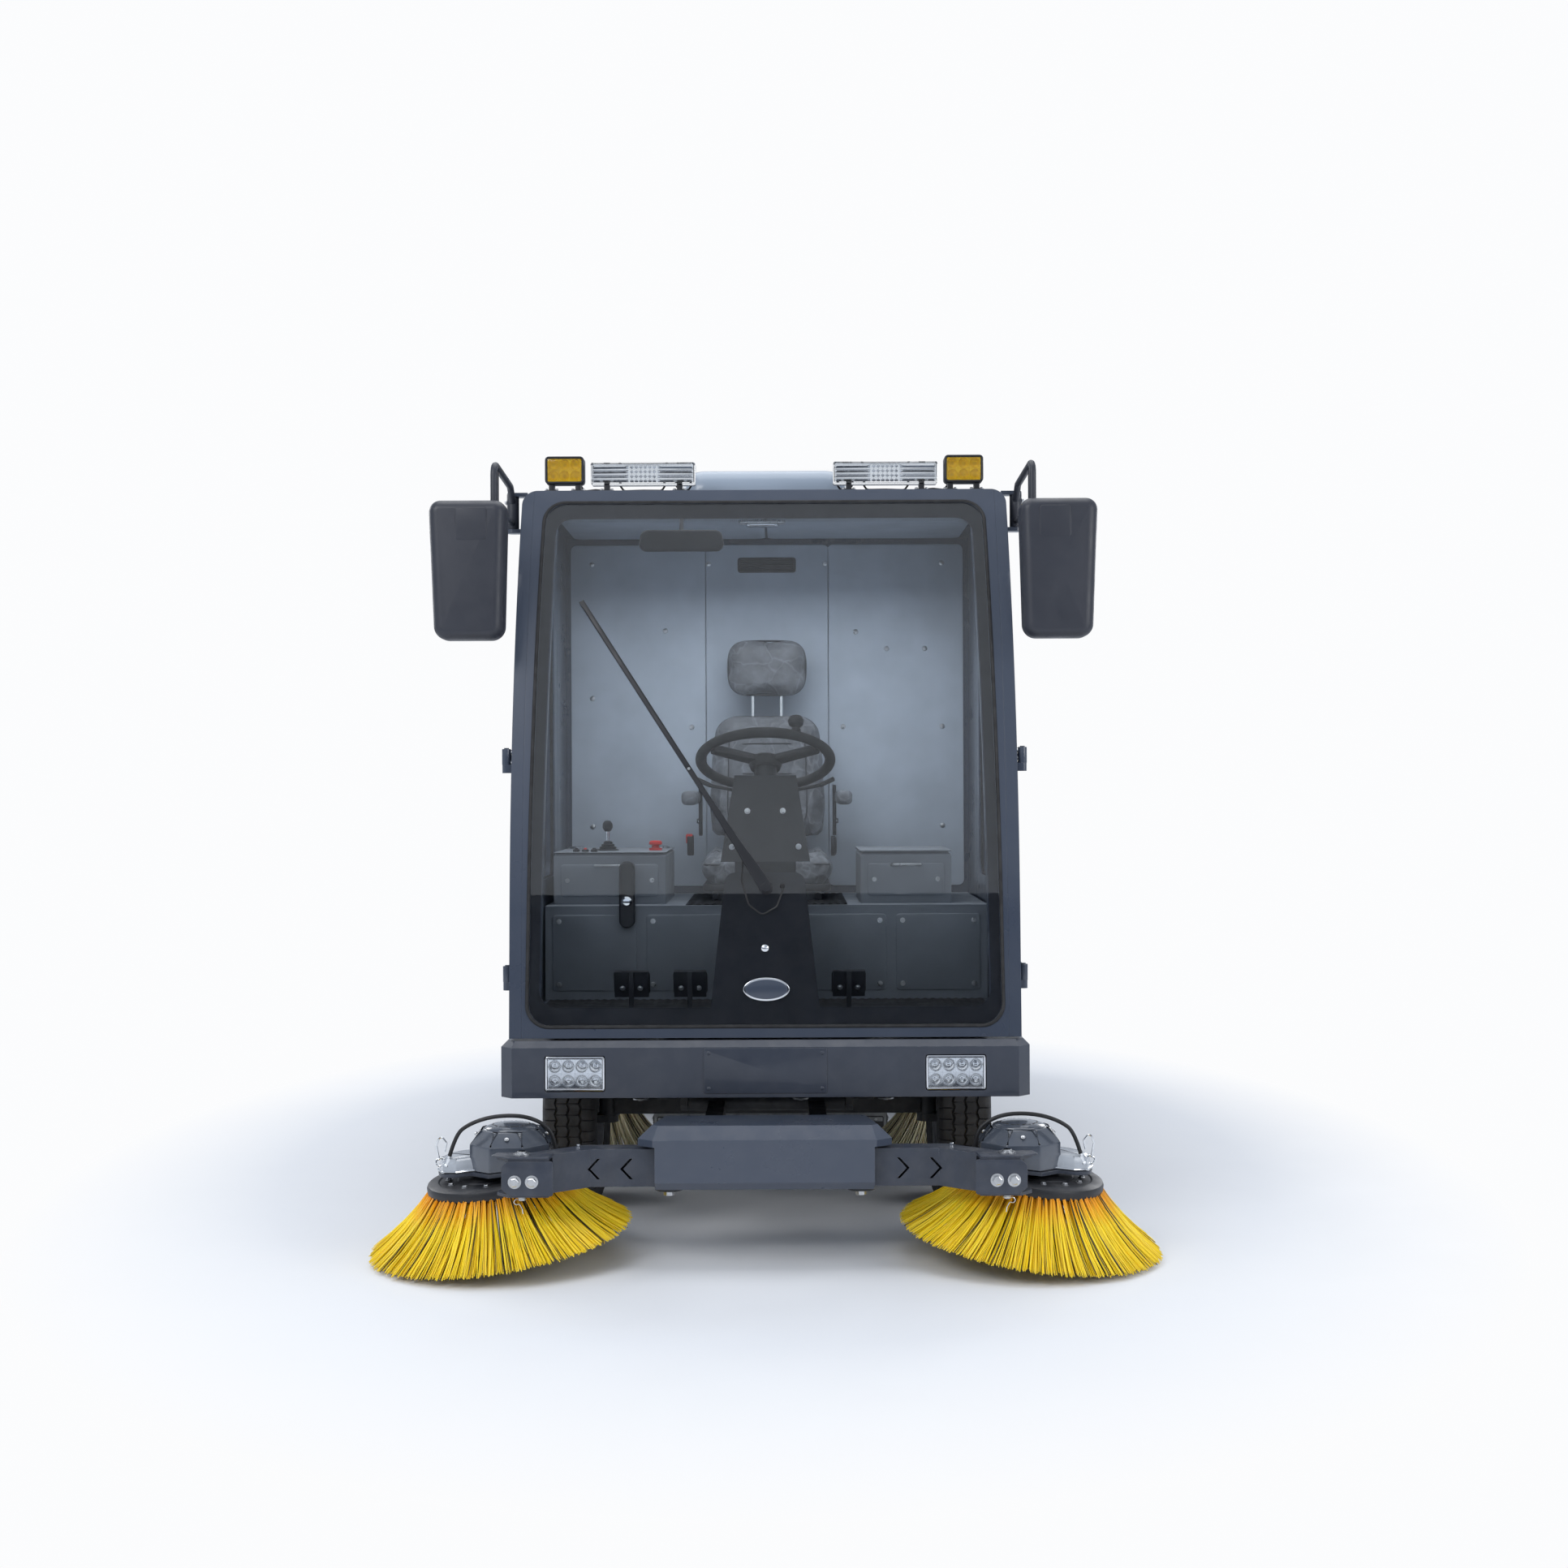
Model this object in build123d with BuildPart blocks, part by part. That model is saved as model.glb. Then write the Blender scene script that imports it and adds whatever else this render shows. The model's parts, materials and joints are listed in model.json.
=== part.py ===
from build123d import *
from math import asin, atan2, cos, degrees, radians, sin, tan
import os

# Compact road sweeper: a 4 m machine with a glass-fronted cab, two plate brushes on arms
# ahead of the front wheels, two more behind them, a suction nozzle and a tipping hopper.
# Millimetres. Z is up, the floor is Z = 0, the machine faces -Y and X = 0 is its centre
# plane, so +X is its own left side.

os.makedirs("parts", exist_ok=True)

# ---------------------------------------------------------------- driving dimensions

SIDES = (("left", 1), ("right", -1))  # name, sign of X

# axles and wheels
FRONT_AXLE_Y = -852
WHEELBASE = 1920
REAR_AXLE_Y = FRONT_AXLE_Y + WHEELBASE
TRACK = 1194
TYRE_RADIUS = 298
TYRE_WIDTH = 165
BEAD_RADIUS = 168  # inner radius of the tyre at its beads
CARCASS = 14  # thickness of the tyre's wall
GROOVE_WIDTH = 7
GROOVE_DEPTH = 8
GROOVE_PITCH = 34
RIM_WALL = 8
FLANGE_RADIUS = 180
RIM_WIDTH = 136
WHEEL_DISC = 10  # thickness of the wheel's pressed disc
DISC_OFFSET = 22  # the disc stands this far outboard of the wheel's centre plane
HUB_RADIUS = 52
HUB_LENGTH = 74
SPINDLE_RADIUS = 20
KINGPIN_X = 500
KINGPIN_RADIUS = 15
KNUCKLE_EYE_RADIUS = 30
KNUCKLE_EYE_HEIGHT = 60
KNUCKLE_EAR = 24
STEER_ARM = 120

# frame
RAIL_X = 280  # centre of each rail
RAIL_WIDTH = 60
RAIL_BOTTOM = 400
RAIL_HEIGHT = 100
RAIL_FRONT_Y = -1420
RAIL_REAR_Y = 1880
CROSS_RADIUS = 34
AXLE_BEAM_HEIGHT = 56
AXLE_BEAM_DEPTH = 60
SPRING_HALF = 260  # half of a leaf spring's length
SPRING_WIDTH = 36
SPRING_THICKNESS = 22

# cab
CAB_WIDTH = 1452
CAB_WALL = 35
CAB_BOTTOM = 586
CAB_FLOOR = 30
CAB_FRONT_Y = -1490
CAB_REAR_Y = -250
CAB_KNEE_Z = 950  # the straight, leaning foot of the front ends here
CAB_LEAN = 3.5  # degrees
CAB_FRONT_RADIUS = 3200
CAB_TOP = 2190
ROOF_WALL = 42
ROOF_EDGE_RADIUS = 45
GLASS_TOP_HALF = 652
GLASS_BOTTOM_HALF = 672
GLASS_BOTTOM_Z = 622
GLASS_TOP_Z = CAB_TOP - 44
GLASS_CORNER = 60
GLASS_THICKNESS = 6
GLASS_LAP = 34  # how far the glass laps over the frame behind it
FIT_GAP = 0.3  # a piece beside its seat
MOVE_GAP = 5  # a moving piece beside a fixed one

# doors
DOOR_FRONT_INSET = 112  # from the cab's front face to the door's front edge
DOOR_REAR_Y = -560
DOOR_BOTTOM_Z = 622
DOOR_TOP_Z = CAB_TOP - 78
DOOR_CORNER = 50
WINDOW_INSET = 78
WINDOW_BOTTOM_Z = 1010
WINDOW_CORNER = 45
DOOR_GLASS = 5
DOOR_GLASS_LAP = 16
HINGE_X = 743
HINGE_Y = -1392
HINGE_RADIUS = 12
HINGE_PIN = 7
HINGE_HEIGHT = 44
HINGE_STRAP = 6
HINGES_Z = (760, 1385)

# mid body and hopper
BODY_WIDTH = 1420
HOUSING_FRONT_Y = -232
HOUSING_REAR_Y = 300
HOUSING_BOTTOM = 650
HOUSING_TOP = 2060
HOPPER_FRONT_Y = 318
HOPPER_REAR_Y = 1930
HOPPER_WALL = 36
HOPPER_BOTTOM = 650
HOPPER_TOP = 2060
TAILGATE = 40
TILT_Y = 1800
TILT_Z = 585
TILT_PIN = 18

# front brush gear
BRUSH_X = 750
BRUSH_Y = -1645
BRUSH_Z = 235  # top of the brush disc at its centre
BRUSH_LEAN_OUT = 6.8  # degrees, outer side down
BRUSH_LEAN_FRONT = 4.0  # degrees, front down
DISC_RADIUS = 182
DISC_THICKNESS = 31
BRISTLE_REACH = 368  # radius at the tips
BRISTLE_DROP = 183  # tips below the disc's top
HEAD_PIN_X = 642
HEAD_PIN_Y = -1860
HEAD_PIN_RADIUS = 10
ARM_BEND_X = 481
ARM_ROOT_X = 260
ARM_Y = -1729
ARM_DEPTH = 65
ARM_BOTTOM = 220
ARM_TOP = 322
ARM_WALL = 6
ARM_EYE_RADIUS = 38
ARM_PIN_RADIUS = 16
TONGUE_BOTTOM = 246
TONGUE_TOP = 300
BASE_PLATE_RADIUS = 105
BASE_PLATE = 10
BASE_GAP = 16  # base plate above the disc
MOTOR_SHAFT = 15
COVER_X = 698
COVER_Y = -1650
COVER_RADIUS = 109  # across the flats, halved
COVER_FOOT = 268
COVER_SHOULDER = 326
COVER_CHAMFER = 362
COVER_TOP = 378

# middle brush gear
MID_X = 590
MID_Y = -215
MID_DISC_RADIUS = 120
MID_DISC_Z = 225
MID_REACH = 240
MID_DROP = 165
MID_PIN_X = 400
MID_PIN_Y = 60

# frame fittings
CROSS_TUBES_Y = (-1360, -1100, -560, 40, 640, 1300, 1830)
MOUNT_RADIUS = 28
ARCH_RISE = 24
ARCH_FRONT_Y = -1230
ARCH_REAR_Y = -470
TILT_LUG_X = 240
TILT_LUG = 30
TILT_EYE_RADIUS = 38
CARRIER_Y = -1100
CARRIER_Z = 345
CARRIER_PLATE_X = 238
CARRIER_PLATE = 22
CARRIER_TUBE_RADIUS = 28
CARRIER_PIN = 15
MID_ARM_BOTTOM = 240
MID_ARM_TOP = 290
MID_EYE_RADIUS = 32
MID_PIN_RADIUS = 14
MID_CAP = 10
MID_HANGER = 40
NOZZLE_ROD_Y = 330
NOZZLE_ROD_Z = 120
NOZZLE_ROD_RADIUS = 12
REAR_TUBE_X = TRACK / 2 - 47
REAR_TUBE_RADIUS = 40
DIFF_RADIUS = 120
KNUCKLE_WEB = 16
SHOULDER_DROP = 14
HAND_HOLE = 15
APERTURE_DEPTH = 420
HINGE_LUG = 24
STRAP_LAP = 56

# mirrors
MIRROR_PIN_X = 762
MIRROR_PIN_Y = -1090
MIRROR_LOW_Z = CAB_TOP - 124
MIRROR_HIGH_Z = CAB_TOP - 14
MIRROR_EAR = 12
MIRROR_PIN = 7
MIRROR_EYE_RADIUS = 18
MIRROR_TUBE = 10
MIRROR_STAY = 8
MIRROR_BEND = 30
MIRROR_TOP_Z = CAB_TOP + 42
MIRROR_STRUT_X = 775
MIRROR_STRUT_Y = -1400
MIRROR_HOUSING_X = 843
MIRROR_HOUSING_WIDTH = 227
MIRROR_HOUSING_TOP = CAB_TOP - 71
MIRROR_HOUSING_BOTTOM = CAB_TOP - 472
MIRROR_CORNER = 34
MIRROR_DEPTH = 80
MIRROR_CROWN = 26

# inside the cab
PLATFORM_FRONT_Y = -980
PLATFORM_REAR_Y = -290
PLATFORM_TOP = 930
PLATFORM_WALL = 12
BOX_TOP = 1092
CAB_BOXES = ((-490, 350, -900, -420), (436, 284, -900, -500))  # centre x, width, front y, rear y
SEAT_Y = -560
SEAT_WIDTH = 470
SEAT_LENGTH = 470
SEAT_RISE = 40
SEAT_CUSHION = 120
BACK_WIDTH = 437
BACK_DEPTH = 110
BACK_TOP = 1558
HEADREST_NECK = 90
HEADREST_WIDTH = 291
HEADREST_BOTTOM = 1588
HEADREST_TOP = 1802
STEER_WHEEL_Y = -1090
STEER_WHEEL_Z = 1376
STEER_TILT = radians(24)
STEER_RADIUS = 196
STEER_RIM = 14
STEER_SPOKE = 10
STEER_HUB = 34
COLUMN_Y = -1190
COLUMN_WIDTH = 180
COLUMN_DEPTH = 130
COLUMN_SHOULDER = 1075
SHROUD_WIDTH = 264
SHROUD_TOP = 1330
PEDALS = ((-392, 100), (-221, 94), (243, 94))  # centre x, width
PEDAL_Y = -1310
PEDAL_BOTTOM = 682
PEDAL_TOP = 758
PEDAL_STEM = 14

# roof, bumper, lamps, wiper
ROOF_COVER_HALF = 262
COVER_FRONT_Y = -950
COVER_REAR_Y = -340
ROOF_COVER_TOP = CAB_TOP + 110
ROOF_LIGHT_Y = -1120
ROOF_LIGHT_DEPTH = 56
# each roof light: centre x, width, its bottom and top above the roof, half the distance between its feet
ROOF_LIGHTS = ((366, 316, 21, 87, 110), (603, 118, 23, 106, 40))
BUMPER_HALF = 750
BUMPER_FRONT_Y = -1510
BUMPER_BOTTOM = 420
BUMPER_TOP = 580
BUMPER_CORNER = 34
BUMPER_CHAMFER = 18
HEADLAMP_X = 538
HEADLAMP_Z = 488
HEADLAMP_WIDTH = 168
HEADLAMP_HEIGHT = 98
HEADLAMP_DEPTH = 48
HEADLAMP_GAP = 2
WIPER_PIVOT_Z = 1010
WIPER_TIP_X = -545
WIPER_TIP_Z = 1850
WIPER_STANDOFF = 22
WIPER_HUB = 16
WIPER_BAR = 10

# front brush carrier and its housing
CARRIER_BEAM_X = 150
CARRIER_BEAM = 50
CARRIER_BEAM_BOTTOM = 300
CARRIER_WEB_Y = -1665
CARRIER_WEB = 30
CARRIER_WEB_HALF = 290
CLEVIS_BOTTOM = 206
CLEVIS_TOP = 336
CLEVIS_PLATE = 8
HOUSING_POST_X = 100
BOX_FRONT_HALF = 300
BOX_CORNER_HALF = 342
BOX_REAR_HALF = 310
BOX_FRONT_Y = -1802
BOX_CORNER_Y = -1767
BOX_REAR_Y = -1600
BOX_BOTTOM = 215
BOX_TOP_Z = 385
BOX_CEILING = 380
BOX_BEVEL = 34
BOX_LIP = 22
BOX_WALL = 5
CLEVIS_REACH = 75
EAR_LAP = 26
ARM_SLOTS_X = (390, 478, 590)
SLOT_Z = 268
SLOT_RISE = 28
SLOT_REACH = 26
SLOT_WIDTH = 8
FORK_IN_X = 567
FORK_OUT_X = 707
FORK_TRIM = 34
FORK_FRONT_Y = -1898
FORK_REAR_Y = -1832
FORK_PLATE = 8
PIN_STANDOFF = 14
LOBE_X = 86
LOBE_RADIUS = 58
LOBE_HEIGHT = 38
COVER_CROWN = 78
DISC_HUB = 42
BRISTLE_ROOT_IN = 110
BRISTLE_TIP_IN = 285
BRISTLE_FACE = 14
HOSE_RADIUS = 5.5
HOSE_END_X = 570
HOSE_Y = -1690
FITTING_X = 862
FITTING_Y = -1685
FITTING_TOP = 292
FITTING_RADIUS = 9
GLAND_TOP = 300
FITTING_LENGTH = 34
GLAND_LENGTH = 30
HOSE_ROUTE = (
    (FITTING_X, FITTING_Y, FITTING_TOP + FIT_GAP),
    (844, -1691, 352),
    (807, -1697, 380),
    (757, -1700, 398),
    (704, -1699, 404),
    (651, -1696, 400),
    (606, -1693, 381),
    (577, -1691, 351),
    (HOSE_END_X, HOSE_Y, GLAND_TOP + FIT_GAP),
)

# middle brushes
MID_HEAD_RADIUS = 62
MID_ARM_WIDTH = 50
MID_MOTOR_RADIUS = 45
MID_MOTOR_HEIGHT = 70
MID_DISC_THICKNESS = 25

# engine housing and tanks
HOUSING_WALL = 16
LOUVRE_Z = 1500
LOUVRE_PITCH = 34
LOUVRE_COUNT = 9
LOUVRE_LENGTH = 360
LOUVRE_HEIGHT = 14
ENGINE_LENGTH = 760
ENGINE_DEPTH = 400
ENGINE_HEIGHT = 560
TANK_OUT_X = BODY_WIDTH / 2 - 10
TANK_FRONT_Y = -150
TANK_REAR_Y = REAR_AXLE_Y - TYRE_RADIUS - 80
TANK_BOTTOM = 430
TANK_TOP = 640

# hopper fittings
HOPPER_CHAMFER = 60
GATE_PIN_Y = 1938
GATE_PIN_Z = 2082
GATE_PIN = 8
GATE_EYE_RADIUS = 16
GATE_LUG = 20
GATE_LUGS_X = (420, 520)

# suction
DUCT_Y = 465
DUCT_RADIUS = 90
DUCT_WALL = 6
DUCT_BOTTOM = 215
DUCT_PLATE = 8
DUCT_PLATE_LENGTH = 230
COLLAR_GAP = 8
COLLAR_TOP = 330
NOZZLE_FRONT_Y = 250
NOZZLE_REAR_Y = 580
NOZZLE_HALF = 430
NOZZLE_BOTTOM = 20
NOZZLE_TOP = 150
NOZZLE_WALL = 10

# rear end
REAR_BUMPER_Y = 1985
REAR_BUMPER_BOTTOM = 380
REAR_BUMPER_TOP = 480
REAR_BUMPER_HALF = 700
TAIL_LAMP_X = 590
TAIL_LAMP_WIDTH = 190
TAIL_LAMP_HEIGHT = 66
TAIL_LAMP_DEPTH = 14

# running fit of a pin in its eye
RUN_FIT = 0.05

# overlaps and cuts shared by many pieces
OVERCUT = 5
WIDE_CUT = 50
SEAM_CUT = 30
FINE = 1
EYE_ROOT = 20
EYE_LAP = 10
LUG_ROOT = 6
LUG_LIFT = 4
STRAP_ROOT = 2
SPRING_LAP = 4
PLATE_LAP = 4
NECK_LAP = 20
LIGHT_LAP = 4
STRUT_LAP = 60
SHROUD_LAP = 20

# small sizes of the axles and wheels
BEAM_GAP = 5
AXLE_BEAM_CORNER = 10
HUB_FACE_GAP = 6
DIFF_HALF = 90
DIFF_SHOULDER = 60
DIFF_NOSE = 45
STEER_ARM_IN = 8
STEER_ARM_GROW = 12
SHOULDER_IN = 8
SHOULDER_MID = 14
SHOULDER_DROP = 3
TREAD_EDGE = 24
LINER_EDGE = 30
DISC_STEP = 40
DISC_FLANGE = 12
HUB_CHAMFER = 8
HUB_NOSE = 14
HUB_NOSE_STEP = 16
HAND_HOLES = 8

# small sizes of the cab
SIDE_SLICE = 3 * CAB_WALL
STAY_DROP = 26
STAY_KNEE_OUT = 50
STAY_KNEE_UP = 40
STAY_IN = 10
STAY_RISE = 18
PLATFORM_SLACK = 3
BOX_EDGE = 12
SEAT_FOOT_IN = 60
SEAT_FOOT_BACK = 50
CUSHION_CORNER = 60
BACK_SETBACK = 10
HEADREST_CORNER = 50
COLUMN_LEAN = 12
COLUMN_TAPER = 0.7
STEER_SPOKES = (90, 210, 330)
SPOKE_WIDTH = 3 * STEER_SPOKE
PEDAL_HINGE = 6
PAD_FOOT = 12
PAD_DEPTH = 14
PAD_HEAD = 16
PAD_LEAN = 4
COVER_CORNER = 70
COVER_TAPER = 18
COVER_EDGE = 16
LAMP_CORNER = 7
HEADLAMP_RECESS_CORNER = 8
LIGHT_FOOT = 12
LIGHT_FOOT_IN = 8

# small sizes of the brushes and the nozzle
LIFT_WEB = 60
LIP_SPAN = 4 * BOX_WALL
SLOT_RUN = 8
COVER_SEAT = 3
COVER_SIDES = 8
COVER_TURN = 22.5
NECK_OFFSET = 20
NECK_WIDE = 70
NECK_LONG = 50
LOOP_WIDE = 60
LOOP_LONG = 44
FORK_HALF = 24
FORK_OUT = 56
FORK_IN = 14
NOZZLE_CHAMFER = 40
GUIDE_HEIGHT = 40
FITTING_OUT = 0.6
FITTING_UP = 0.68
LOBE_TAPER = 12
BEND_SHARE = 0.45
DISC_RIM = 4
MID_TUFT = 70
MID_TUFT_ROOT = 40

# small sizes of the body
TANK_EDGE = 30
GATE_LUG_FOOT = 90
GATE_SLACK = 4
GATE_EAR_FOOT = 60
GATE_EAR_ROOT = 20
REAR_BUMPER_CORNER = 30
TAIL_LAMP_CORNER = 12
PLATE_SPLIT = 0.15


def save(piece, label):
    """Names a finished piece and writes it as one STEP file."""
    piece.label = label
    export_step(piece, f"parts/{label}.step")


def front_face(angle, inset):
    """A point (y, z) on the cab's arched front, at an angle above its centre, set in by inset."""
    lean = radians(CAB_LEAN)
    knee_y = CAB_FRONT_Y + (CAB_KNEE_Z - CAB_BOTTOM) * tan(lean)
    centre_y = knee_y + CAB_FRONT_RADIUS * cos(lean)
    centre_z = CAB_KNEE_Z - CAB_FRONT_RADIUS * sin(lean)
    reach = CAB_FRONT_RADIUS - inset
    return centre_y - reach * cos(angle), centre_z + reach * sin(angle)


def front_at(height, inset):
    """The front's y at a height, for the face set in by inset."""
    lean = radians(CAB_LEAN)
    knee_y, knee_z = front_face(lean, inset)
    if height <= knee_z:
        return knee_y - (knee_z - height) * tan(lean)
    base_z = front_face(0, inset)[1]
    angle = asin((height - base_z) / (CAB_FRONT_RADIUS - inset))
    return front_face(angle, inset)[0]


def front_lean(height):
    """How far the front leans back at a height, as an angle from upright."""
    return max(radians(CAB_LEAN), asin((height - front_face(0, 0)[1]) / CAB_FRONT_RADIUS))


def front_edge(inset, low, high):
    """Points of the front from low to high: foot, knee, a point half-way up the arc, and top."""
    knee_y, knee_z = front_face(radians(CAB_LEAN), inset)
    middle = (knee_z + high) / 2
    foot = (front_at(low, inset), low)
    return foot, (knee_y, knee_z), (front_at(middle, inset), middle), (front_at(high, inset), high)


def cab_outline(inset, low, high, rear_y):
    """Draws the cab's closed side outline in the open sketch, its front set in by inset."""
    foot, knee, middle, top = front_edge(inset, low, high)
    with BuildLine() as outline:
        Line(foot, knee)
        ThreePointArc(knee, middle, top)
        Polyline(top, (rear_y, high), (rear_y, low), foot)
    make_face(outline.edges())


# ---------------------------------------------------------------- chassis frame

HALF_CAB = CAB_WIDTH / 2
FLOOR_TOP = CAB_BOTTOM + CAB_FLOOR + ARCH_RISE
RAIL_TOP = RAIL_BOTTOM + RAIL_HEIGHT
RAIL_OUT = RAIL_X + RAIL_WIDTH / 2
RAIL_IN = RAIL_X - RAIL_WIDTH / 2

with BuildPart() as chassis_frame:
    with BuildSketch(Plane.XY.offset(RAIL_BOTTOM)):
        with Locations((RAIL_X, (RAIL_REAR_Y + RAIL_FRONT_Y) / 2), (-RAIL_X, (RAIL_REAR_Y + RAIL_FRONT_Y) / 2)):
            Rectangle(RAIL_WIDTH, RAIL_REAR_Y - RAIL_FRONT_Y)
    extrude(amount=RAIL_HEIGHT)
    for cross_y in CROSS_TUBES_Y:
        with BuildSketch(Plane((-RAIL_IN + FIT_GAP, cross_y, RAIL_BOTTOM + RAIL_HEIGHT / 2), z_dir=(1, 0, 0))):
            Circle(CROSS_RADIUS)
        extrude(amount=2 * (RAIL_IN - FIT_GAP))
    # rubber mounts under the cab, the engine housing and the hopper
    for mount_top, mount_y in (
        (CAB_BOTTOM + ARCH_RISE, -1180),
        (CAB_BOTTOM, -330),
        (HOUSING_BOTTOM, -120),
        (HOUSING_BOTTOM, 200),
        (HOPPER_BOTTOM, 700),
        (HOPPER_BOTTOM, 1350),
    ):
        with BuildSketch(Plane.XY.offset(RAIL_TOP)):
            with Locations((RAIL_X, mount_y), (-RAIL_X, mount_y)):
                Circle(MOUNT_RADIUS)
        extrude(amount=mount_top - FIT_GAP - RAIL_TOP)
    # the hopper's hinge: two plates outside its lugs, with one pin through both
    with BuildSketch(Plane.YZ.offset(TILT_LUG_X + TILT_LUG / 2 + MOVE_GAP)):
        with Locations((TILT_Y, (RAIL_TOP + TILT_Z) / 2)):
            Rectangle(2 * TILT_EYE_RADIUS, TILT_Z - RAIL_TOP + EYE_ROOT)
        with Locations((TILT_Y, TILT_Z)):
            Circle(TILT_EYE_RADIUS)
    extrude(amount=TILT_LUG)
    mirror(about=Plane.YZ)
    tilt_pin_half = TILT_LUG_X + TILT_LUG / 2 + MOVE_GAP - FIT_GAP
    with BuildSketch(Plane.YZ.offset(-tilt_pin_half)):
        with Locations((TILT_Y, TILT_Z)):
            Circle(TILT_PIN)
    extrude(amount=2 * tilt_pin_half)
    # hangers and pin of the brush carrier
    with BuildSketch(Plane.YZ.offset(CARRIER_PLATE_X)):
        with Locations((CARRIER_Y, (RAIL_BOTTOM + CARRIER_Z) / 2)):
            Rectangle(2 * CARRIER_TUBE_RADIUS, RAIL_BOTTOM - CARRIER_Z + EYE_ROOT)
        with Locations((CARRIER_Y, CARRIER_Z)):
            Circle(CARRIER_TUBE_RADIUS)
    extrude(amount=CARRIER_PLATE)
    mirror(about=Plane.YZ)
    with BuildSketch(Plane.YZ.offset(-CARRIER_PLATE_X + FIT_GAP)):
        with Locations((CARRIER_Y, CARRIER_Z)):
            Circle(CARRIER_PIN)
    extrude(amount=2 * (CARRIER_PLATE_X - FIT_GAP))
    # hangers of the middle brush arms, each with its pin
    for side in (1, -1):
        with BuildSketch(Plane.XY.offset(MID_ARM_TOP + FIT_GAP)):
            with Locations((side * (RAIL_IN + MID_PIN_X + MID_EYE_RADIUS) / 2, MID_PIN_Y)):
                Rectangle(MID_PIN_X + MID_EYE_RADIUS - RAIL_IN, 2 * MID_EYE_RADIUS)
        extrude(amount=MID_HANGER)
        with BuildSketch(Plane.XY.offset(MID_ARM_TOP + FIT_GAP)):
            with Locations((side * RAIL_X, MID_PIN_Y)):
                Rectangle(RAIL_WIDTH, 2 * MID_EYE_RADIUS)
        extrude(amount=RAIL_BOTTOM - MID_ARM_TOP)
        with BuildSketch(Plane.XY.offset(MID_ARM_BOTTOM - FIT_GAP - MID_CAP)):
            with Locations((side * MID_PIN_X, MID_PIN_Y)):
                Circle(MID_PIN_RADIUS)
        extrude(amount=MID_ARM_TOP - MID_ARM_BOTTOM + MID_CAP + 2)
        with BuildSketch(Plane.XY.offset(MID_ARM_BOTTOM - FIT_GAP - MID_CAP)):
            with Locations((side * MID_PIN_X, MID_PIN_Y)):
                Circle(MID_PIN_RADIUS + MID_CAP)
        extrude(amount=MID_CAP)
        # guide rod of the suction nozzle
        with BuildSketch(Plane.XY.offset(NOZZLE_ROD_Z)):
            with Locations((side * RAIL_X, NOZZLE_ROD_Y)):
                Circle(NOZZLE_ROD_RADIUS)
        extrude(amount=RAIL_BOTTOM - NOZZLE_ROD_Z + OVERCUT)
save(chassis_frame.part, "chassis_frame")

# ---------------------------------------------------------------- axles, knuckles, wheels


def leaf_springs(axle_y, seat_z):
    """Two arched springs under the rails, joined to the axle below their middle at seat_z."""
    tip_z = RAIL_BOTTOM - FIT_GAP
    for x in (RAIL_X, -RAIL_X):
        with BuildSketch(Plane.YZ.offset(x - SPRING_WIDTH / 2)) as leaf:
            with BuildLine():
                front = (axle_y - SPRING_HALF, tip_z)
                rear = (axle_y + SPRING_HALF, tip_z)
                ThreePointArc(front, (axle_y, seat_z + SPRING_THICKNESS), rear)
                Line(rear, (axle_y + SPRING_HALF, tip_z - SPRING_THICKNESS))
                ThreePointArc(
                    (axle_y + SPRING_HALF, tip_z - SPRING_THICKNESS),
                    (axle_y, seat_z),
                    (axle_y - SPRING_HALF, tip_z - SPRING_THICKNESS),
                )
                Line((axle_y - SPRING_HALF, tip_z - SPRING_THICKNESS), front)
            make_face()
        extrude(leaf.sketch, amount=SPRING_WIDTH)


EYE_BOTTOM = TYRE_RADIUS - KNUCKLE_EYE_HEIGHT / 2
EYE_TOP = TYRE_RADIUS + KNUCKLE_EYE_HEIGHT / 2
WHEEL_X = TRACK / 2
HUB_IN = WHEEL_X - HUB_LENGTH / 2
HUB_OUT = WHEEL_X + HUB_LENGTH / 2

with BuildPart() as front_axle:
    beam_top = TYRE_RADIUS + AXLE_BEAM_HEIGHT / 2
    beam_half = KINGPIN_X - KINGPIN_RADIUS - BEAM_GAP
    with BuildSketch(Plane.YZ.offset(-beam_half)):
        with Locations((FRONT_AXLE_Y, TYRE_RADIUS)):
            RectangleRounded(AXLE_BEAM_DEPTH, AXLE_BEAM_HEIGHT, AXLE_BEAM_CORNER)
    extrude(amount=2 * beam_half)
    with BuildSketch(Plane.XY.offset(EYE_BOTTOM)):
        with Locations((KINGPIN_X, FRONT_AXLE_Y), (-KINGPIN_X, FRONT_AXLE_Y)):
            Circle(KNUCKLE_EYE_RADIUS)
    extrude(amount=KNUCKLE_EYE_HEIGHT)
    leaf_springs(FRONT_AXLE_Y, beam_top - 2)
    with BuildSketch(Plane.XY.offset(EYE_BOTTOM - OVERCUT)):
        with Locations((KINGPIN_X, FRONT_AXLE_Y), (-KINGPIN_X, FRONT_AXLE_Y)):
            Circle(KINGPIN_RADIUS + RUN_FIT)
    extrude(amount=KNUCKLE_EYE_HEIGHT + 2 * OVERCUT, mode=Mode.SUBTRACT)
save(front_axle.part, "front_axle")

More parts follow.
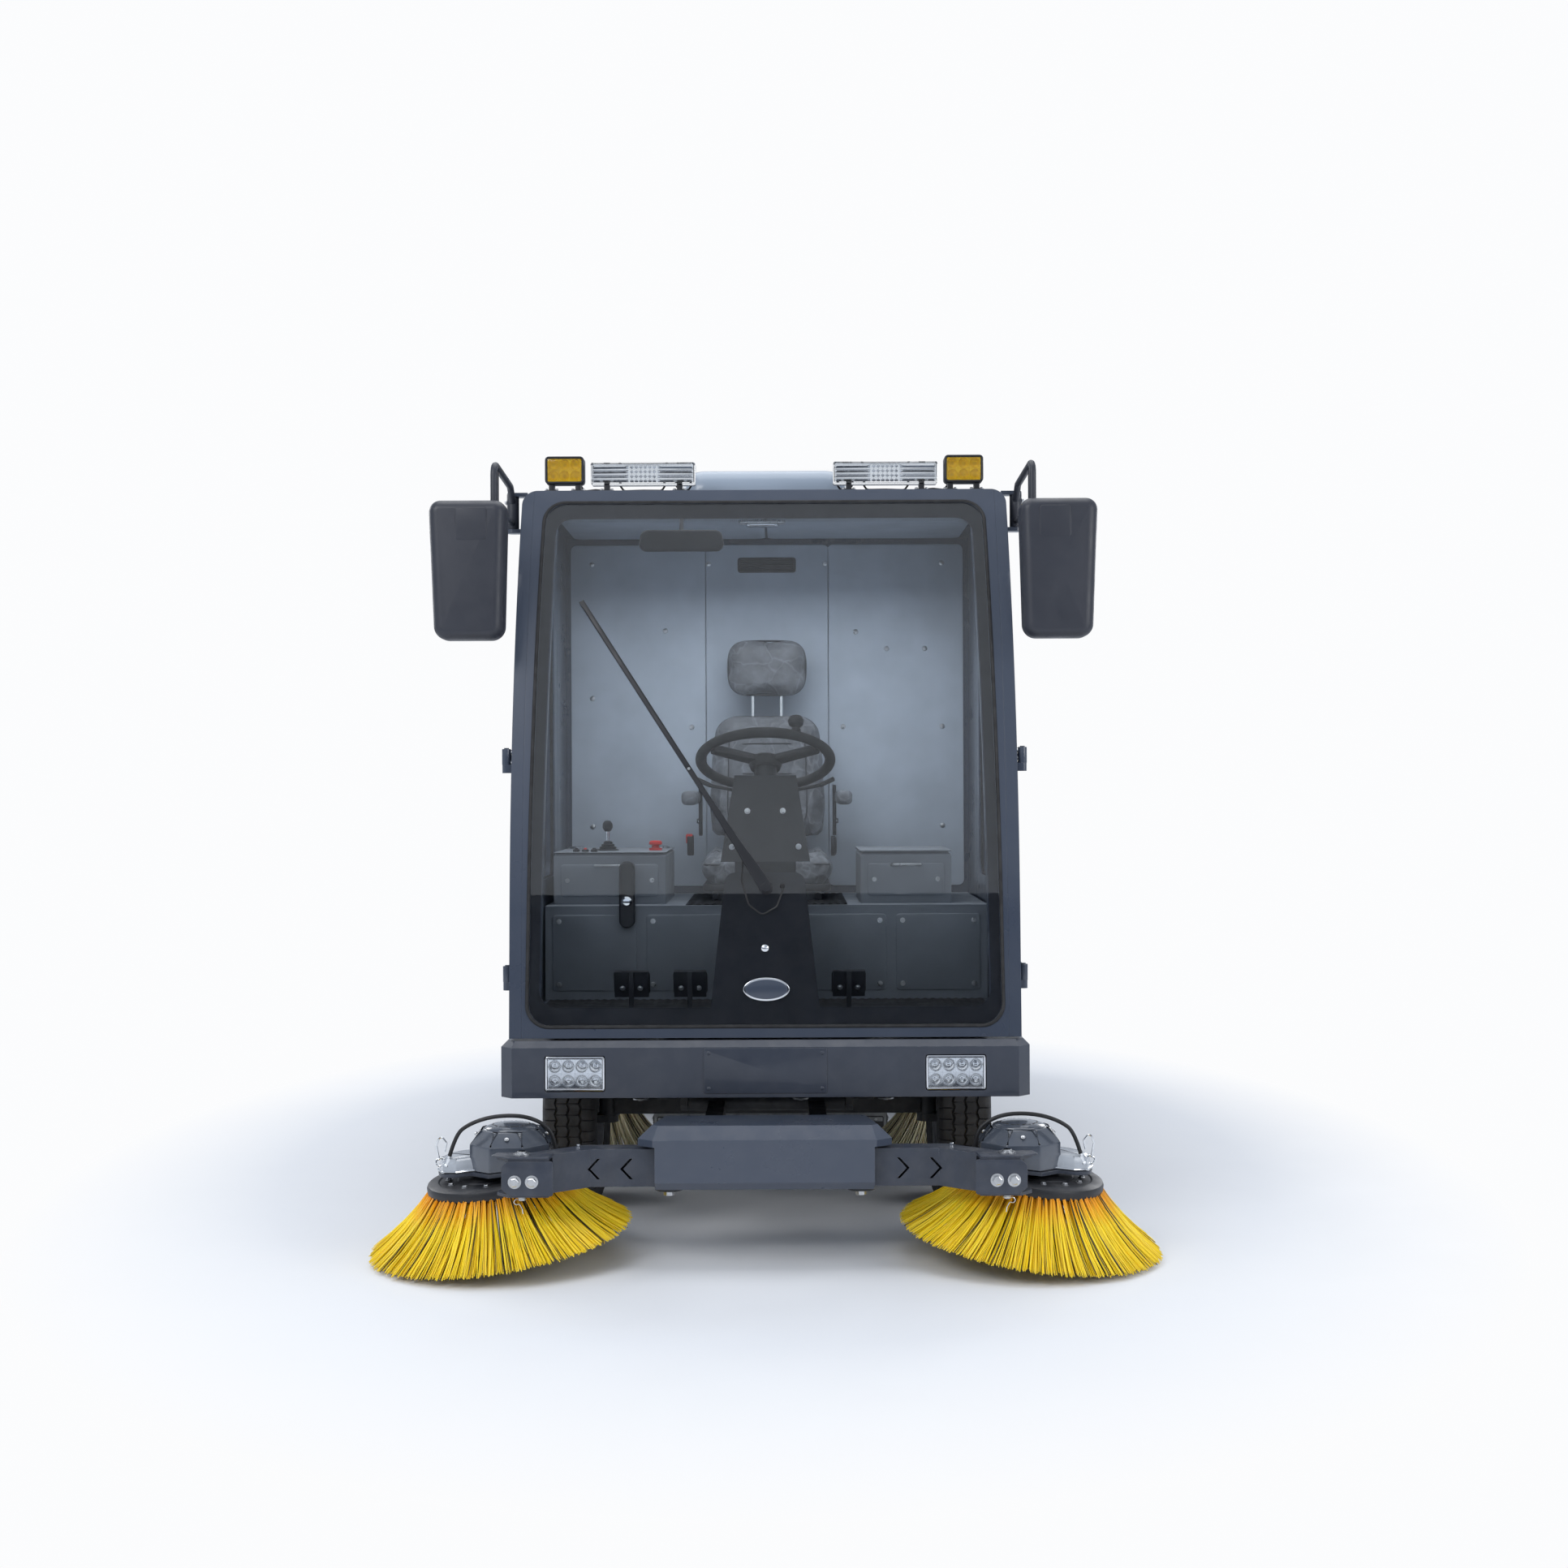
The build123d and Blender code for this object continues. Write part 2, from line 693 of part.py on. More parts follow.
with BuildPart() as rear_axle:
    with BuildSketch(Plane.YZ.offset(-REAR_TUBE_X)):
        with Locations((REAR_AXLE_Y, TYRE_RADIUS)):
            Circle(REAR_TUBE_RADIUS)
    extrude(amount=2 * REAR_TUBE_X)
    with BuildSketch(Plane.YZ.offset(-HUB_OUT + HUB_FACE_GAP)):
        with Locations((REAR_AXLE_Y, TYRE_RADIUS)):
            Circle(SPINDLE_RADIUS)
    extrude(amount=2 * (HUB_OUT - HUB_FACE_GAP))
    # the final drive's round casing
    with BuildSketch(Plane.XY.offset(TYRE_RADIUS)):
        with BuildLine():
            Polyline(
                (-DIFF_HALF, REAR_AXLE_Y),
                (-DIFF_HALF, REAR_AXLE_Y + DIFF_SHOULDER),
                (-DIFF_NOSE, REAR_AXLE_Y + DIFF_RADIUS),
                (45, REAR_AXLE_Y + DIFF_RADIUS),
                (DIFF_HALF, REAR_AXLE_Y + DIFF_SHOULDER),
                (DIFF_HALF, REAR_AXLE_Y),
                close=True,
            )
        make_face()
    revolve(axis=Axis((0, REAR_AXLE_Y, TYRE_RADIUS), (1, 0, 0)))
    leaf_springs(REAR_AXLE_Y, TYRE_RADIUS + REAR_TUBE_RADIUS - SPRING_LAP)
save(rear_axle.part, "rear_axle")

for side_name, side in SIDES:
    pin_x = side * KINGPIN_X
    with BuildPart() as knuckle:
        web_in = KINGPIN_X + KNUCKLE_EYE_RADIUS + MOVE_GAP
        for ear_z in (EYE_BOTTOM - FIT_GAP - KNUCKLE_EAR, EYE_TOP + FIT_GAP):
            with BuildSketch(Plane.XY.offset(ear_z)):
                with Locations((pin_x, FRONT_AXLE_Y)):
                    Circle(KNUCKLE_EYE_RADIUS)
                with Locations((side * (KINGPIN_X + web_in + KNUCKLE_WEB) / 2, FRONT_AXLE_Y)):
                    Rectangle(web_in + KNUCKLE_WEB - KINGPIN_X, 2 * KNUCKLE_EYE_RADIUS)
            extrude(amount=KNUCKLE_EAR)
        with BuildSketch(Plane.XY.offset(EYE_BOTTOM - FIT_GAP - KNUCKLE_EAR)):
            with Locations((side * (web_in + KNUCKLE_WEB / 2), FRONT_AXLE_Y)):
                Rectangle(KNUCKLE_WEB, 2 * KNUCKLE_EYE_RADIUS)
        extrude(amount=KNUCKLE_EYE_HEIGHT + 2 * (KNUCKLE_EAR + FIT_GAP))
        with BuildSketch(Plane.XY.offset(EYE_BOTTOM - KNUCKLE_EAR)):
            with Locations((pin_x, FRONT_AXLE_Y)):
                Circle(KINGPIN_RADIUS)
        extrude(amount=KNUCKLE_EYE_HEIGHT + 2 * KNUCKLE_EAR)
        with BuildSketch(Plane((side * web_in, FRONT_AXLE_Y, TYRE_RADIUS), z_dir=(side, 0, 0))):
            Circle(SPINDLE_RADIUS)
        extrude(amount=HUB_OUT - HUB_FACE_GAP - web_in)
        # steering arm, reaching back from the lower ear
        with BuildSketch(Plane.XY.offset(EYE_BOTTOM - FIT_GAP - KNUCKLE_EAR)):
            with Locations((side * (KINGPIN_X - STEER_ARM_IN), FRONT_AXLE_Y + STEER_ARM / 2)):
                Rectangle(KNUCKLE_WEB + STEER_ARM_GROW, STEER_ARM)
            with Locations((side * (KINGPIN_X - STEER_ARM_IN), FRONT_AXLE_Y + STEER_ARM)):
                Circle(KNUCKLE_WEB)
        extrude(amount=KNUCKLE_WEB)
    save(knuckle.part, f"knuckle_{side_name}")

for axle_name, axle_y in (("front", FRONT_AXLE_Y), ("rear", REAR_AXLE_Y)):
    for side_name, side in SIDES:
        # sketch plane through the wheel's axis: x runs outboard, y is the radius
        wheel = Plane((side * WHEEL_X, axle_y, TYRE_RADIUS), x_dir=(side, 0, 0), z_dir=(0, -side, 0))
        axle_line = Axis((side * WHEEL_X, axle_y, TYRE_RADIUS), (1, 0, 0))
        half = TYRE_WIDTH / 2
        seat = RIM_WIDTH / 2 - RIM_WALL - FIT_GAP
        with BuildPart() as tyre:
            with BuildSketch(wheel):
                with BuildLine():
                    shoulder = TYRE_RADIUS - SHOULDER_DROP
                    flange_top = FLANGE_RADIUS + 2
                    bulge = (half - 1, (BEAD_RADIUS + shoulder) / 2)
                    Line((-seat, BEAD_RADIUS), (-seat, flange_top))
                    ThreePointArc((-seat, flange_top), (-bulge[0], bulge[1]), (-half + SHOULDER_IN, shoulder))
                    ThreePointArc((-half + SHOULDER_IN, shoulder), (-half + SHOULDER_MID, TYRE_RADIUS - SHOULDER_DROP), (-half + TREAD_EDGE, TYRE_RADIUS))
                    Line((-half + TREAD_EDGE, TYRE_RADIUS), (half - TREAD_EDGE, TYRE_RADIUS))
                    ThreePointArc((half - TREAD_EDGE, TYRE_RADIUS), (half - SHOULDER_MID, TYRE_RADIUS - SHOULDER_DROP), (half - SHOULDER_IN, shoulder))
                    ThreePointArc((half - SHOULDER_IN, shoulder), (bulge[0], bulge[1]), (seat, flange_top))
                    Line((seat, flange_top), (seat, BEAD_RADIUS))
                    Line((seat, BEAD_RADIUS), (seat - CARCASS, BEAD_RADIUS))
                    inner = (half - CARCASS, bulge[1])
                    crown = TYRE_RADIUS - CARCASS - GROOVE_DEPTH
                    ThreePointArc((seat - CARCASS, BEAD_RADIUS), inner, (half - LINER_EDGE, crown))
                    Line((half - LINER_EDGE, crown), (-half + LINER_EDGE, crown))
                    ThreePointArc((-half + LINER_EDGE, crown), (-inner[0], inner[1]), (-seat + CARCASS, BEAD_RADIUS))
                    Line((-seat + CARCASS, BEAD_RADIUS), (-seat, BEAD_RADIUS))
                make_face()
                with Locations(*[(groove * GROOVE_PITCH, TYRE_RADIUS) for groove in (-1, 0, 1)]):
                    Rectangle(GROOVE_WIDTH, 2 * GROOVE_DEPTH, mode=Mode.SUBTRACT)
            revolve(axis=axle_line)
        save(tyre.part, f"tyre_{axle_name}_{side_name}")

        barrel = BEAD_RADIUS - FIT_GAP
        rim_half = RIM_WIDTH / 2
        with BuildPart() as rim:
            with BuildSketch(wheel):
                with BuildLine():
                    Polyline(
                        (-rim_half, FLANGE_RADIUS),
                        (-rim_half + RIM_WALL, FLANGE_RADIUS),
                        (-rim_half + RIM_WALL, barrel),
                        (rim_half - RIM_WALL, barrel),
                        (rim_half - RIM_WALL, FLANGE_RADIUS),
                        (rim_half, FLANGE_RADIUS),
                        (rim_half, barrel - RIM_WALL),
                        (-rim_half, barrel - RIM_WALL),
                        close=True,
                    )
                make_face()
                with BuildLine():
                    Polyline(
                        (DISC_OFFSET, barrel - 2),
                        (DISC_OFFSET + WHEEL_DISC, barrel - 2),
                        (DISC_OFFSET + WHEEL_DISC, HUB_RADIUS + DISC_STEP),
                        (HUB_LENGTH / 2, HUB_RADIUS),
                        (HUB_LENGTH / 2, SPINDLE_RADIUS + RUN_FIT),
                        (-HUB_LENGTH / 2, SPINDLE_RADIUS + RUN_FIT),
                        (-HUB_LENGTH / 2, HUB_RADIUS),
                        (DISC_OFFSET - DISC_FLANGE, HUB_RADIUS),
                        (DISC_OFFSET, HUB_RADIUS + DISC_STEP),
                        close=True,
                    )
                make_face()
                # the hub's closed cap
                with BuildLine():
                    Polyline(
                        (HUB_LENGTH / 2, 0),
                        (HUB_LENGTH / 2, HUB_RADIUS - HUB_CHAMFER),
                        (HUB_LENGTH / 2 + HUB_NOSE, HUB_RADIUS - HUB_NOSE_STEP),
                        (HUB_LENGTH / 2 + HUB_NOSE, 0),
                        close=True,
                    )
                make_face()
            revolve(axis=axle_line)
            # eight hand holes near the disc's edge
            with BuildSketch(Plane(wheel.origin, z_dir=(side, 0, 0))):
                with PolarLocations((barrel + HUB_RADIUS + DISC_STEP) / 2, HAND_HOLES):
                    Circle(HAND_HOLE)
            extrude(amount=DISC_OFFSET + WHEEL_DISC + 2, mode=Mode.SUBTRACT)
        save(rim.part, f"rim_{axle_name}_{side_name}")

# ---------------------------------------------------------------- cab


def glass_outline(grow):
    """Draws the windscreen's outline, grown by a margin, in an open sketch on the XZ plane."""
    low = GLASS_BOTTOM_Z - grow
    high = GLASS_TOP_Z + grow
    with BuildLine() as outline:
        Polyline(
            (-GLASS_BOTTOM_HALF - grow, low),
            (GLASS_BOTTOM_HALF + grow, low),
            (GLASS_TOP_HALF + grow, high),
            (-GLASS_TOP_HALF - grow, high),
            close=True,
        )
    face = make_face(outline.edges())
    fillet(face.vertices(), GLASS_CORNER + grow)


def door_outline(inset, low, high, rear_y, corner):
    """Draws a door-shaped outline, its front edge parallel to the cab's front."""
    foot, knee, middle, top = front_edge(inset, low, high)
    with BuildLine() as outline:
        if knee[1] > low:
            Line(foot, knee)
            ThreePointArc(knee, middle, top)
        else:
            ThreePointArc(foot, (front_at((low + high) / 2, inset), (low + high) / 2), top)
        Polyline(top, (rear_y, high), (rear_y, low), foot)
    face = make_face(outline.edges())
    fillet(face.vertices().filter_by(lambda vertex: abs(vertex.Y - knee[1]) > 1), corner)


# the windscreen's own thickness of the cab's front, used for the glass and for its rebate
with BuildPart() as windscreen:
    with BuildSketch(Plane.YZ):
        cab_outline(0, CAB_BOTTOM, CAB_TOP, CAB_REAR_Y)
    extrude(amount=HALF_CAB, both=True)
    with BuildSketch(Plane.YZ):
        cab_outline(GLASS_THICKNESS, CAB_BOTTOM - OVERCUT, CAB_TOP + OVERCUT, CAB_REAR_Y + OVERCUT)
    extrude(amount=HALF_CAB, both=True, mode=Mode.SUBTRACT)
    with BuildSketch(Plane.XZ):
        glass_outline(-FIT_GAP)
    extrude(amount=-CAB_FRONT_Y + WIDE_CUT, mode=Mode.INTERSECT)
save(windscreen.part, "windscreen")

with BuildPart() as glass_rebate:
    with BuildSketch(Plane.YZ):
        cab_outline(-OVERCUT, CAB_BOTTOM, CAB_TOP, CAB_REAR_Y)
    extrude(amount=HALF_CAB, both=True)
    with BuildSketch(Plane.YZ):
        cab_outline(GLASS_THICKNESS + FIT_GAP, CAB_BOTTOM - OVERCUT, CAB_TOP + OVERCUT, CAB_REAR_Y + OVERCUT)
    extrude(amount=HALF_CAB, both=True, mode=Mode.SUBTRACT)
    with BuildSketch(Plane.XZ):
        glass_outline(0)
    extrude(amount=-CAB_FRONT_Y + WIDE_CUT, mode=Mode.INTERSECT)

with BuildPart() as cab_shell:
    with BuildSketch(Plane.YZ):
        cab_outline(0, CAB_BOTTOM, CAB_TOP, CAB_REAR_Y)
    extrude(amount=HALF_CAB, both=True)
    roof_edges = edges().filter_by(Axis.Y).group_by(Axis.Z)[-1]
    fillet(roof_edges, ROOF_EDGE_RADIUS)
    with BuildSketch(Plane.YZ):
        cab_outline(CAB_WALL, FLOOR_TOP, CAB_TOP - ROOF_WALL, CAB_REAR_Y - CAB_WALL)
    extrude(amount=HALF_CAB - CAB_WALL, both=True, mode=Mode.SUBTRACT)
    add(glass_rebate.part, mode=Mode.SUBTRACT)
    with BuildSketch(Plane.XZ.offset(-CAB_FRONT_Y - APERTURE_DEPTH)):
        glass_outline(-GLASS_LAP)
    extrude(amount=APERTURE_DEPTH + WIDE_CUT, mode=Mode.SUBTRACT)
    # the underside steps up over the front wheels
    with BuildSketch(Plane.YZ):
        with Locations(((ARCH_FRONT_Y + ARCH_REAR_Y) / 2, CAB_BOTTOM)):
            Rectangle(ARCH_REAR_Y - ARCH_FRONT_Y, 2 * ARCH_RISE)
    extrude(amount=HALF_CAB + OVERCUT, both=True, mode=Mode.SUBTRACT)
    for side in (1, -1):
        with BuildSketch(Plane((side * (HALF_CAB - CAB_WALL - 2 * OVERCUT), 0, 0), x_dir=(0, 1, 0), z_dir=(1, 0, 0))):
            door_outline(DOOR_FRONT_INSET, DOOR_BOTTOM_Z, DOOR_TOP_Z, DOOR_REAR_Y, DOOR_CORNER)
            offset(amount=MOVE_GAP)
        extrude(amount=side * (CAB_WALL + 4 * OVERCUT), mode=Mode.SUBTRACT)
        for hinge_z in HINGES_Z:
            lug_z = hinge_z - HINGE_HEIGHT / 2 - FIT_GAP - HINGE_LUG
            with BuildSketch(Plane.XY.offset(lug_z)):
                with Locations((side * HINGE_X, HINGE_Y)):
                    Circle(HINGE_RADIUS)
                with Locations((side * (HALF_CAB - LUG_ROOT + HINGE_X) / 2, HINGE_Y)):
                    Rectangle(HINGE_X - HALF_CAB + LUG_ROOT, 2 * HINGE_RADIUS)
            extrude(amount=HINGE_LUG)
            with BuildSketch(Plane.XY.offset(lug_z)):
                with Locations((side * HINGE_X, HINGE_Y)):
                    Circle(HINGE_PIN)
            extrude(amount=HINGE_LUG + HINGE_HEIGHT + FIT_GAP + LUG_LIFT)
        # bracket and pin of the mirror's arm
        for ear_z in (MIRROR_LOW_Z, MIRROR_HIGH_Z):
            with BuildSketch(Plane.XY.offset(ear_z)):
                with Locations((side * MIRROR_PIN_X, MIRROR_PIN_Y)):
                    Circle(MIRROR_EYE_RADIUS)
                with Locations((side * (HALF_CAB - EYE_LAP + MIRROR_PIN_X) / 2, MIRROR_PIN_Y)):
                    Rectangle(MIRROR_PIN_X - HALF_CAB + EYE_LAP, 2 * MIRROR_EYE_RADIUS)
            extrude(amount=MIRROR_EAR)
        with BuildSketch(Plane.XY.offset(MIRROR_LOW_Z)):
            with Locations((side * MIRROR_PIN_X, MIRROR_PIN_Y)):
                Circle(MIRROR_PIN)
        extrude(amount=MIRROR_HIGH_Z + MIRROR_EAR - MIRROR_LOW_Z)

# the shell parts at its real seams: what lies behind the front, and four panels, a roof and a floor
with BuildPart() as behind_front:
    with BuildSketch(Plane.YZ):
        cab_outline(CAB_WALL, CAB_BOTTOM - SEAM_CUT, CAB_TOP + SEAM_CUT, CAB_REAR_Y + SEAM_CUT)
    extrude(amount=HALF_CAB, both=True)
with BuildPart() as behind_seam:
    with BuildSketch(Plane.YZ):
        cab_outline(CAB_WALL + FIT_GAP, CAB_BOTTOM - SEAM_CUT, CAB_TOP + SEAM_CUT, CAB_REAR_Y + SEAM_CUT)
    extrude(amount=HALF_CAB, both=True)

INNER_HALF = HALF_CAB - CAB_WALL - FIT_GAP
CEILING = CAB_TOP - ROOF_WALL


def across(low, high, front_y, rear_y):
    """A block between the cab's side panels, from low to high and from front to rear."""
    with BuildPart() as block:
        with BuildSketch(Plane.YZ.offset(-INNER_HALF)):
            with Locations(((front_y + rear_y) / 2, (low + high) / 2)):
                Rectangle(rear_y - front_y, high - low)
        extrude(amount=2 * INNER_HALF)
    return block.part


side_panels = {}
for side in (1, -1):
    with BuildPart() as side_panel:
        add(cab_shell.part)
        with BuildSketch(Plane.YZ.offset(side * (HALF_CAB - CAB_WALL))):
            with Locations(((CAB_FRONT_Y + CAB_REAR_Y) / 2, (CAB_BOTTOM + CAB_TOP) / 2)):
                Rectangle(CAB_REAR_Y - CAB_FRONT_Y + 2 * WIDE_CUT, CAB_TOP - CAB_BOTTOM + 2 * WIDE_CUT)
        extrude(amount=side * SIDE_SLICE, mode=Mode.INTERSECT)
    side_panels[side] = side_panel.part

with BuildPart() as rear_wall:
    add(cab_shell.part)
    add(across(FLOOR_TOP + FIT_GAP, CEILING - FIT_GAP, CAB_REAR_Y - CAB_WALL, CAB_REAR_Y), mode=Mode.INTERSECT)

with BuildPart() as cab_frame:
    # windscreen surround
    add(cab_shell.part)
    add(behind_front.part, mode=Mode.SUBTRACT)
    add(across(CAB_BOTTOM - SEAM_CUT, CAB_TOP + SEAM_CUT, CAB_FRONT_Y - SEAM_CUT, CAB_REAR_Y), mode=Mode.INTERSECT)
    # side panels with their hinge lugs and mirror brackets
    for side in (1, -1):
        add(side_panels[side])
    # rear wall
    add(rear_wall.part)
save(cab_frame.part, "cab_frame")

with BuildPart() as cab_roof:
    add(cab_shell.part)
    add(behind_seam.part, mode=Mode.INTERSECT)
    add(across(CEILING, CAB_TOP + SEAM_CUT, CAB_FRONT_Y, CAB_REAR_Y), mode=Mode.INTERSECT)
save(cab_roof.part, "cab_roof")

with BuildPart() as cab_floor:
    add(cab_shell.part)
    add(behind_seam.part, mode=Mode.INTERSECT)
    add(across(CAB_BOTTOM - SEAM_CUT, FLOOR_TOP, CAB_FRONT_Y, CAB_REAR_Y), mode=Mode.INTERSECT)
save(cab_floor.part, "cab_floor")

for side_name, side in SIDES:
    outer = Plane((side * HALF_CAB, 0, 0), x_dir=(0, 1, 0), z_dir=(1, 0, 0))
    window = (DOOR_FRONT_INSET + WINDOW_INSET, WINDOW_BOTTOM_Z, DOOR_TOP_Z - WINDOW_INSET, DOOR_REAR_Y - WINDOW_INSET)
    with BuildPart() as door:
        with BuildSketch(outer):
            door_outline(DOOR_FRONT_INSET, DOOR_BOTTOM_Z, DOOR_TOP_Z, DOOR_REAR_Y, DOOR_CORNER)
        extrude(amount=-side * CAB_WALL)
        with BuildSketch(outer):
            door_outline(*window, WINDOW_CORNER)
        extrude(amount=-side * CAB_WALL, mode=Mode.SUBTRACT)
        with BuildSketch(outer):
            door_outline(*window, WINDOW_CORNER)
            offset(amount=DOOR_GLASS_LAP)
        extrude(amount=-side * (DOOR_GLASS + FIT_GAP), mode=Mode.SUBTRACT)
        for hinge_z in HINGES_Z:
            edge_y = front_at(hinge_z, DOOR_FRONT_INSET)
            with BuildSketch(Plane.XY.offset(hinge_z - HINGE_HEIGHT / 2)):
                with Locations((side * HINGE_X, HINGE_Y)):
                    Circle(HINGE_RADIUS)
                with Locations((side * HINGE_X, (HINGE_Y + edge_y + STRAP_LAP) / 2)):
                    Rectangle(HINGE_STRAP, edge_y + STRAP_LAP - HINGE_Y)
                with Locations((side * (HALF_CAB - STRAP_ROOT + HINGE_X) / 2, edge_y + STRAP_LAP / 2 + 2 * STRAP_ROOT)):
                    Rectangle(HINGE_X - HALF_CAB + STRAP_ROOT, STRAP_LAP - 4 * STRAP_ROOT)
            extrude(amount=HINGE_HEIGHT)
            with BuildSketch(Plane.XY.offset(hinge_z - HINGE_HEIGHT / 2)):
                with Locations((side * HINGE_X, HINGE_Y)):
                    Circle(HINGE_PIN + RUN_FIT)
            extrude(amount=HINGE_HEIGHT, mode=Mode.SUBTRACT)
    save(door.part, f"door_{side_name}")

    with BuildPart() as door_glass:
        with BuildSketch(outer):
            door_outline(*window, WINDOW_CORNER)
            offset(amount=DOOR_GLASS_LAP - FIT_GAP)
        extrude(amount=-side * DOOR_GLASS)
    save(door_glass.part, f"door_glass_{side_name}")

    # mirror: a tube frame on an upright eye, and the housing clamped to its strut
    with BuildPart() as mirror_arm:
        with BuildSketch(Plane((side * MIRROR_HOUSING_X, MIRROR_STRUT_Y, 0), x_dir=(1, 0, 0), z_dir=(0, -1, 0))):
            with Locations((0, (MIRROR_HOUSING_TOP + MIRROR_HOUSING_BOTTOM) / 2)):
                RectangleRounded(MIRROR_HOUSING_WIDTH, MIRROR_HOUSING_TOP - MIRROR_HOUSING_BOTTOM, MIRROR_CORNER)
        extrude(amount=MIRROR_DEPTH)
        fillet(faces().sort_by(Axis.Y)[0].edges(), MIRROR_CROWN)
        eye_low = MIRROR_LOW_Z + MIRROR_EAR + FIT_GAP
        eye_high = MIRROR_HIGH_Z - FIT_GAP
        with BuildSketch(Plane.XY.offset(eye_low)):
            with Locations((side * MIRROR_PIN_X, MIRROR_PIN_Y)):
                Circle(MIRROR_EYE_RADIUS)
        extrude(amount=eye_high - eye_low)
        strut_low = MIRROR_HOUSING_TOP - STRUT_LAP
        root = Vector(side * MIRROR_PIN_X, MIRROR_PIN_Y - MIRROR_TUBE, MIRROR_HIGH_Z - STAY_DROP)
        knee = root + Vector(0, -STAY_KNEE_OUT, STAY_KNEE_UP)
        with BuildLine():
            FilletPolyline(
                root,
                knee,
                (side * MIRROR_STRUT_X, MIRROR_STRUT_Y, MIRROR_TOP_Z),
                (side * MIRROR_STRUT_X, MIRROR_STRUT_Y, strut_low),
                radius=MIRROR_BEND,
            )
        with BuildSketch(Plane(root, z_dir=knee - root)):
            Circle(MIRROR_TUBE)
        sweep()
        lower = Vector(side * MIRROR_PIN_X, MIRROR_PIN_Y - STAY_IN, eye_low + STAY_RISE)
        reach = Vector(side * MIRROR_STRUT_X, MIRROR_STRUT_Y, eye_low + STAY_RISE) - lower
        with BuildSketch(Plane(lower, z_dir=reach)):
            Circle(MIRROR_STAY)
        extrude(amount=reach.length)
        with BuildSketch(Plane.XY.offset(eye_low)):
            with Locations((side * MIRROR_PIN_X, MIRROR_PIN_Y)):
                Circle(MIRROR_PIN + RUN_FIT)
        extrude(amount=eye_high - eye_low, mode=Mode.SUBTRACT)
    save(mirror_arm.part, f"mirror_{side_name}")

# ---------------------------------------------------------------- inside the cab

PLATFORM_HALF = HALF_CAB - CAB_WALL - MOVE_GAP - PLATFORM_SLACK

with BuildPart() as cab_platform:
    with BuildSketch(Plane.XY.offset(FLOOR_TOP + FIT_GAP)):
        with Locations((0, (PLATFORM_FRONT_Y + PLATFORM_REAR_Y) / 2)):
            Rectangle(2 * PLATFORM_HALF, PLATFORM_REAR_Y - PLATFORM_FRONT_Y)
    extrude(amount=PLATFORM_TOP - FLOOR_TOP - FIT_GAP)
    for box_x, box_width, box_front_y, box_rear_y in CAB_BOXES:
        with BuildSketch(Plane.XY.offset(PLATFORM_TOP)):
            with Locations((box_x, (box_front_y + box_rear_y) / 2)):
                Rectangle(box_width, box_rear_y - box_front_y)
        extrude(amount=BOX_TOP - PLATFORM_TOP)
    chamfer(edges().filter_by(GeomType.LINE).group_by(Axis.Z)[-1], BOX_EDGE)
    # the seat's pedestal
    with BuildSketch(Plane.XY.offset(PLATFORM_TOP)):
        with Locations((0, SEAT_Y)):
            Rectangle(SEAT_WIDTH - 2 * SEAT_FOOT_IN, SEAT_LENGTH - 2 * SEAT_FOOT_BACK)
    extrude(amount=SEAT_RISE)
    # hollow from below
    with BuildSketch(Plane.XY.offset(FLOOR_TOP + FIT_GAP)):
        with Locations((0, (PLATFORM_FRONT_Y + PLATFORM_REAR_Y) / 2)):
            Rectangle(2 * (PLATFORM_HALF - PLATFORM_WALL), PLATFORM_REAR_Y - PLATFORM_FRONT_Y - 2 * PLATFORM_WALL)
    extrude(amount=PLATFORM_TOP - PLATFORM_WALL - FLOOR_TOP, mode=Mode.SUBTRACT)
save(cab_platform.part, "cab_platform")

SEAT_BOTTOM = PLATFORM_TOP + SEAT_RISE + FIT_GAP
with BuildPart() as seat_cushion:
    with BuildSketch(Plane.XY.offset(SEAT_BOTTOM)):
        with Locations((0, SEAT_Y)):
            RectangleRounded(SEAT_WIDTH, SEAT_LENGTH, CUSHION_CORNER)
    extrude(amount=SEAT_CUSHION)
save(seat_cushion.part, "seat_cushion")

with BuildPart() as seat_back:
    back_front_y = SEAT_Y + SEAT_LENGTH / 2 - BACK_DEPTH - BACK_SETBACK
    back_low = SEAT_BOTTOM + SEAT_CUSHION + FIT_GAP
    with BuildSketch(Plane.XZ.offset(-back_front_y)):
        with Locations((0, (back_low + BACK_TOP) / 2)):
            RectangleRounded(BACK_WIDTH, BACK_TOP - back_low, CUSHION_CORNER)
        with Locations((0, (BACK_TOP + HEADREST_BOTTOM) / 2)):
            Rectangle(HEADREST_NECK, HEADREST_BOTTOM - BACK_TOP + 2 * NECK_LAP)
        with Locations((0, (HEADREST_BOTTOM + HEADREST_TOP) / 2)):
            RectangleRounded(HEADREST_WIDTH, HEADREST_TOP - HEADREST_BOTTOM, HEADREST_CORNER)
    extrude(amount=-BACK_DEPTH)
save(seat_back.part, "seat_back")

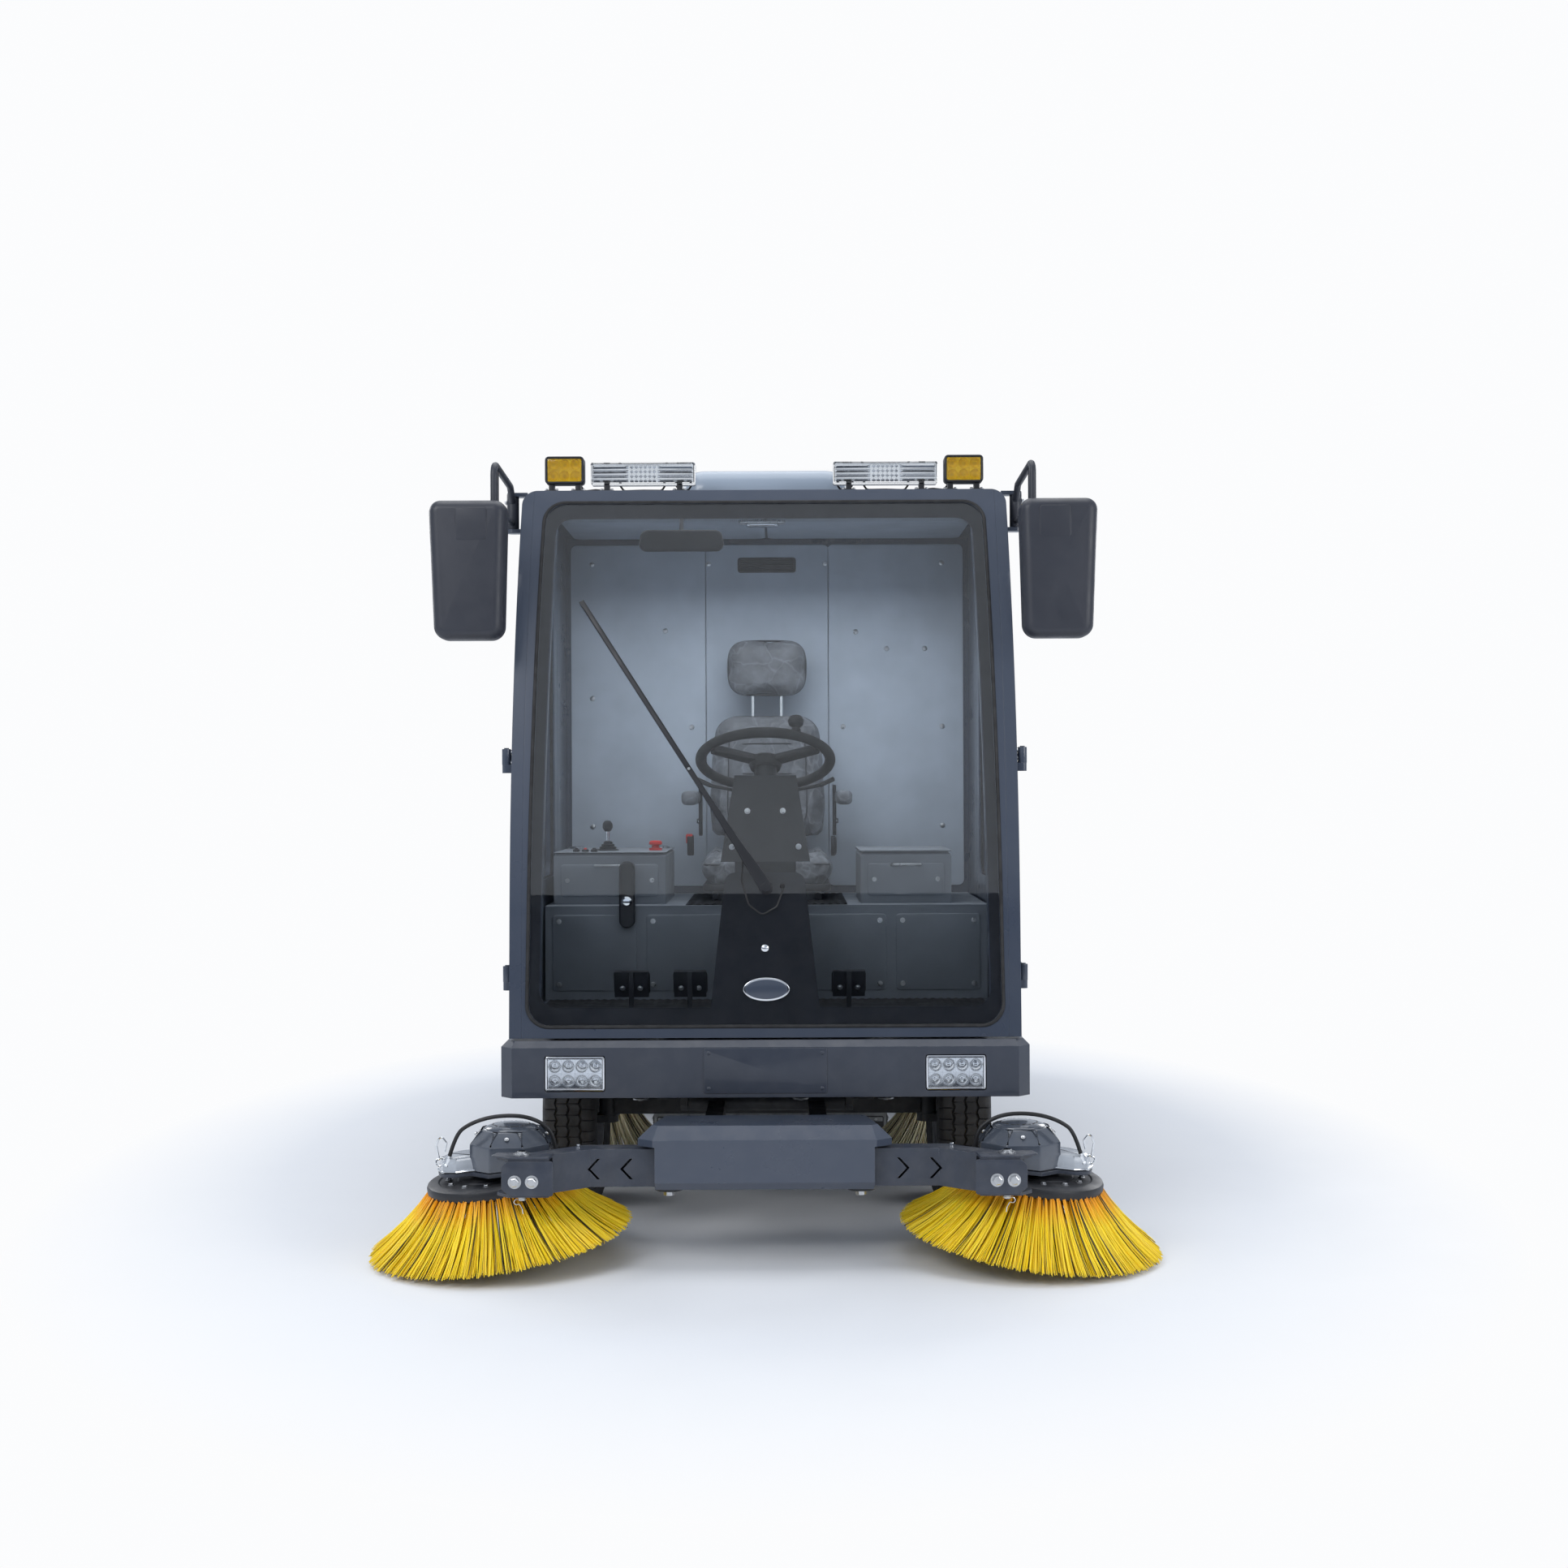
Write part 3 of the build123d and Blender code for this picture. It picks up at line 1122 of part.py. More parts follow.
with BuildPart() as steering_column:
    wheel_plane = Plane((0, STEER_WHEEL_Y, STEER_WHEEL_Z), x_dir=(1, 0, 0), z_dir=(0, sin(STEER_TILT), cos(STEER_TILT)))
    with BuildSketch(Plane.XY.offset(FLOOR_TOP + FIT_GAP)):
        with Locations((0, COLUMN_Y)):
            Rectangle(COLUMN_WIDTH, COLUMN_DEPTH)
    with BuildSketch(Plane.XY.offset(COLUMN_SHOULDER)):
        with Locations((0, COLUMN_Y)):
            Rectangle(COLUMN_WIDTH, COLUMN_DEPTH)
    loft()
    with BuildSketch(Plane.XY.offset(COLUMN_SHOULDER)):
        with Locations((0, COLUMN_Y)):
            Rectangle(SHROUD_WIDTH, COLUMN_DEPTH)
    with BuildSketch(Plane.XY.offset(SHROUD_TOP)):
        with Locations((0, STEER_WHEEL_Y - COLUMN_LEAN)):
            Rectangle(SHROUD_WIDTH * COLUMN_TAPER, COLUMN_DEPTH * COLUMN_TAPER)
    loft()
    with BuildSketch(wheel_plane.offset(-(STEER_WHEEL_Z - SHROUD_TOP) - SHROUD_LAP)):
        Circle(STEER_HUB)
    extrude(amount=STEER_WHEEL_Z - SHROUD_TOP + SHROUD_LAP)
    with BuildSketch(wheel_plane.offset(-STEER_SPOKE / 2)):
        for spoke_angle in STEER_SPOKES:
            with Locations((0, 0)):
                with PolarLocations(STEER_RADIUS / 2, 1, start_angle=spoke_angle):
                    Rectangle(STEER_RADIUS, SPOKE_WIDTH)
    extrude(amount=STEER_SPOKE)
    with BuildSketch(Plane((0, STEER_WHEEL_Y, STEER_WHEEL_Z), x_dir=(1, 0, 0), z_dir=(0, -cos(STEER_TILT), sin(STEER_TILT)))):
        with Locations((STEER_RADIUS, 0)):
            Circle(STEER_RIM)
    revolve(axis=Axis((0, STEER_WHEEL_Y, STEER_WHEEL_Z), (0, sin(STEER_TILT), cos(STEER_TILT))))
save(steering_column.part, "steering_column")

with BuildPart() as pedals:
    for pedal_x, pedal_width in PEDALS:
        with BuildSketch(Plane.YZ.offset(pedal_x - PEDAL_STEM / 2)):
            with BuildLine():
                Polyline(
                    (PEDAL_Y, FLOOR_TOP + FIT_GAP),
                    (PEDAL_Y + PEDAL_STEM, FLOOR_TOP + FIT_GAP),
                    (PEDAL_Y - PEDAL_HINGE, PEDAL_TOP),
                    (PEDAL_Y - PEDAL_HINGE - PEDAL_STEM, PEDAL_TOP),
                    close=True,
                )
            make_face()
        extrude(amount=PEDAL_STEM)
        with BuildSketch(Plane.YZ.offset(pedal_x - pedal_width / 2)):
            with BuildLine():
                Polyline(
                    (PEDAL_Y + PAD_FOOT, PEDAL_BOTTOM),
                    (PEDAL_Y + PAD_FOOT + PAD_DEPTH, PEDAL_BOTTOM + PAD_LEAN),
                    (PEDAL_Y - PAD_HEAD + PAD_DEPTH, PEDAL_TOP + PAD_LEAN),
                    (PEDAL_Y - PAD_HEAD, PEDAL_TOP),
                    close=True,
                )
            make_face()
        extrude(amount=pedal_width)
save(pedals.part, "pedals")

# ---------------------------------------------------------------- roof, bumper, lamps, wiper

with BuildPart() as roof_cover:
    with BuildSketch(Plane.XY.offset(CAB_TOP + FIT_GAP)):
        with Locations((0, (COVER_FRONT_Y + COVER_REAR_Y) / 2)):
            RectangleRounded(2 * ROOF_COVER_HALF, COVER_REAR_Y - COVER_FRONT_Y, COVER_CORNER)
    extrude(amount=ROOF_COVER_TOP - CAB_TOP - FIT_GAP, taper=COVER_TAPER)
    fillet(faces().sort_by(Axis.Z)[-1].edges(), COVER_EDGE)
save(roof_cover.part, "roof_cover")

with BuildPart() as roof_lights:
    for light_x, light_width, rise_low, rise_high, foot_step in ROOF_LIGHTS:
        light_low = CAB_TOP + rise_low
        light_high = CAB_TOP + rise_high
        for side in (1, -1):
            with BuildSketch(Plane.XZ.offset(-ROOF_LIGHT_Y)):
                with Locations((side * light_x, (light_low + light_high) / 2)):
                    RectangleRounded(light_width, light_high - light_low, LAMP_CORNER)
            extrude(amount=-ROOF_LIGHT_DEPTH)
            with BuildSketch(Plane.XY.offset(CAB_TOP + FIT_GAP)):
                with Locations(
                    (side * light_x - foot_step, ROOF_LIGHT_Y + ROOF_LIGHT_DEPTH / 2),
                    (side * light_x + foot_step, ROOF_LIGHT_Y + ROOF_LIGHT_DEPTH / 2),
                ):
                    Rectangle(LIGHT_FOOT, ROOF_LIGHT_DEPTH - 2 * LIGHT_FOOT_IN)
            extrude(amount=light_low - CAB_TOP + LIGHT_LAP)
save(roof_lights.part, "roof_lights")

with BuildPart() as front_bumper:
    with BuildSketch(Plane.XY.offset(BUMPER_BOTTOM)):
        with BuildLine():
            Polyline(
                (-BUMPER_HALF, RAIL_FRONT_Y - FIT_GAP),
                (-BUMPER_HALF, BUMPER_FRONT_Y + BUMPER_CORNER),
                (-BUMPER_HALF + BUMPER_CORNER, BUMPER_FRONT_Y),
                (BUMPER_HALF - BUMPER_CORNER, BUMPER_FRONT_Y),
                (BUMPER_HALF, BUMPER_FRONT_Y + BUMPER_CORNER),
                (BUMPER_HALF, RAIL_FRONT_Y - FIT_GAP),
                close=True,
            )
        make_face()
    extrude(amount=BUMPER_TOP - BUMPER_BOTTOM)
    front_edges = edges().filter_by(lambda edge: edge.center().Y < RAIL_FRONT_Y - 2 * OVERCUT and abs(edge.tangent_at(0).Z) < 0.1)
    chamfer(front_edges.group_by(Axis.Z)[-1], BUMPER_CHAMFER)
    for side in (1, -1):
        with BuildSketch(Plane.XZ.offset(-BUMPER_FRONT_Y - HEADLAMP_DEPTH)):
            with Locations((side * HEADLAMP_X, HEADLAMP_Z)):
                RectangleRounded(HEADLAMP_WIDTH + 2 * HEADLAMP_GAP, HEADLAMP_HEIGHT + 2 * HEADLAMP_GAP, HEADLAMP_RECESS_CORNER)
        extrude(amount=HEADLAMP_DEPTH + 2 * OVERCUT, mode=Mode.SUBTRACT)
save(front_bumper.part, "front_bumper")

with BuildPart() as headlamps:
    for side in (1, -1):
        with BuildSketch(Plane.XZ.offset(-BUMPER_FRONT_Y - HEADLAMP_DEPTH + FIT_GAP)):
            with Locations((side * HEADLAMP_X, HEADLAMP_Z)):
                RectangleRounded(HEADLAMP_WIDTH, HEADLAMP_HEIGHT, LAMP_CORNER)
        extrude(amount=HEADLAMP_DEPTH - FIT_GAP - 2)
save(headlamps.part, "headlamps")

with BuildPart() as wiper:
    # the blade lies along the glass, seen from the front at an angle up to one side
    glass_lean = front_lean(WIPER_PIVOT_Z)
    pivot_y = front_at(WIPER_PIVOT_Z, 0) - WIPER_STANDOFF * cos(glass_lean)
    pivot = Vector(0, pivot_y, WIPER_PIVOT_Z + WIPER_STANDOFF * sin(glass_lean))
    tip = Vector(WIPER_TIP_X, front_at(WIPER_TIP_Z, 0) - WIPER_STANDOFF, WIPER_TIP_Z)
    waist_z = (WIPER_PIVOT_Z + WIPER_TIP_Z) / 2
    waist = Vector(WIPER_TIP_X / 2, front_at(waist_z, 0) - WIPER_STANDOFF, waist_z)
    with BuildSketch(Plane(pivot, x_dir=(1, 0, 0), z_dir=(0, cos(glass_lean), -sin(glass_lean)))):
        Circle(WIPER_HUB)
    extrude(amount=WIPER_STANDOFF - FIT_GAP)
    with BuildLine():
        bar = ThreePointArc(pivot, waist, tip)
    with BuildSketch(Plane(pivot, x_dir=(0, 1, 0), z_dir=bar.tangent_at(0))):
        Rectangle(WIPER_BAR, 1.6 * WIPER_BAR)
    sweep()
save(wiper.part, "wiper")

# ---------------------------------------------------------------- front brush carrier

with BuildPart() as brush_carrier:
    with BuildSketch(Plane.YZ.offset(-CARRIER_PLATE_X + 2)):
        with Locations((CARRIER_Y, CARRIER_Z)):
            Circle(CARRIER_TUBE_RADIUS)
    extrude(amount=2 * CARRIER_PLATE_X - PLATE_LAP)
    for side in (1, -1):
        with BuildSketch(Plane.XY.offset(CARRIER_BEAM_BOTTOM)):
            with Locations((side * CARRIER_BEAM_X, (CARRIER_Y + CARRIER_WEB_Y) / 2)):
                Rectangle(CARRIER_BEAM, CARRIER_Y - CARRIER_WEB_Y)
        extrude(amount=CARRIER_BEAM)
    with BuildSketch(Plane.XY.offset(CLEVIS_BOTTOM)):
        with Locations((0, CARRIER_WEB_Y)):
            Rectangle(2 * CARRIER_WEB_HALF, CARRIER_WEB)
    extrude(amount=CLEVIS_TOP - CLEVIS_BOTTOM)
    for plate_z in (CLEVIS_BOTTOM, CLEVIS_TOP - CLEVIS_PLATE):
        for side in (1, -1):
            with BuildSketch(Plane.XY.offset(plate_z)):
                with Locations((side * ARM_ROOT_X, ARM_Y)):
                    Circle(ARM_EYE_RADIUS)
                with Locations((side * ARM_ROOT_X, (ARM_Y + CARRIER_WEB_Y) / 2)):
                    Rectangle(2 * ARM_EYE_RADIUS, CARRIER_WEB_Y - ARM_Y)
            extrude(amount=CLEVIS_PLATE)
    with BuildSketch(Plane.XY.offset(CLEVIS_BOTTOM)):
        with Locations((ARM_ROOT_X, ARM_Y), (-ARM_ROOT_X, ARM_Y)):
            Circle(ARM_PIN_RADIUS)
    extrude(amount=CLEVIS_TOP - CLEVIS_BOTTOM)
    # posts that carry the housing
    with BuildSketch(Plane.XY.offset(CLEVIS_TOP)):
        with Locations((HOUSING_POST_X, CARRIER_WEB_Y), (-HOUSING_POST_X, CARRIER_WEB_Y)):
            Rectangle(LIFT_WEB, CARRIER_WEB)
    extrude(amount=BOX_CEILING - FIT_GAP - CLEVIS_TOP)
    with BuildSketch(Plane.YZ.offset(-CARRIER_PLATE_X)):
        with Locations((CARRIER_Y, CARRIER_Z)):
            Circle(CARRIER_PIN + RUN_FIT)
    extrude(amount=2 * CARRIER_PLATE_X, mode=Mode.SUBTRACT)
save(brush_carrier.part, "brush_carrier")


def housing_plan(inset):
    """Draws the front housing's six-sided plan, its walls set in by inset."""
    with BuildLine() as outline:
        Polyline(
            (-BOX_FRONT_HALF, BOX_FRONT_Y),
            (BOX_FRONT_HALF, BOX_FRONT_Y),
            (BOX_CORNER_HALF, BOX_CORNER_Y),
            (BOX_REAR_HALF, BOX_REAR_Y),
            (-BOX_REAR_HALF, BOX_REAR_Y),
            (-BOX_CORNER_HALF, BOX_CORNER_Y),
            close=True,
        )
    make_face(outline.edges())
    if inset > 0:
        offset(amount=-inset, kind=Kind.INTERSECTION, mode=Mode.REPLACE)


with BuildPart() as front_housing:
    with BuildSketch(Plane.XY.offset(BOX_BOTTOM)):
        housing_plan(0)
    extrude(amount=BOX_TOP_Z - BOX_BOTTOM)
    rim_edges = edges().filter_by(lambda edge: edge.center().Y < BOX_REAR_Y - FINE and abs(edge.tangent_at(0).Z) < 0.1)
    top_edges = rim_edges.group_by(Axis.Z)[-1]
    bottom_edges = rim_edges.group_by(Axis.Z)[0]
    chamfer(top_edges, BOX_BEVEL)
    chamfer(bottom_edges, BOX_LIP)
    with BuildSketch(Plane.XY.offset(BOX_BOTTOM + BOX_LIP)):
        housing_plan(BOX_WALL)
        with Locations((0, BOX_REAR_Y)):
            Rectangle(2 * (BOX_REAR_HALF - BOX_WALL), LIP_SPAN)
    extrude(amount=BOX_TOP_Z - BOX_BEVEL - BOX_BOTTOM - BOX_LIP, mode=Mode.SUBTRACT)
    with BuildSketch(Plane.XY.offset(BOX_TOP_Z - BOX_BEVEL)):
        housing_plan(BOX_WALL + BOX_BEVEL)
        with Locations((0, BOX_REAR_Y)):
            Rectangle(2 * (BOX_REAR_HALF - BOX_WALL - BOX_BEVEL), 2 * (BOX_BEVEL + 2 * BOX_WALL))
    extrude(amount=BOX_CEILING - BOX_TOP_Z + BOX_BEVEL, mode=Mode.SUBTRACT)
    with BuildSketch(Plane.XY.offset(BOX_BOTTOM)):
        housing_plan(BOX_WALL + BOX_LIP)
        with Locations((0, BOX_REAR_Y)):
            Rectangle(2 * (BOX_REAR_HALF - BOX_WALL), 2 * (BOX_REAR_Y - CARRIER_WEB_Y + CARRIER_WEB))
    extrude(amount=BOX_LIP, mode=Mode.SUBTRACT)
    # open ends, where the arms come out under the bevel
    for side in (1, -1):
        with BuildSketch(Plane.XY.offset(BOX_BOTTOM)):
            with Locations((side * (BOX_FRONT_HALF + WIDE_CUT * 2), (BOX_FRONT_Y + BOX_REAR_Y) / 2)):
                Rectangle(4 * WIDE_CUT + 2 * MOVE_GAP, BOX_REAR_Y - BOX_FRONT_Y + 4 * OVERCUT)
        extrude(amount=ARM_TOP + 2 * OVERCUT - BOX_BOTTOM, mode=Mode.SUBTRACT)
save(front_housing.part, "front_housing")

# ---------------------------------------------------------------- front brush arms and heads

BEND_ANGLE = atan2(ARM_Y - HEAD_PIN_Y, HEAD_PIN_X - ARM_BEND_X)
LEAN = Vector(tan(radians(BRUSH_LEAN_OUT)), -tan(radians(BRUSH_LEAN_FRONT)), 1).normalized()


def arm_plan(side, inset):
    """Draws the arm's plan: an inner run across and an outer run that reaches forward."""
    half = ARM_DEPTH / 2 - inset
    run_x = cos(BEND_ANGLE)
    run_y = -sin(BEND_ANGLE)
    bevel = half * tan(BEND_ANGLE / 2)
    end_x = HEAD_PIN_X - (CLEVIS_REACH + inset) * run_x
    end_y = HEAD_PIN_Y - (CLEVIS_REACH + inset) * run_y
    with BuildLine() as outline:
        Polyline(
            (side * (ARM_ROOT_X + inset), ARM_Y - half),
            (side * (ARM_BEND_X - bevel), ARM_Y - half),
            (side * (end_x + half * run_y), end_y - half * run_x),
            (side * (end_x - half * run_y), end_y + half * run_x),
            (side * (ARM_BEND_X + bevel), ARM_Y + half),
            (side * (ARM_ROOT_X + inset), ARM_Y + half),
            close=True,
        )
    make_face(outline.edges())


for side_name, side in SIDES:
    lean = Vector(side * LEAN.X, LEAN.Y, LEAN.Z)
    brush_top = Plane((side * BRUSH_X, BRUSH_Y, BRUSH_Z), x_dir=Vector(1, 0, -lean.X / lean.Z), z_dir=lean)
    spin_axis = Axis(brush_top.origin, lean)
    radial = Plane(brush_top.origin, x_dir=brush_top.x_dir, z_dir=-brush_top.y_dir)

    with BuildPart() as brush_arm:
        with BuildSketch(Plane.XY.offset(ARM_BOTTOM)):
            arm_plan(side, 0)
        extrude(amount=ARM_TOP - ARM_BOTTOM)
        with BuildSketch(Plane.XY.offset(ARM_BOTTOM + ARM_WALL)):
            arm_plan(side, ARM_WALL)
        extrude(amount=ARM_TOP - ARM_BOTTOM - 2 * ARM_WALL, mode=Mode.SUBTRACT)
        with BuildSketch(Plane.XY.offset(ARM_BOTTOM)):
            with Locations((side * ARM_ROOT_X, ARM_Y)):
                Circle(ARM_EYE_RADIUS)
        extrude(amount=ARM_TOP - ARM_BOTTOM)
        # chevron slots through the front wall
        for slot_x in ARM_SLOTS_X:
            slot_y = ARM_Y - ARM_DEPTH / 2 - (0 if slot_x < ARM_BEND_X else (slot_x - ARM_BEND_X) * tan(BEND_ANGLE))
            with BuildSketch(Plane.XZ.offset(-slot_y - ARM_WALL - SLOT_RUN)):
                with BuildLine():
                    Polyline(
                        (side * (slot_x - SLOT_REACH), SLOT_Z + SLOT_RISE),
                        (side * slot_x, SLOT_Z),
                        (side * (slot_x - SLOT_REACH), SLOT_Z - SLOT_RISE),
                        (side * (slot_x - SLOT_REACH - SLOT_WIDTH), SLOT_Z - SLOT_RISE),
                        (side * (slot_x - SLOT_WIDTH), SLOT_Z),
                        (side * (slot_x - SLOT_REACH - SLOT_WIDTH), SLOT_Z + SLOT_RISE),
                        close=True,
                    )
                make_face()
            extrude(amount=ARM_WALL + SEAM_CUT, mode=Mode.SUBTRACT)
        # fork: two ears and a front web round the head's tongue
        ear_back = (CLEVIS_REACH + EAR_LAP) / 2
        ear_middle = (side * (HEAD_PIN_X - ear_back * cos(BEND_ANGLE)), HEAD_PIN_Y + ear_back * sin(BEND_ANGLE))
        for ear_z in (ARM_BOTTOM, ARM_TOP - FORK_PLATE):
            with BuildSketch(Plane.XY.offset(ear_z)):
                with BuildLine():
                    Polyline(
                        (side * FORK_IN_X, FORK_FRONT_Y),
                        (side * (FORK_OUT_X - FORK_TRIM), FORK_FRONT_Y),
                        (side * FORK_OUT_X, FORK_FRONT_Y + FORK_TRIM),
                        (side * FORK_OUT_X, FORK_REAR_Y),
                        (side * FORK_IN_X, FORK_REAR_Y),
                        close=True,
                    )
                make_face()
                with Locations(Location(ear_middle, -side * degrees(BEND_ANGLE))):
                    Rectangle(CLEVIS_REACH + EAR_LAP, ARM_DEPTH)
            extrude(amount=FORK_PLATE)
        with BuildSketch(Plane.XY.offset(ARM_BOTTOM)):
            with Locations((side * (FORK_IN_X + FORK_OUT_X - FORK_TRIM) / 2, FORK_FRONT_Y + FORK_PLATE / 2)):
                Rectangle(FORK_OUT_X - FORK_TRIM - FORK_IN_X, FORK_PLATE)
        extrude(amount=ARM_TOP - ARM_BOTTOM)
        with BuildSketch(Plane.XY.offset(ARM_BOTTOM - PIN_STANDOFF)):
            with Locations((side * HEAD_PIN_X, HEAD_PIN_Y)):
                Circle(HEAD_PIN_RADIUS)
        extrude(amount=ARM_TOP - ARM_BOTTOM + 2 * PIN_STANDOFF)
        with BuildSketch(Plane.XY.offset(ARM_BOTTOM)):
            with Locations((side * ARM_ROOT_X, ARM_Y)):
                Circle(ARM_PIN_RADIUS + RUN_FIT)
        extrude(amount=ARM_TOP - ARM_BOTTOM, mode=Mode.SUBTRACT)
    save(brush_arm.part, f"brush_arm_{side_name}")

    # the hose's route and its two end directions
    hose = [Vector(side * x, y, z) for x, y, z in HOSE_ROUTE]
    hose_start = (hose[1] - hose[0]).normalized()
    hose_finish = (hose[-1] - hose[-2]).normalized()

    # centre of the motor cover in the brush's leaning plane
    cover_local_x = side * (COVER_X - BRUSH_X)
    cover_local_y = COVER_Y - BRUSH_Y
    with BuildPart() as brush_head:
        with BuildSketch(brush_top.offset(BASE_GAP)):
            with Locations((cover_local_x, cover_local_y)):
                RegularPolygon(COVER_RADIUS + COVER_SEAT, COVER_SIDES, major_radius=False, rotation=COVER_TURN)
            with Locations((side * LOBE_X / 2, 0)):
                Rectangle(LOBE_X, 2 * LOBE_RADIUS + 2 * COVER_SEAT)
            with Locations((side * LOBE_X, 0)):
                Circle(LOBE_RADIUS + COVER_SEAT)
            with Locations((side * (HEAD_PIN_X + NECK_OFFSET - BRUSH_X), cover_local_y - COVER_RADIUS - 2 * COVER_SEAT)):
                Rectangle(NECK_WIDE, NECK_LONG)
            with Locations((side * (HOSE_END_X - BRUSH_X), HOSE_Y - BRUSH_Y)):
                Rectangle(LOOP_WIDE, LOOP_LONG)
        extrude(amount=BASE_PLATE)
        with BuildSketch(Plane.XY.offset(TONGUE_BOTTOM)):
            with BuildLine():
                Polyline(
                    (side * (HEAD_PIN_X - FORK_HALF), HEAD_PIN_Y),
                    (side * (HEAD_PIN_X + FORK_HALF), HEAD_PIN_Y),
                    (side * (HEAD_PIN_X + FORK_OUT), COVER_Y - COVER_RADIUS - MOVE_GAP),
                    (side * (HEAD_PIN_X - FORK_IN), COVER_Y - COVER_RADIUS - MOVE_GAP),
                    close=True,
                )
            make_face()
            with Locations((side * HEAD_PIN_X, HEAD_PIN_Y)):
                Circle(FORK_HALF)
        extrude(amount=TONGUE_TOP - TONGUE_BOTTOM)
        with BuildSketch(Plane.XY.offset(TONGUE_BOTTOM)):
            with Locations((side * HEAD_PIN_X, HEAD_PIN_Y)):
                Circle(HEAD_PIN_RADIUS + RUN_FIT)
        extrude(amount=TONGUE_TOP - TONGUE_BOTTOM, mode=Mode.SUBTRACT)
        with BuildSketch(brush_top.offset(-DISC_THICKNESS)):
            Circle(MOTOR_SHAFT)
        extrude(amount=DISC_THICKNESS + BASE_GAP + 2)
        # gland at the hose's other end
        with BuildSketch(Plane(hose[-1] + FIT_GAP * hose_finish, z_dir=hose_finish)):
            Circle(FITTING_RADIUS)
        extrude(amount=GLAND_LENGTH)
    save(brush_head.part, f"brush_head_{side_name}")

    cover_foot = brush_top.offset(BASE_GAP + BASE_PLATE + FIT_GAP)
    with BuildPart() as brush_motor:
        with BuildSketch(Plane.XY.offset(COVER_FOOT)):
            with Locations((side * COVER_X, COVER_Y)):
                RegularPolygon(COVER_RADIUS, COVER_SIDES, major_radius=False, rotation=COVER_TURN)
        extrude(amount=COVER_SHOULDER - COVER_FOOT)
        with BuildSketch(Plane.XY.offset(COVER_SHOULDER)):
            with Locations((side * COVER_X, COVER_Y)):
                RegularPolygon(COVER_RADIUS, COVER_SIDES, major_radius=False, rotation=COVER_TURN)
        with BuildSketch(Plane.XY.offset(COVER_CHAMFER)):
            with Locations((side * COVER_X, COVER_Y)):
                RegularPolygon(COVER_CROWN, COVER_SIDES, major_radius=False, rotation=COVER_TURN)
        loft()
        # the crown is a shallow dome
        with BuildSketch(Plane.XZ.offset(-COVER_Y)):
            with BuildLine():
                Line((side * COVER_X, COVER_CHAMFER), (side * (COVER_X + COVER_CROWN), COVER_CHAMFER))
                ThreePointArc(
                    (side * (COVER_X + COVER_CROWN), COVER_CHAMFER),
                    (side * (COVER_X + FITTING_OUT * COVER_CROWN), COVER_CHAMFER + FITTING_UP * (COVER_TOP - COVER_CHAMFER)),
                    (side * COVER_X, COVER_TOP),
                )
                Line((side * COVER_X, COVER_TOP), (side * COVER_X, COVER_CHAMFER))
            make_face()
        revolve(axis=Axis((side * COVER_X, COVER_Y, 0), (0, 0, 1)))
        with BuildSketch(cover_foot):
            with Locations((side * LOBE_X / 2, 0)):
                Rectangle(LOBE_X, 2 * LOBE_RADIUS)
            with Locations((side * LOBE_X, 0)):
                Circle(LOBE_RADIUS)
        extrude(amount=LOBE_HEIGHT, taper=LOBE_TAPER)
        # the hose's fitting stands on the lobe
        with BuildSketch(Plane(hose[0] - FIT_GAP * hose_start, z_dir=-hose_start)):
            Circle(FITTING_RADIUS)
        extrude(amount=FITTING_LENGTH)
        split(bisect_by=cover_foot, keep=Keep.TOP)
    save(brush_motor.part, f"brush_motor_{side_name}")

    with BuildPart() as brush_hose:
        runs = [after - before for before, after in zip(hose, hose[1:])]
        bends = []
        for before, after in zip(runs, runs[1:]):
            turn = radians(before.get_angle(after))
            bends.append(BEND_SHARE * min(before.length, after.length) / tan(turn / 2))
        print("hose", side_name, "bend radii", [round(bend) for bend in bends])
        with BuildLine():
            FilletPolyline(*hose, radius=bends)
        with BuildSketch(Plane(hose[0], z_dir=runs[0])):
            Circle(HOSE_RADIUS)
        sweep()
    save(brush_hose.part, f"brush_hose_{side_name}")

    with BuildPart() as brush_disc:
        with BuildSketch(radial):
            with BuildLine():
                Polyline(
                    (MOTOR_SHAFT + RUN_FIT, BASE_GAP - FIT_GAP),
                    (DISC_HUB, BASE_GAP - FIT_GAP),
                    (DISC_HUB, 0),
                    (DISC_RADIUS - DISC_RIM, 0),
                    (DISC_RADIUS, -OVERCUT),
                    (DISC_RADIUS, -DISC_THICKNESS),
                    (MOTOR_SHAFT + RUN_FIT, -DISC_THICKNESS),
                    close=True,
                )
            make_face()
        revolve(axis=spin_axis)
    save(brush_disc.part, f"brush_disc_{side_name}")

    with BuildPart() as brush_bristles:
        with BuildSketch(radial):
            with BuildLine():
                Polyline(
                    (BRISTLE_ROOT_IN, -DISC_THICKNESS - FIT_GAP),
                    (DISC_RADIUS - 2, -DISC_THICKNESS - FIT_GAP),
                    (BRISTLE_REACH, -BRISTLE_DROP + BRISTLE_FACE),
                    (BRISTLE_REACH - DISC_RIM, -BRISTLE_DROP),
                    (BRISTLE_TIP_IN, -BRISTLE_DROP),
                    close=True,
                )
            make_face()
        revolve(axis=spin_axis)
    save(brush_bristles.part, f"brush_bristles_{side_name}")

# ---------------------------------------------------------------- middle brushes

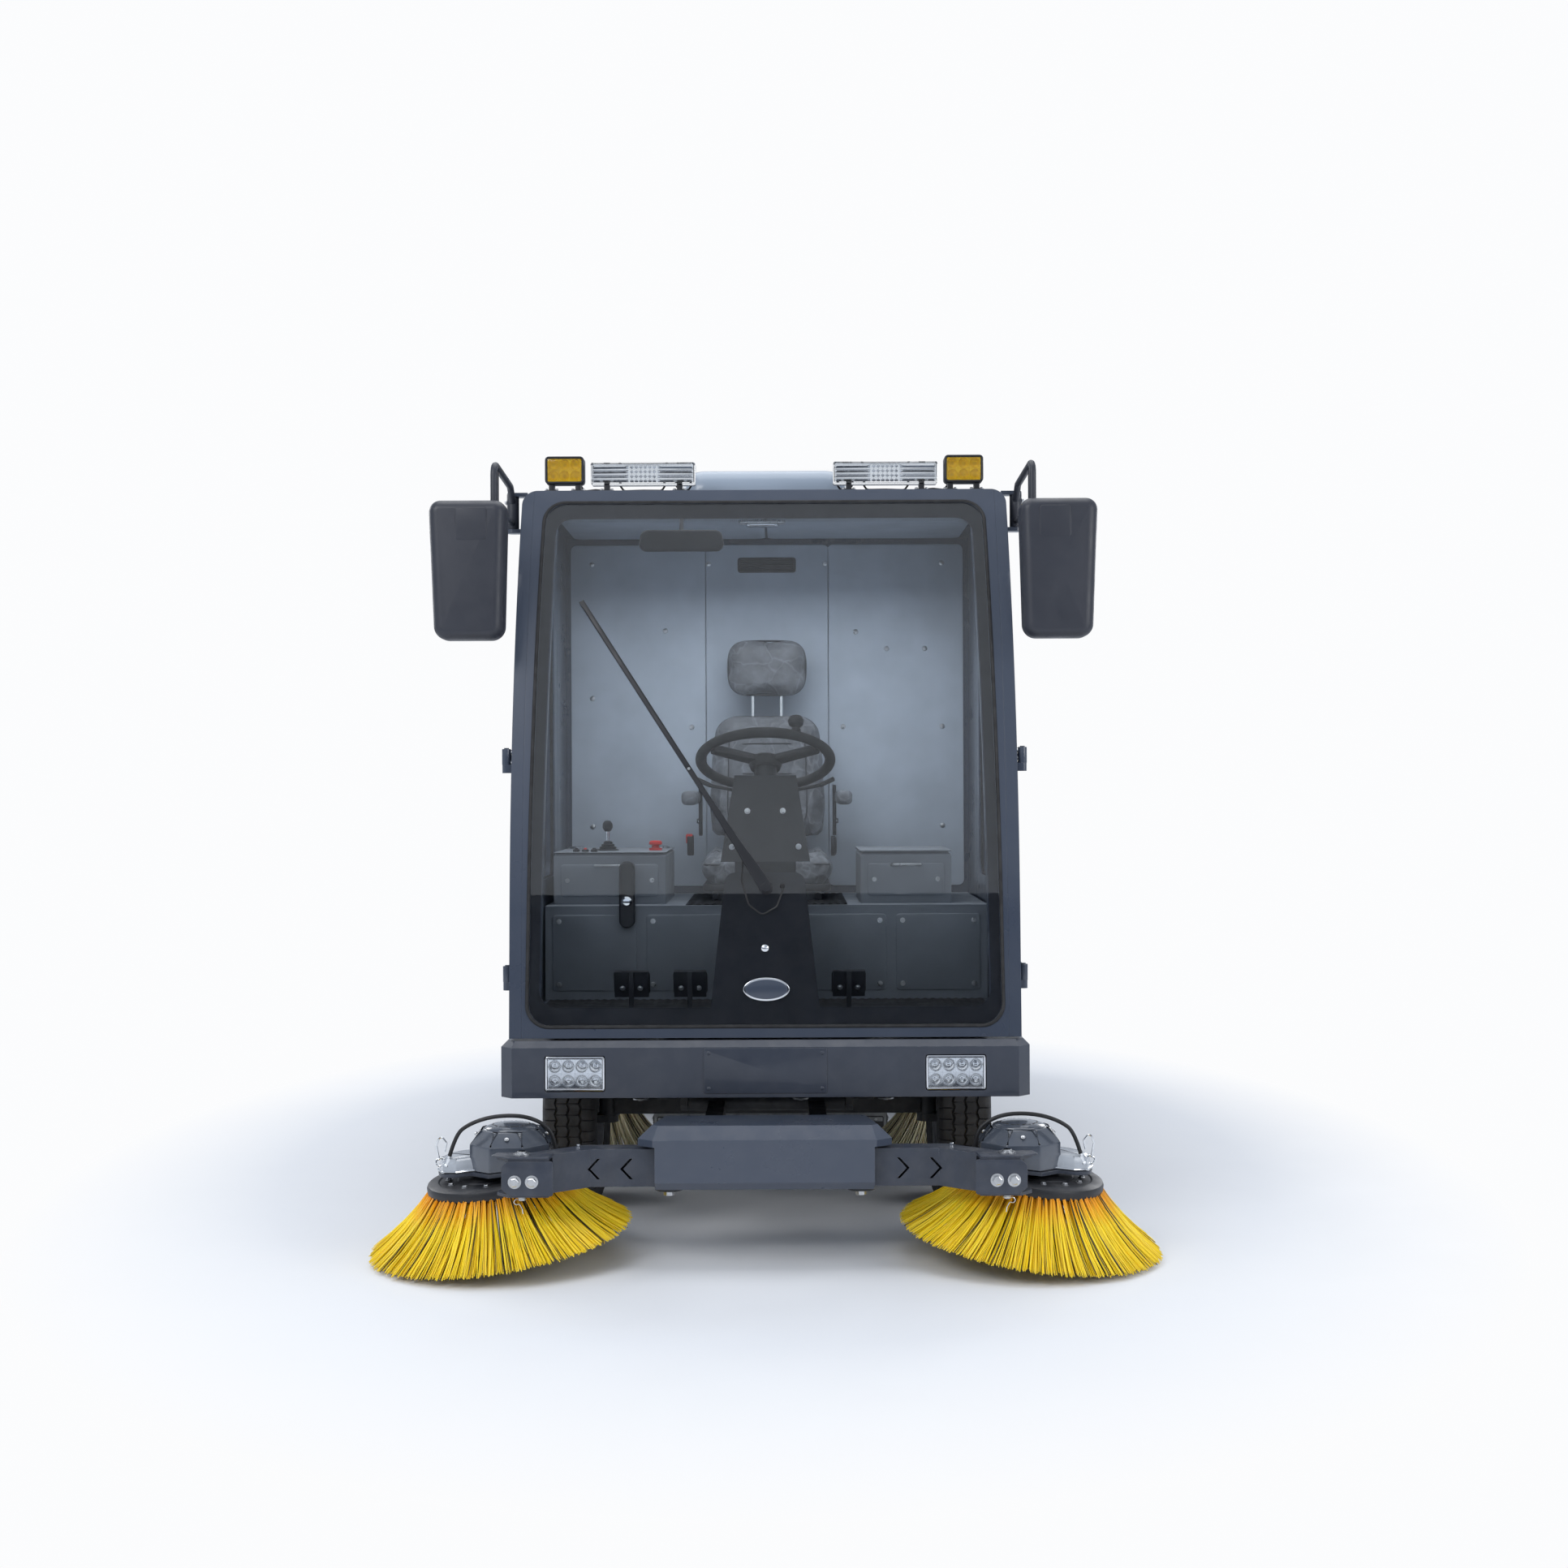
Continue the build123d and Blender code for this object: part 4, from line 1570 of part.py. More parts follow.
for side_name, side in SIDES:
    with BuildPart() as mid_arm:
        mid_pin = Vector(side * MID_PIN_X, MID_PIN_Y)
        mid_head = Vector(side * MID_X, MID_Y)
        middle = (mid_pin + mid_head) / 2
        span = mid_head - mid_pin
        with BuildSketch(Plane.XY.offset(MID_ARM_BOTTOM)):
            with Locations(mid_pin):
                Circle(MID_EYE_RADIUS)
            with Locations(mid_head):
                Circle(MID_HEAD_RADIUS)
            with Locations(Location((middle.X, middle.Y), degrees(atan2(span.Y, span.X)))):
                Rectangle(span.length, MID_ARM_WIDTH)
        extrude(amount=MID_ARM_TOP - MID_ARM_BOTTOM)
        with BuildSketch(Plane.XY.offset(MID_ARM_TOP)):
            with Locations(mid_head):
                Circle(MID_MOTOR_RADIUS)
        extrude(amount=MID_MOTOR_HEIGHT)
        with BuildSketch(Plane.XY.offset(MID_DISC_Z - MID_DISC_THICKNESS)):
            with Locations(mid_head):
                Circle(MOTOR_SHAFT)
        extrude(amount=MID_ARM_BOTTOM - MID_DISC_Z + MID_DISC_THICKNESS + 2)
        with BuildSketch(Plane.XY.offset(MID_ARM_BOTTOM)):
            with Locations(mid_pin):
                Circle(MID_PIN_RADIUS + RUN_FIT)
        extrude(amount=MID_ARM_TOP - MID_ARM_BOTTOM, mode=Mode.SUBTRACT)
    save(mid_arm.part, f"mid_arm_{side_name}")

    with BuildPart() as mid_brush:
        with BuildSketch(Plane((side * MID_X, MID_Y, MID_DISC_Z), x_dir=(1, 0, 0), z_dir=(0, -1, 0))):
            with BuildLine():
                Polyline(
                    (MOTOR_SHAFT + RUN_FIT, MID_ARM_BOTTOM - MID_DISC_Z - FIT_GAP),
                    (DISC_HUB, MID_ARM_BOTTOM - MID_DISC_Z - FIT_GAP),
                    (DISC_HUB, 0),
                    (MID_DISC_RADIUS, 0),
                    (MID_DISC_RADIUS, -MID_DISC_THICKNESS),
                    (MID_REACH, -MID_DROP),
                    (MID_REACH - MID_TUFT, -MID_DROP),
                    (MID_DISC_RADIUS - MID_TUFT_ROOT, -MID_DISC_THICKNESS),
                    (MOTOR_SHAFT + RUN_FIT, -MID_DISC_THICKNESS),
                    close=True,
                )
            make_face()
        revolve(axis=Axis((side * MID_X, MID_Y, 0), (0, 0, 1)))
    save(mid_brush.part, f"mid_brush_{side_name}")

# ---------------------------------------------------------------- engine housing and tanks

HALF_BODY = BODY_WIDTH / 2

with BuildPart() as engine_housing:
    with BuildSketch(Plane.XY.offset(HOUSING_BOTTOM)):
        with Locations((0, (HOUSING_FRONT_Y + HOUSING_REAR_Y) / 2)):
            Rectangle(BODY_WIDTH, HOUSING_REAR_Y - HOUSING_FRONT_Y)
    extrude(amount=HOUSING_TOP - HOUSING_BOTTOM)
    fillet(edges().filter_by(Axis.Y).group_by(Axis.Z)[-1], ROOF_EDGE_RADIUS)
    with BuildSketch(Plane.XY.offset(HOUSING_BOTTOM + HOUSING_WALL)):
        with Locations((0, (HOUSING_FRONT_Y + HOUSING_REAR_Y) / 2)):
            Rectangle(BODY_WIDTH - 2 * HOUSING_WALL, HOUSING_REAR_Y - HOUSING_FRONT_Y - 2 * HOUSING_WALL)
    extrude(amount=HOUSING_TOP - HOUSING_BOTTOM - 2 * HOUSING_WALL - ROOF_EDGE_RADIUS / 2, mode=Mode.SUBTRACT)
    # air slots in both sides
    for side in (1, -1):
        with BuildSketch(Plane((side * (HALF_BODY - HOUSING_WALL - 2), 0, 0), x_dir=(0, 1, 0), z_dir=(side, 0, 0))):
            with Locations((side * (HOUSING_FRONT_Y + HOUSING_REAR_Y) / 2, LOUVRE_Z)):
                with GridLocations(0, LOUVRE_PITCH, 1, LOUVRE_COUNT):
                    RectangleRounded(LOUVRE_LENGTH, LOUVRE_HEIGHT, LOUVRE_HEIGHT / 2 - 1)
        extrude(amount=HOUSING_WALL + OVERCUT, mode=Mode.SUBTRACT)
save(engine_housing.part, "engine_housing")

with BuildPart() as power_pack:
    with BuildSketch(Plane.XY.offset(HOUSING_BOTTOM + HOUSING_WALL + FIT_GAP)):
        with Locations((0, (HOUSING_FRONT_Y + HOUSING_REAR_Y) / 2)):
            Rectangle(ENGINE_LENGTH, ENGINE_DEPTH)
    extrude(amount=ENGINE_HEIGHT)
save(power_pack.part, "power_pack")

with BuildPart() as side_tanks:
    for side in (1, -1):
        with BuildSketch(Plane.XY.offset(TANK_BOTTOM)):
            with Locations((side * (RAIL_OUT + FIT_GAP + TANK_OUT_X) / 2, (TANK_FRONT_Y + TANK_REAR_Y) / 2)):
                Rectangle(TANK_OUT_X - RAIL_OUT - FIT_GAP, TANK_REAR_Y - TANK_FRONT_Y)
        extrude(amount=TANK_TOP - TANK_BOTTOM)
    fillet(edges().filter_by(lambda edge: abs(edge.center().X) > TANK_OUT_X - FINE), TANK_EDGE)
save(side_tanks.part, "side_tanks")

# ---------------------------------------------------------------- hopper and its door


def hopper_outline(inset, rear_y):
    """Draws the hopper's side outline, set in by inset, its rear at rear_y."""
    with BuildLine() as outline:
        Polyline(
            (HOPPER_FRONT_Y + inset, HOPPER_BOTTOM + inset),
            (HOPPER_FRONT_Y + inset, HOPPER_TOP - HOPPER_CHAMFER),
            (HOPPER_FRONT_Y + HOPPER_CHAMFER, HOPPER_TOP - inset),
            (rear_y, HOPPER_TOP - inset),
            (rear_y, HOPPER_BOTTOM + inset),
            close=True,
        )
    make_face(outline.edges())


with BuildPart() as hopper:
    with BuildSketch(Plane.YZ):
        hopper_outline(0, HOPPER_REAR_Y)
    extrude(amount=HALF_BODY, both=True)
    fillet(edges().filter_by(Axis.Y).group_by(Axis.Z)[-1], ROOF_EDGE_RADIUS)
    with BuildSketch(Plane.YZ):
        hopper_outline(HOPPER_WALL, HOPPER_REAR_Y + SEAM_CUT)
    extrude(amount=HALF_BODY - HOPPER_WALL, both=True, mode=Mode.SUBTRACT)
    with BuildSketch(Plane.XY.offset(HOPPER_BOTTOM)):
        with Locations((0, DUCT_Y)):
            Circle(DUCT_RADIUS - DUCT_WALL)
    extrude(amount=HOPPER_WALL, mode=Mode.SUBTRACT)
    # tilt lugs under the floor
    for side in (1, -1):
        with BuildSketch(Plane.YZ.offset(side * TILT_LUG_X - TILT_LUG / 2)):
            with Locations((TILT_Y, TILT_Z)):
                Circle(TILT_EYE_RADIUS - LUG_ROOT)
            with Locations((TILT_Y, (TILT_Z + HOPPER_BOTTOM) / 2)):
                Rectangle(2 * (TILT_EYE_RADIUS - LUG_ROOT), HOPPER_BOTTOM - TILT_Z + LUG_LIFT)
        extrude(amount=TILT_LUG)
        # hinge lugs of the hopper's door, on the roof's rear edge
        for lug_x in GATE_LUGS_X:
            with BuildSketch(Plane.YZ.offset(side * lug_x - GATE_LUG / 2)):
                with BuildLine():
                    Polyline(
                        (GATE_PIN_Y, GATE_PIN_Z),
                        (GATE_PIN_Y, GATE_PIN_Z + GATE_EYE_RADIUS),
                        (GATE_PIN_Y - GATE_LUG_FOOT, HOPPER_TOP - STRAP_ROOT),
                        (GATE_PIN_Y - GATE_EYE_RADIUS - 2, HOPPER_TOP - 2),
                        (GATE_PIN_Y - GATE_EYE_RADIUS, GATE_PIN_Z),
                        close=True,
                    )
                make_face()
                with Locations((GATE_PIN_Y, GATE_PIN_Z)):
                    Circle(GATE_EYE_RADIUS)
            extrude(amount=GATE_LUG)
        with BuildSketch(Plane.YZ.offset(side * GATE_LUGS_X[0])):
            with Locations((GATE_PIN_Y, GATE_PIN_Z)):
                Circle(GATE_PIN)
        extrude(amount=side * (GATE_LUGS_X[1] - GATE_LUGS_X[0]))
    with BuildSketch(Plane.YZ.offset(-HALF_BODY)):
        with Locations((TILT_Y, TILT_Z)):
            Circle(TILT_PIN + RUN_FIT)
    extrude(amount=BODY_WIDTH, mode=Mode.SUBTRACT)
save(hopper.part, "hopper")

with BuildPart() as hopper_door:
    with BuildSketch(Plane.YZ):
        with BuildLine():
            Polyline(
                (HOPPER_REAR_Y + FIT_GAP, HOPPER_BOTTOM),
                (HOPPER_REAR_Y + FIT_GAP, HOPPER_TOP - GATE_SLACK),
                (HOPPER_REAR_Y + TAILGATE, HOPPER_TOP - GATE_SLACK),
                (HOPPER_REAR_Y + TAILGATE, HOPPER_BOTTOM),
                close=True,
            )
        make_face()
    extrude(amount=HALF_BODY - GATE_SLACK, both=True)
    fillet(edges().filter_by(Axis.Y).group_by(Axis.Z)[-1], ROOF_EDGE_RADIUS)
    for side in (1, -1):
        knuckle_x = side * (GATE_LUGS_X[0] + GATE_LUGS_X[1]) / 2
        knuckle_length = GATE_LUGS_X[1] - GATE_LUGS_X[0] - GATE_LUG - 1
        with BuildSketch(Plane.YZ.offset(knuckle_x - knuckle_length / 2)):
            with Locations((GATE_PIN_Y, GATE_PIN_Z)):
                Circle(GATE_EYE_RADIUS)
            with BuildLine():
                Polyline(
                    (GATE_PIN_Y, GATE_PIN_Z + GATE_EYE_RADIUS),
                    (HOPPER_REAR_Y + TAILGATE, GATE_PIN_Z - 2 * OVERCUT),
                    (HOPPER_REAR_Y + TAILGATE, HOPPER_TOP - GATE_EAR_FOOT),
                    (HOPPER_REAR_Y + TAILGATE - GATE_EAR_ROOT, HOPPER_TOP - GATE_EAR_FOOT),
                    (HOPPER_REAR_Y + TAILGATE - GATE_EAR_ROOT, GATE_PIN_Z - GATE_EYE_RADIUS - STRAP_ROOT),
                    (GATE_PIN_Y, GATE_PIN_Z - GATE_EYE_RADIUS + 1),
                    close=True,
                )
            make_face()
        extrude(amount=knuckle_length)
    with BuildSketch(Plane.YZ.offset(-HALF_BODY)):
        with Locations((GATE_PIN_Y, GATE_PIN_Z)):
            Circle(GATE_PIN + RUN_FIT)
    extrude(amount=BODY_WIDTH, mode=Mode.SUBTRACT)
save(hopper_door.part, "hopper_door")

# ---------------------------------------------------------------- suction

# a plain tube, held by a plate on the rails
with BuildPart() as suction_duct:
    with BuildSketch(Plane.XY.offset(DUCT_BOTTOM)):
        with Locations((0, DUCT_Y)):
            Circle(DUCT_RADIUS)
            Circle(DUCT_RADIUS - DUCT_WALL, mode=Mode.SUBTRACT)
    extrude(amount=HOPPER_BOTTOM - FIT_GAP - DUCT_BOTTOM)
    for side_name, side in SIDES:
        with BuildSketch(Plane.XY.offset(RAIL_TOP + FIT_GAP)):
            with Locations((side * RAIL_OUT / 2, DUCT_Y)):
                Rectangle(RAIL_OUT - 2 * PLATE_SPLIT, DUCT_PLATE_LENGTH)
            with Locations((0, DUCT_Y)):
                Circle(DUCT_RADIUS + FIT_GAP, mode=Mode.SUBTRACT)
        extrude(amount=DUCT_PLATE)
save(suction_duct.part, "suction_duct")

with BuildPart() as suction_nozzle:
    nozzle_y = (NOZZLE_FRONT_Y + NOZZLE_REAR_Y) / 2
    nozzle_length = NOZZLE_REAR_Y - NOZZLE_FRONT_Y
    inner_length = nozzle_length - 2 * NOZZLE_WALL
    inner_half = NOZZLE_HALF - NOZZLE_WALL
    roof_bottom = NOZZLE_TOP - NOZZLE_WALL
    with BuildSketch(Plane.XY.offset(NOZZLE_BOTTOM)):
        with Locations((0, nozzle_y)):
            Rectangle(2 * NOZZLE_HALF, nozzle_length)
    extrude(amount=NOZZLE_TOP - NOZZLE_BOTTOM)
    chamfer(edges().filter_by(Axis.X).group_by(Axis.Z)[-1], NOZZLE_CHAMFER)
    with BuildSketch(Plane.XY.offset(NOZZLE_BOTTOM)):
        with Locations((0, nozzle_y)):
            Rectangle(2 * inner_half, inner_length)
    extrude(amount=roof_bottom - NOZZLE_CHAMFER - NOZZLE_BOTTOM, mode=Mode.SUBTRACT)
    with BuildSketch(Plane.XY.offset(roof_bottom - NOZZLE_CHAMFER)):
        with Locations((0, nozzle_y)):
            Rectangle(2 * inner_half, inner_length - 2 * NOZZLE_CHAMFER)
    extrude(amount=NOZZLE_CHAMFER, mode=Mode.SUBTRACT)
    with BuildSketch(Plane.XY.offset(NOZZLE_TOP)):
        with Locations((RAIL_X, NOZZLE_ROD_Y), (-RAIL_X, NOZZLE_ROD_Y)):
            Circle(2 * NOZZLE_ROD_RADIUS)
    extrude(amount=GUIDE_HEIGHT)
    with BuildSketch(Plane.XY.offset(NOZZLE_BOTTOM)):
        with Locations((0, DUCT_Y)):
            Circle(DUCT_RADIUS + COLLAR_GAP)
        with Locations((RAIL_X, NOZZLE_ROD_Y), (-RAIL_X, NOZZLE_ROD_Y)):
            Circle(NOZZLE_ROD_RADIUS + RUN_FIT)
    extrude(amount=COLLAR_TOP, mode=Mode.SUBTRACT)
    # collar round the duct's foot, on the nozzle's roof
    with BuildSketch(Plane.XY.offset(NOZZLE_TOP + FIT_GAP)):
        with Locations((0, DUCT_Y)):
            Circle(DUCT_RADIUS + COLLAR_GAP + DUCT_WALL)
            Circle(DUCT_RADIUS + COLLAR_GAP, mode=Mode.SUBTRACT)
    extrude(amount=COLLAR_TOP - NOZZLE_TOP - FIT_GAP)
save(suction_nozzle.part, "suction_nozzle")

# ---------------------------------------------------------------- rear end

with BuildPart() as rear_bumper:
    with BuildSketch(Plane.XY.offset(REAR_BUMPER_BOTTOM)):
        with Locations((0, (RAIL_REAR_Y + FIT_GAP + REAR_BUMPER_Y) / 2)):
            RectangleRounded(2 * REAR_BUMPER_HALF, REAR_BUMPER_Y - RAIL_REAR_Y - FIT_GAP, REAR_BUMPER_CORNER)
    extrude(amount=REAR_BUMPER_TOP - REAR_BUMPER_BOTTOM)
save(rear_bumper.part, "rear_bumper")

with BuildPart() as tail_lamps:
    for side in (1, -1):
        with BuildSketch(Plane.XZ.offset(-REAR_BUMPER_Y - FIT_GAP)):
            with Locations((side * TAIL_LAMP_X, (REAR_BUMPER_BOTTOM + REAR_BUMPER_TOP) / 2)):
                RectangleRounded(TAIL_LAMP_WIDTH, TAIL_LAMP_HEIGHT, TAIL_LAMP_CORNER)
        extrude(amount=-TAIL_LAMP_DEPTH)
save(tail_lamps.part, "tail_lamps")
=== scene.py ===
"""Compact road sweeper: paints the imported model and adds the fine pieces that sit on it."""
import sys
import json

import bmesh
import bpy
import numpy as np
from bpy.props import FloatProperty, FloatVectorProperty, IntProperty, PointerProperty
from mathutils import Euler
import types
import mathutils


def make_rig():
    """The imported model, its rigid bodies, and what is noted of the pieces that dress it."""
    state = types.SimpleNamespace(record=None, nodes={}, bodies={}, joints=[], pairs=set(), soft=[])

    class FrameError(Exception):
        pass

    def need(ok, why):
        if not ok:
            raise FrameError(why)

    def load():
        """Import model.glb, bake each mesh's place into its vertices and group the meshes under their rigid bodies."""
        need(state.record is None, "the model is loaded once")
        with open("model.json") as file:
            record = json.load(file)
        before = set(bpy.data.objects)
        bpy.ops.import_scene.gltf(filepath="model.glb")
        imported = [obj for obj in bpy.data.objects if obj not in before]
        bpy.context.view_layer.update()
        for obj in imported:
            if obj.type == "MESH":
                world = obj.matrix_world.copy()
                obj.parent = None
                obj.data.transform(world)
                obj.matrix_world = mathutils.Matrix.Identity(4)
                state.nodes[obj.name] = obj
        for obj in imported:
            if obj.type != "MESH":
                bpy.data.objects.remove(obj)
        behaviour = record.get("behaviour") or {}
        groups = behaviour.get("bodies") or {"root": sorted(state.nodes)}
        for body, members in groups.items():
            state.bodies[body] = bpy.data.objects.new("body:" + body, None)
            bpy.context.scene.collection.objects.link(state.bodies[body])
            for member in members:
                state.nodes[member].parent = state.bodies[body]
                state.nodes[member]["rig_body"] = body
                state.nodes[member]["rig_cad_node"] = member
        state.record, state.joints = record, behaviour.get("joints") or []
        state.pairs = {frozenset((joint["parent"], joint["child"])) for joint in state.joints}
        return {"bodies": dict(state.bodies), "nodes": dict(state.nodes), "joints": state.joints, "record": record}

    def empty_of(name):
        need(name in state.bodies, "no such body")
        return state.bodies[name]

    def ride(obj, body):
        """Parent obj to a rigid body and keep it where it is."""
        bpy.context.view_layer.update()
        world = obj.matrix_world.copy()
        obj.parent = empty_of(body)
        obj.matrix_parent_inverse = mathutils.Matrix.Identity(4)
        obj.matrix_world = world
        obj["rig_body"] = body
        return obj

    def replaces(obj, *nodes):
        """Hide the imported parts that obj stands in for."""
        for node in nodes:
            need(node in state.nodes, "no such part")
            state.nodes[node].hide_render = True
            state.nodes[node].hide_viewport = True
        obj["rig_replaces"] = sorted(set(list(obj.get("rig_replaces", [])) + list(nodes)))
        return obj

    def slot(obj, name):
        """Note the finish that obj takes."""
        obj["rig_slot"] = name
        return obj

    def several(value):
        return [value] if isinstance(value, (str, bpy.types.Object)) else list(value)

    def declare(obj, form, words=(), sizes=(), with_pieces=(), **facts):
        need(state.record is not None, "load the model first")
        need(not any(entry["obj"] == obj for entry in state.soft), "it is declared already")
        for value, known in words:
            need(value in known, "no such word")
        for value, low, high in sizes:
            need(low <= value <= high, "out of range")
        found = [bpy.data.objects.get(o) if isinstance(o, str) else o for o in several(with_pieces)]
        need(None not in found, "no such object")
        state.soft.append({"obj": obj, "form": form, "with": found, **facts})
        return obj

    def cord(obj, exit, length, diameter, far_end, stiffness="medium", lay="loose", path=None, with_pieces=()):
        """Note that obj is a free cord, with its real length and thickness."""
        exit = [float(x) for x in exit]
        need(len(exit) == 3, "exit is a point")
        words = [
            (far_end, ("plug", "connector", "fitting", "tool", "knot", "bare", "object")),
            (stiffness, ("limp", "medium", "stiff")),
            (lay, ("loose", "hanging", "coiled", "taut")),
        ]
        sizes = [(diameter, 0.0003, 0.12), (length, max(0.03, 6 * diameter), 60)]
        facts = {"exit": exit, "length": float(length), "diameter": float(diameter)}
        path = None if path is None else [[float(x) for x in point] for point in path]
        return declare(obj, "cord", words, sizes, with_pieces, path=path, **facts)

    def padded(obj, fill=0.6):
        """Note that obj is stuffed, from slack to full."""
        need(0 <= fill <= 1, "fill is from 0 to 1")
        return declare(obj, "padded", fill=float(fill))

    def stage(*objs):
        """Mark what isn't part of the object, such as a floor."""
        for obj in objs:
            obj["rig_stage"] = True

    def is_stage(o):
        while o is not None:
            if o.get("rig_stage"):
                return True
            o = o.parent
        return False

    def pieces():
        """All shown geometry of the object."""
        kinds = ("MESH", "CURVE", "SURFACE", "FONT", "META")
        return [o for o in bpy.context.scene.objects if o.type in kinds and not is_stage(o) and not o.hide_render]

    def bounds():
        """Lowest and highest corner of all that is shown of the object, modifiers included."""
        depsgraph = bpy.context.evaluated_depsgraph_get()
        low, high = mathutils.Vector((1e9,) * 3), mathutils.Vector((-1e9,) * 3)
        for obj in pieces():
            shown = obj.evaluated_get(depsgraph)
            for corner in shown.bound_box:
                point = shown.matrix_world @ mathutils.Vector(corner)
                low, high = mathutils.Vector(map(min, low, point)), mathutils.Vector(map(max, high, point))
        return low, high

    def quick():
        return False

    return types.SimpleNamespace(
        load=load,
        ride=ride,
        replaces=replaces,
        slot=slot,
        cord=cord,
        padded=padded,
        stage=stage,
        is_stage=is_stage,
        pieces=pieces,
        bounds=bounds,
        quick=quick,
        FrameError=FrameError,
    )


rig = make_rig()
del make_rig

bl_info = {
    "name": "Compact Road Sweeper",
    "version": (1, 0, 0),
    "blender": (4, 5, 0),
    "location": "3D View > Sidebar > Sweeper",
    "description": "Dresses the packed sweeper with its paint, brushes, tyres, lamps and cab fittings",
    "category": "Object",
}

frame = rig.load()
CAD_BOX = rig.bounds()
SIDES = (("left", 1), ("right", -1))
TURN = 2 * np.pi
MM = 0.001
# local x and local z of a face that looks up, down, ahead or back
UP = ((1, 0, 0), (0, 0, 1))
DOWN = ((1, 0, 0), (0, 0, -1))
FRONT = ((1, 0, 0), (0, -1, 0))
REAR = ((-1, 0, 0), (0, 1, 0))


# ---------- settings


def colour(name, description, red, green, blue):
    """A colour setting with its default."""
    return FloatVectorProperty(
        name=name,
        description=description,
        subtype="COLOR",
        size=3,
        min=0,
        max=1,
        default=(red, green, blue),
    )


class SweeperPaint(bpy.types.PropertyGroup):
    body: colour("Body", "Paint of the cab, the hopper and the brush housing", 0.044, 0.057, 0.086)
    bumper: colour("Bumper", "Paint of the bumper and the brush arms", 0.032, 0.04, 0.06)
    chassis: colour("Chassis", "Paint of the rails, axles and carrier", 0.016, 0.018, 0.022)
    trim: colour("Trim", "Moulded black plastic", 0.011, 0.012, 0.016)
    console: colour("Console", "Grey panels inside the cab", 0.2, 0.22, 0.25)
    glass: colour("Glass", "Tint of the windows", 0.9, 0.945, 0.985)
    wheel: colour("Wheel", "Paint of the wheel discs", 0.42, 0.43, 0.45)


class SweeperBrush(bpy.types.PropertyGroup):
    root: colour("Bristle root", "Bristle colour at the disc", 0.92, 0.3, 0.004)
    tip: colour("Bristle tip", "Bristle colour at the ground", 1.0, 0.74, 0.02)
    bundles: IntProperty(name="Bundles", description="Bundles in a row of a front brush", default=64, min=12, max=120)
    strands: IntProperty(name="Strands", description="Strands in each bundle", default=15, min=4, max=40)
    spread: FloatProperty(name="Spread", description="How far a bundle fans out", default=0.011, unit="LENGTH")


class SweeperWheel(bpy.types.PropertyGroup):
    pitches: IntProperty(name="Tread pitches", description="Blocks round each rib", default=56, min=24, max=96)
    groove: FloatProperty(
        name="Groove depth", description="Depth of the tread's long grooves", default=0.0075, unit="LENGTH"
    )


class SweeperLamp(bpy.types.PropertyGroup):
    amber: colour("Amber", "Lenses of the beacon lamps", 1.0, 0.92, 0.48)
    red: colour("Red", "Tail lamps and warning knobs", 0.55, 0.02, 0.015)


class SweeperStage(bpy.types.PropertyGroup):
    backdrop: colour("Backdrop", "Colour of the floor and the surroundings", 0.97, 0.975, 0.985)
    key: FloatProperty(name="Key light", description="Strength of the large light ahead", default=150, unit="POWER")
    lens: FloatProperty(name="Lens", description="Focal length on a 36 mm sensor", default=45.75, unit="CAMERA")


# ---------- surfaces


def unit(vectors):
    """Vectors scaled to length one along the last axis."""
    return vectors / np.maximum(np.linalg.norm(vectors, axis=-1, keepdims=True), 1e-12)


def outward(side):
    """Local x and local z of a face that looks out to one side: x runs back along the vehicle."""
    return (0, 1, 0), (side, 0, 0)


def on_axis(axis):
    """Local x and local z of a piece that turns about, or stands along, an axis."""
    return (1, 0, 0), axis


def place(points, origin=(0, 0, 0), x=(1, 0, 0), z=(0, 0, 1)):
    """Local points carried into the frame: origin + a·x + b·(z × x) + c·z, with x squared up to z."""
    z = unit(np.asarray(z, float))
    x = np.asarray(x, float)
    x = unit(x - z * (x @ z))
    points = np.asarray(points, float)
    return np.asarray(origin, float) + points @ np.stack([x, np.cross(z, x), z])


def fillet(corners, radius, steps=6, closed=True):
    """A path whose corners are arcs: each touches both sides of its corner, with its centre on the bisector."""
    corners = np.asarray(corners, float)
    radius = np.broadcast_to(np.asarray(radius, float), len(corners))[:, None]
    before = unit(np.roll(corners, 1, axis=0) - corners)
    after = unit(np.roll(corners, -1, axis=0) - corners)
    half = np.arccos(np.clip((before * after).sum(-1), -1, 1))[:, None] / 2
    reach = radius / np.maximum(np.tan(half), 1e-6)
    centre = corners + unit(before + after) * radius / np.maximum(np.sin(half), 1e-6)
    start = unit(corners + before * reach - centre)
    finish = unit(corners + after * reach - centre)
    sweep = np.maximum(np.pi - 2 * half, 1e-5)[:, None]
    share = np.linspace(0, 1, steps)[None, :, None]
    turn = np.sin((1 - share) * sweep) * start[:, None] + np.sin(share * sweep) * finish[:, None]
    arcs = centre[:, None] + radius[:, None] * turn / np.sin(sweep)
    if closed:
        return arcs.reshape(-1, corners.shape[1])
    return np.concatenate([corners[:1], arcs[1:-1].reshape(-1, corners.shape[1]), corners[-1:]])


def bent(points, radius, steps=6):
    """An open path whose inner corners are arcs."""
    return fillet(points, radius, steps, closed=False)


def level(outline, height):
    """Flat points at one height."""
    return np.column_stack([outline, np.full(len(outline), height)])


def rectangle(width, height, corner=0.004, steps=6, centre=(0, 0)):
    """A rounded rectangle's outline, anticlockwise."""
    x, y = width / 2, height / 2
    return fillet([(-x, -y), (x, -y), (x, y), (-x, y)], min(corner, 0.999 * x, 0.999 * y), steps) + np.asarray(centre)


def ring(radius, sides=32, phase=0.0):
    """A circle's outline, anticlockwise."""
    angle = np.linspace(0, TURN, sides, endpoint=False) + phase
    return np.stack([radius * np.cos(angle), radius * np.sin(angle)], -1)


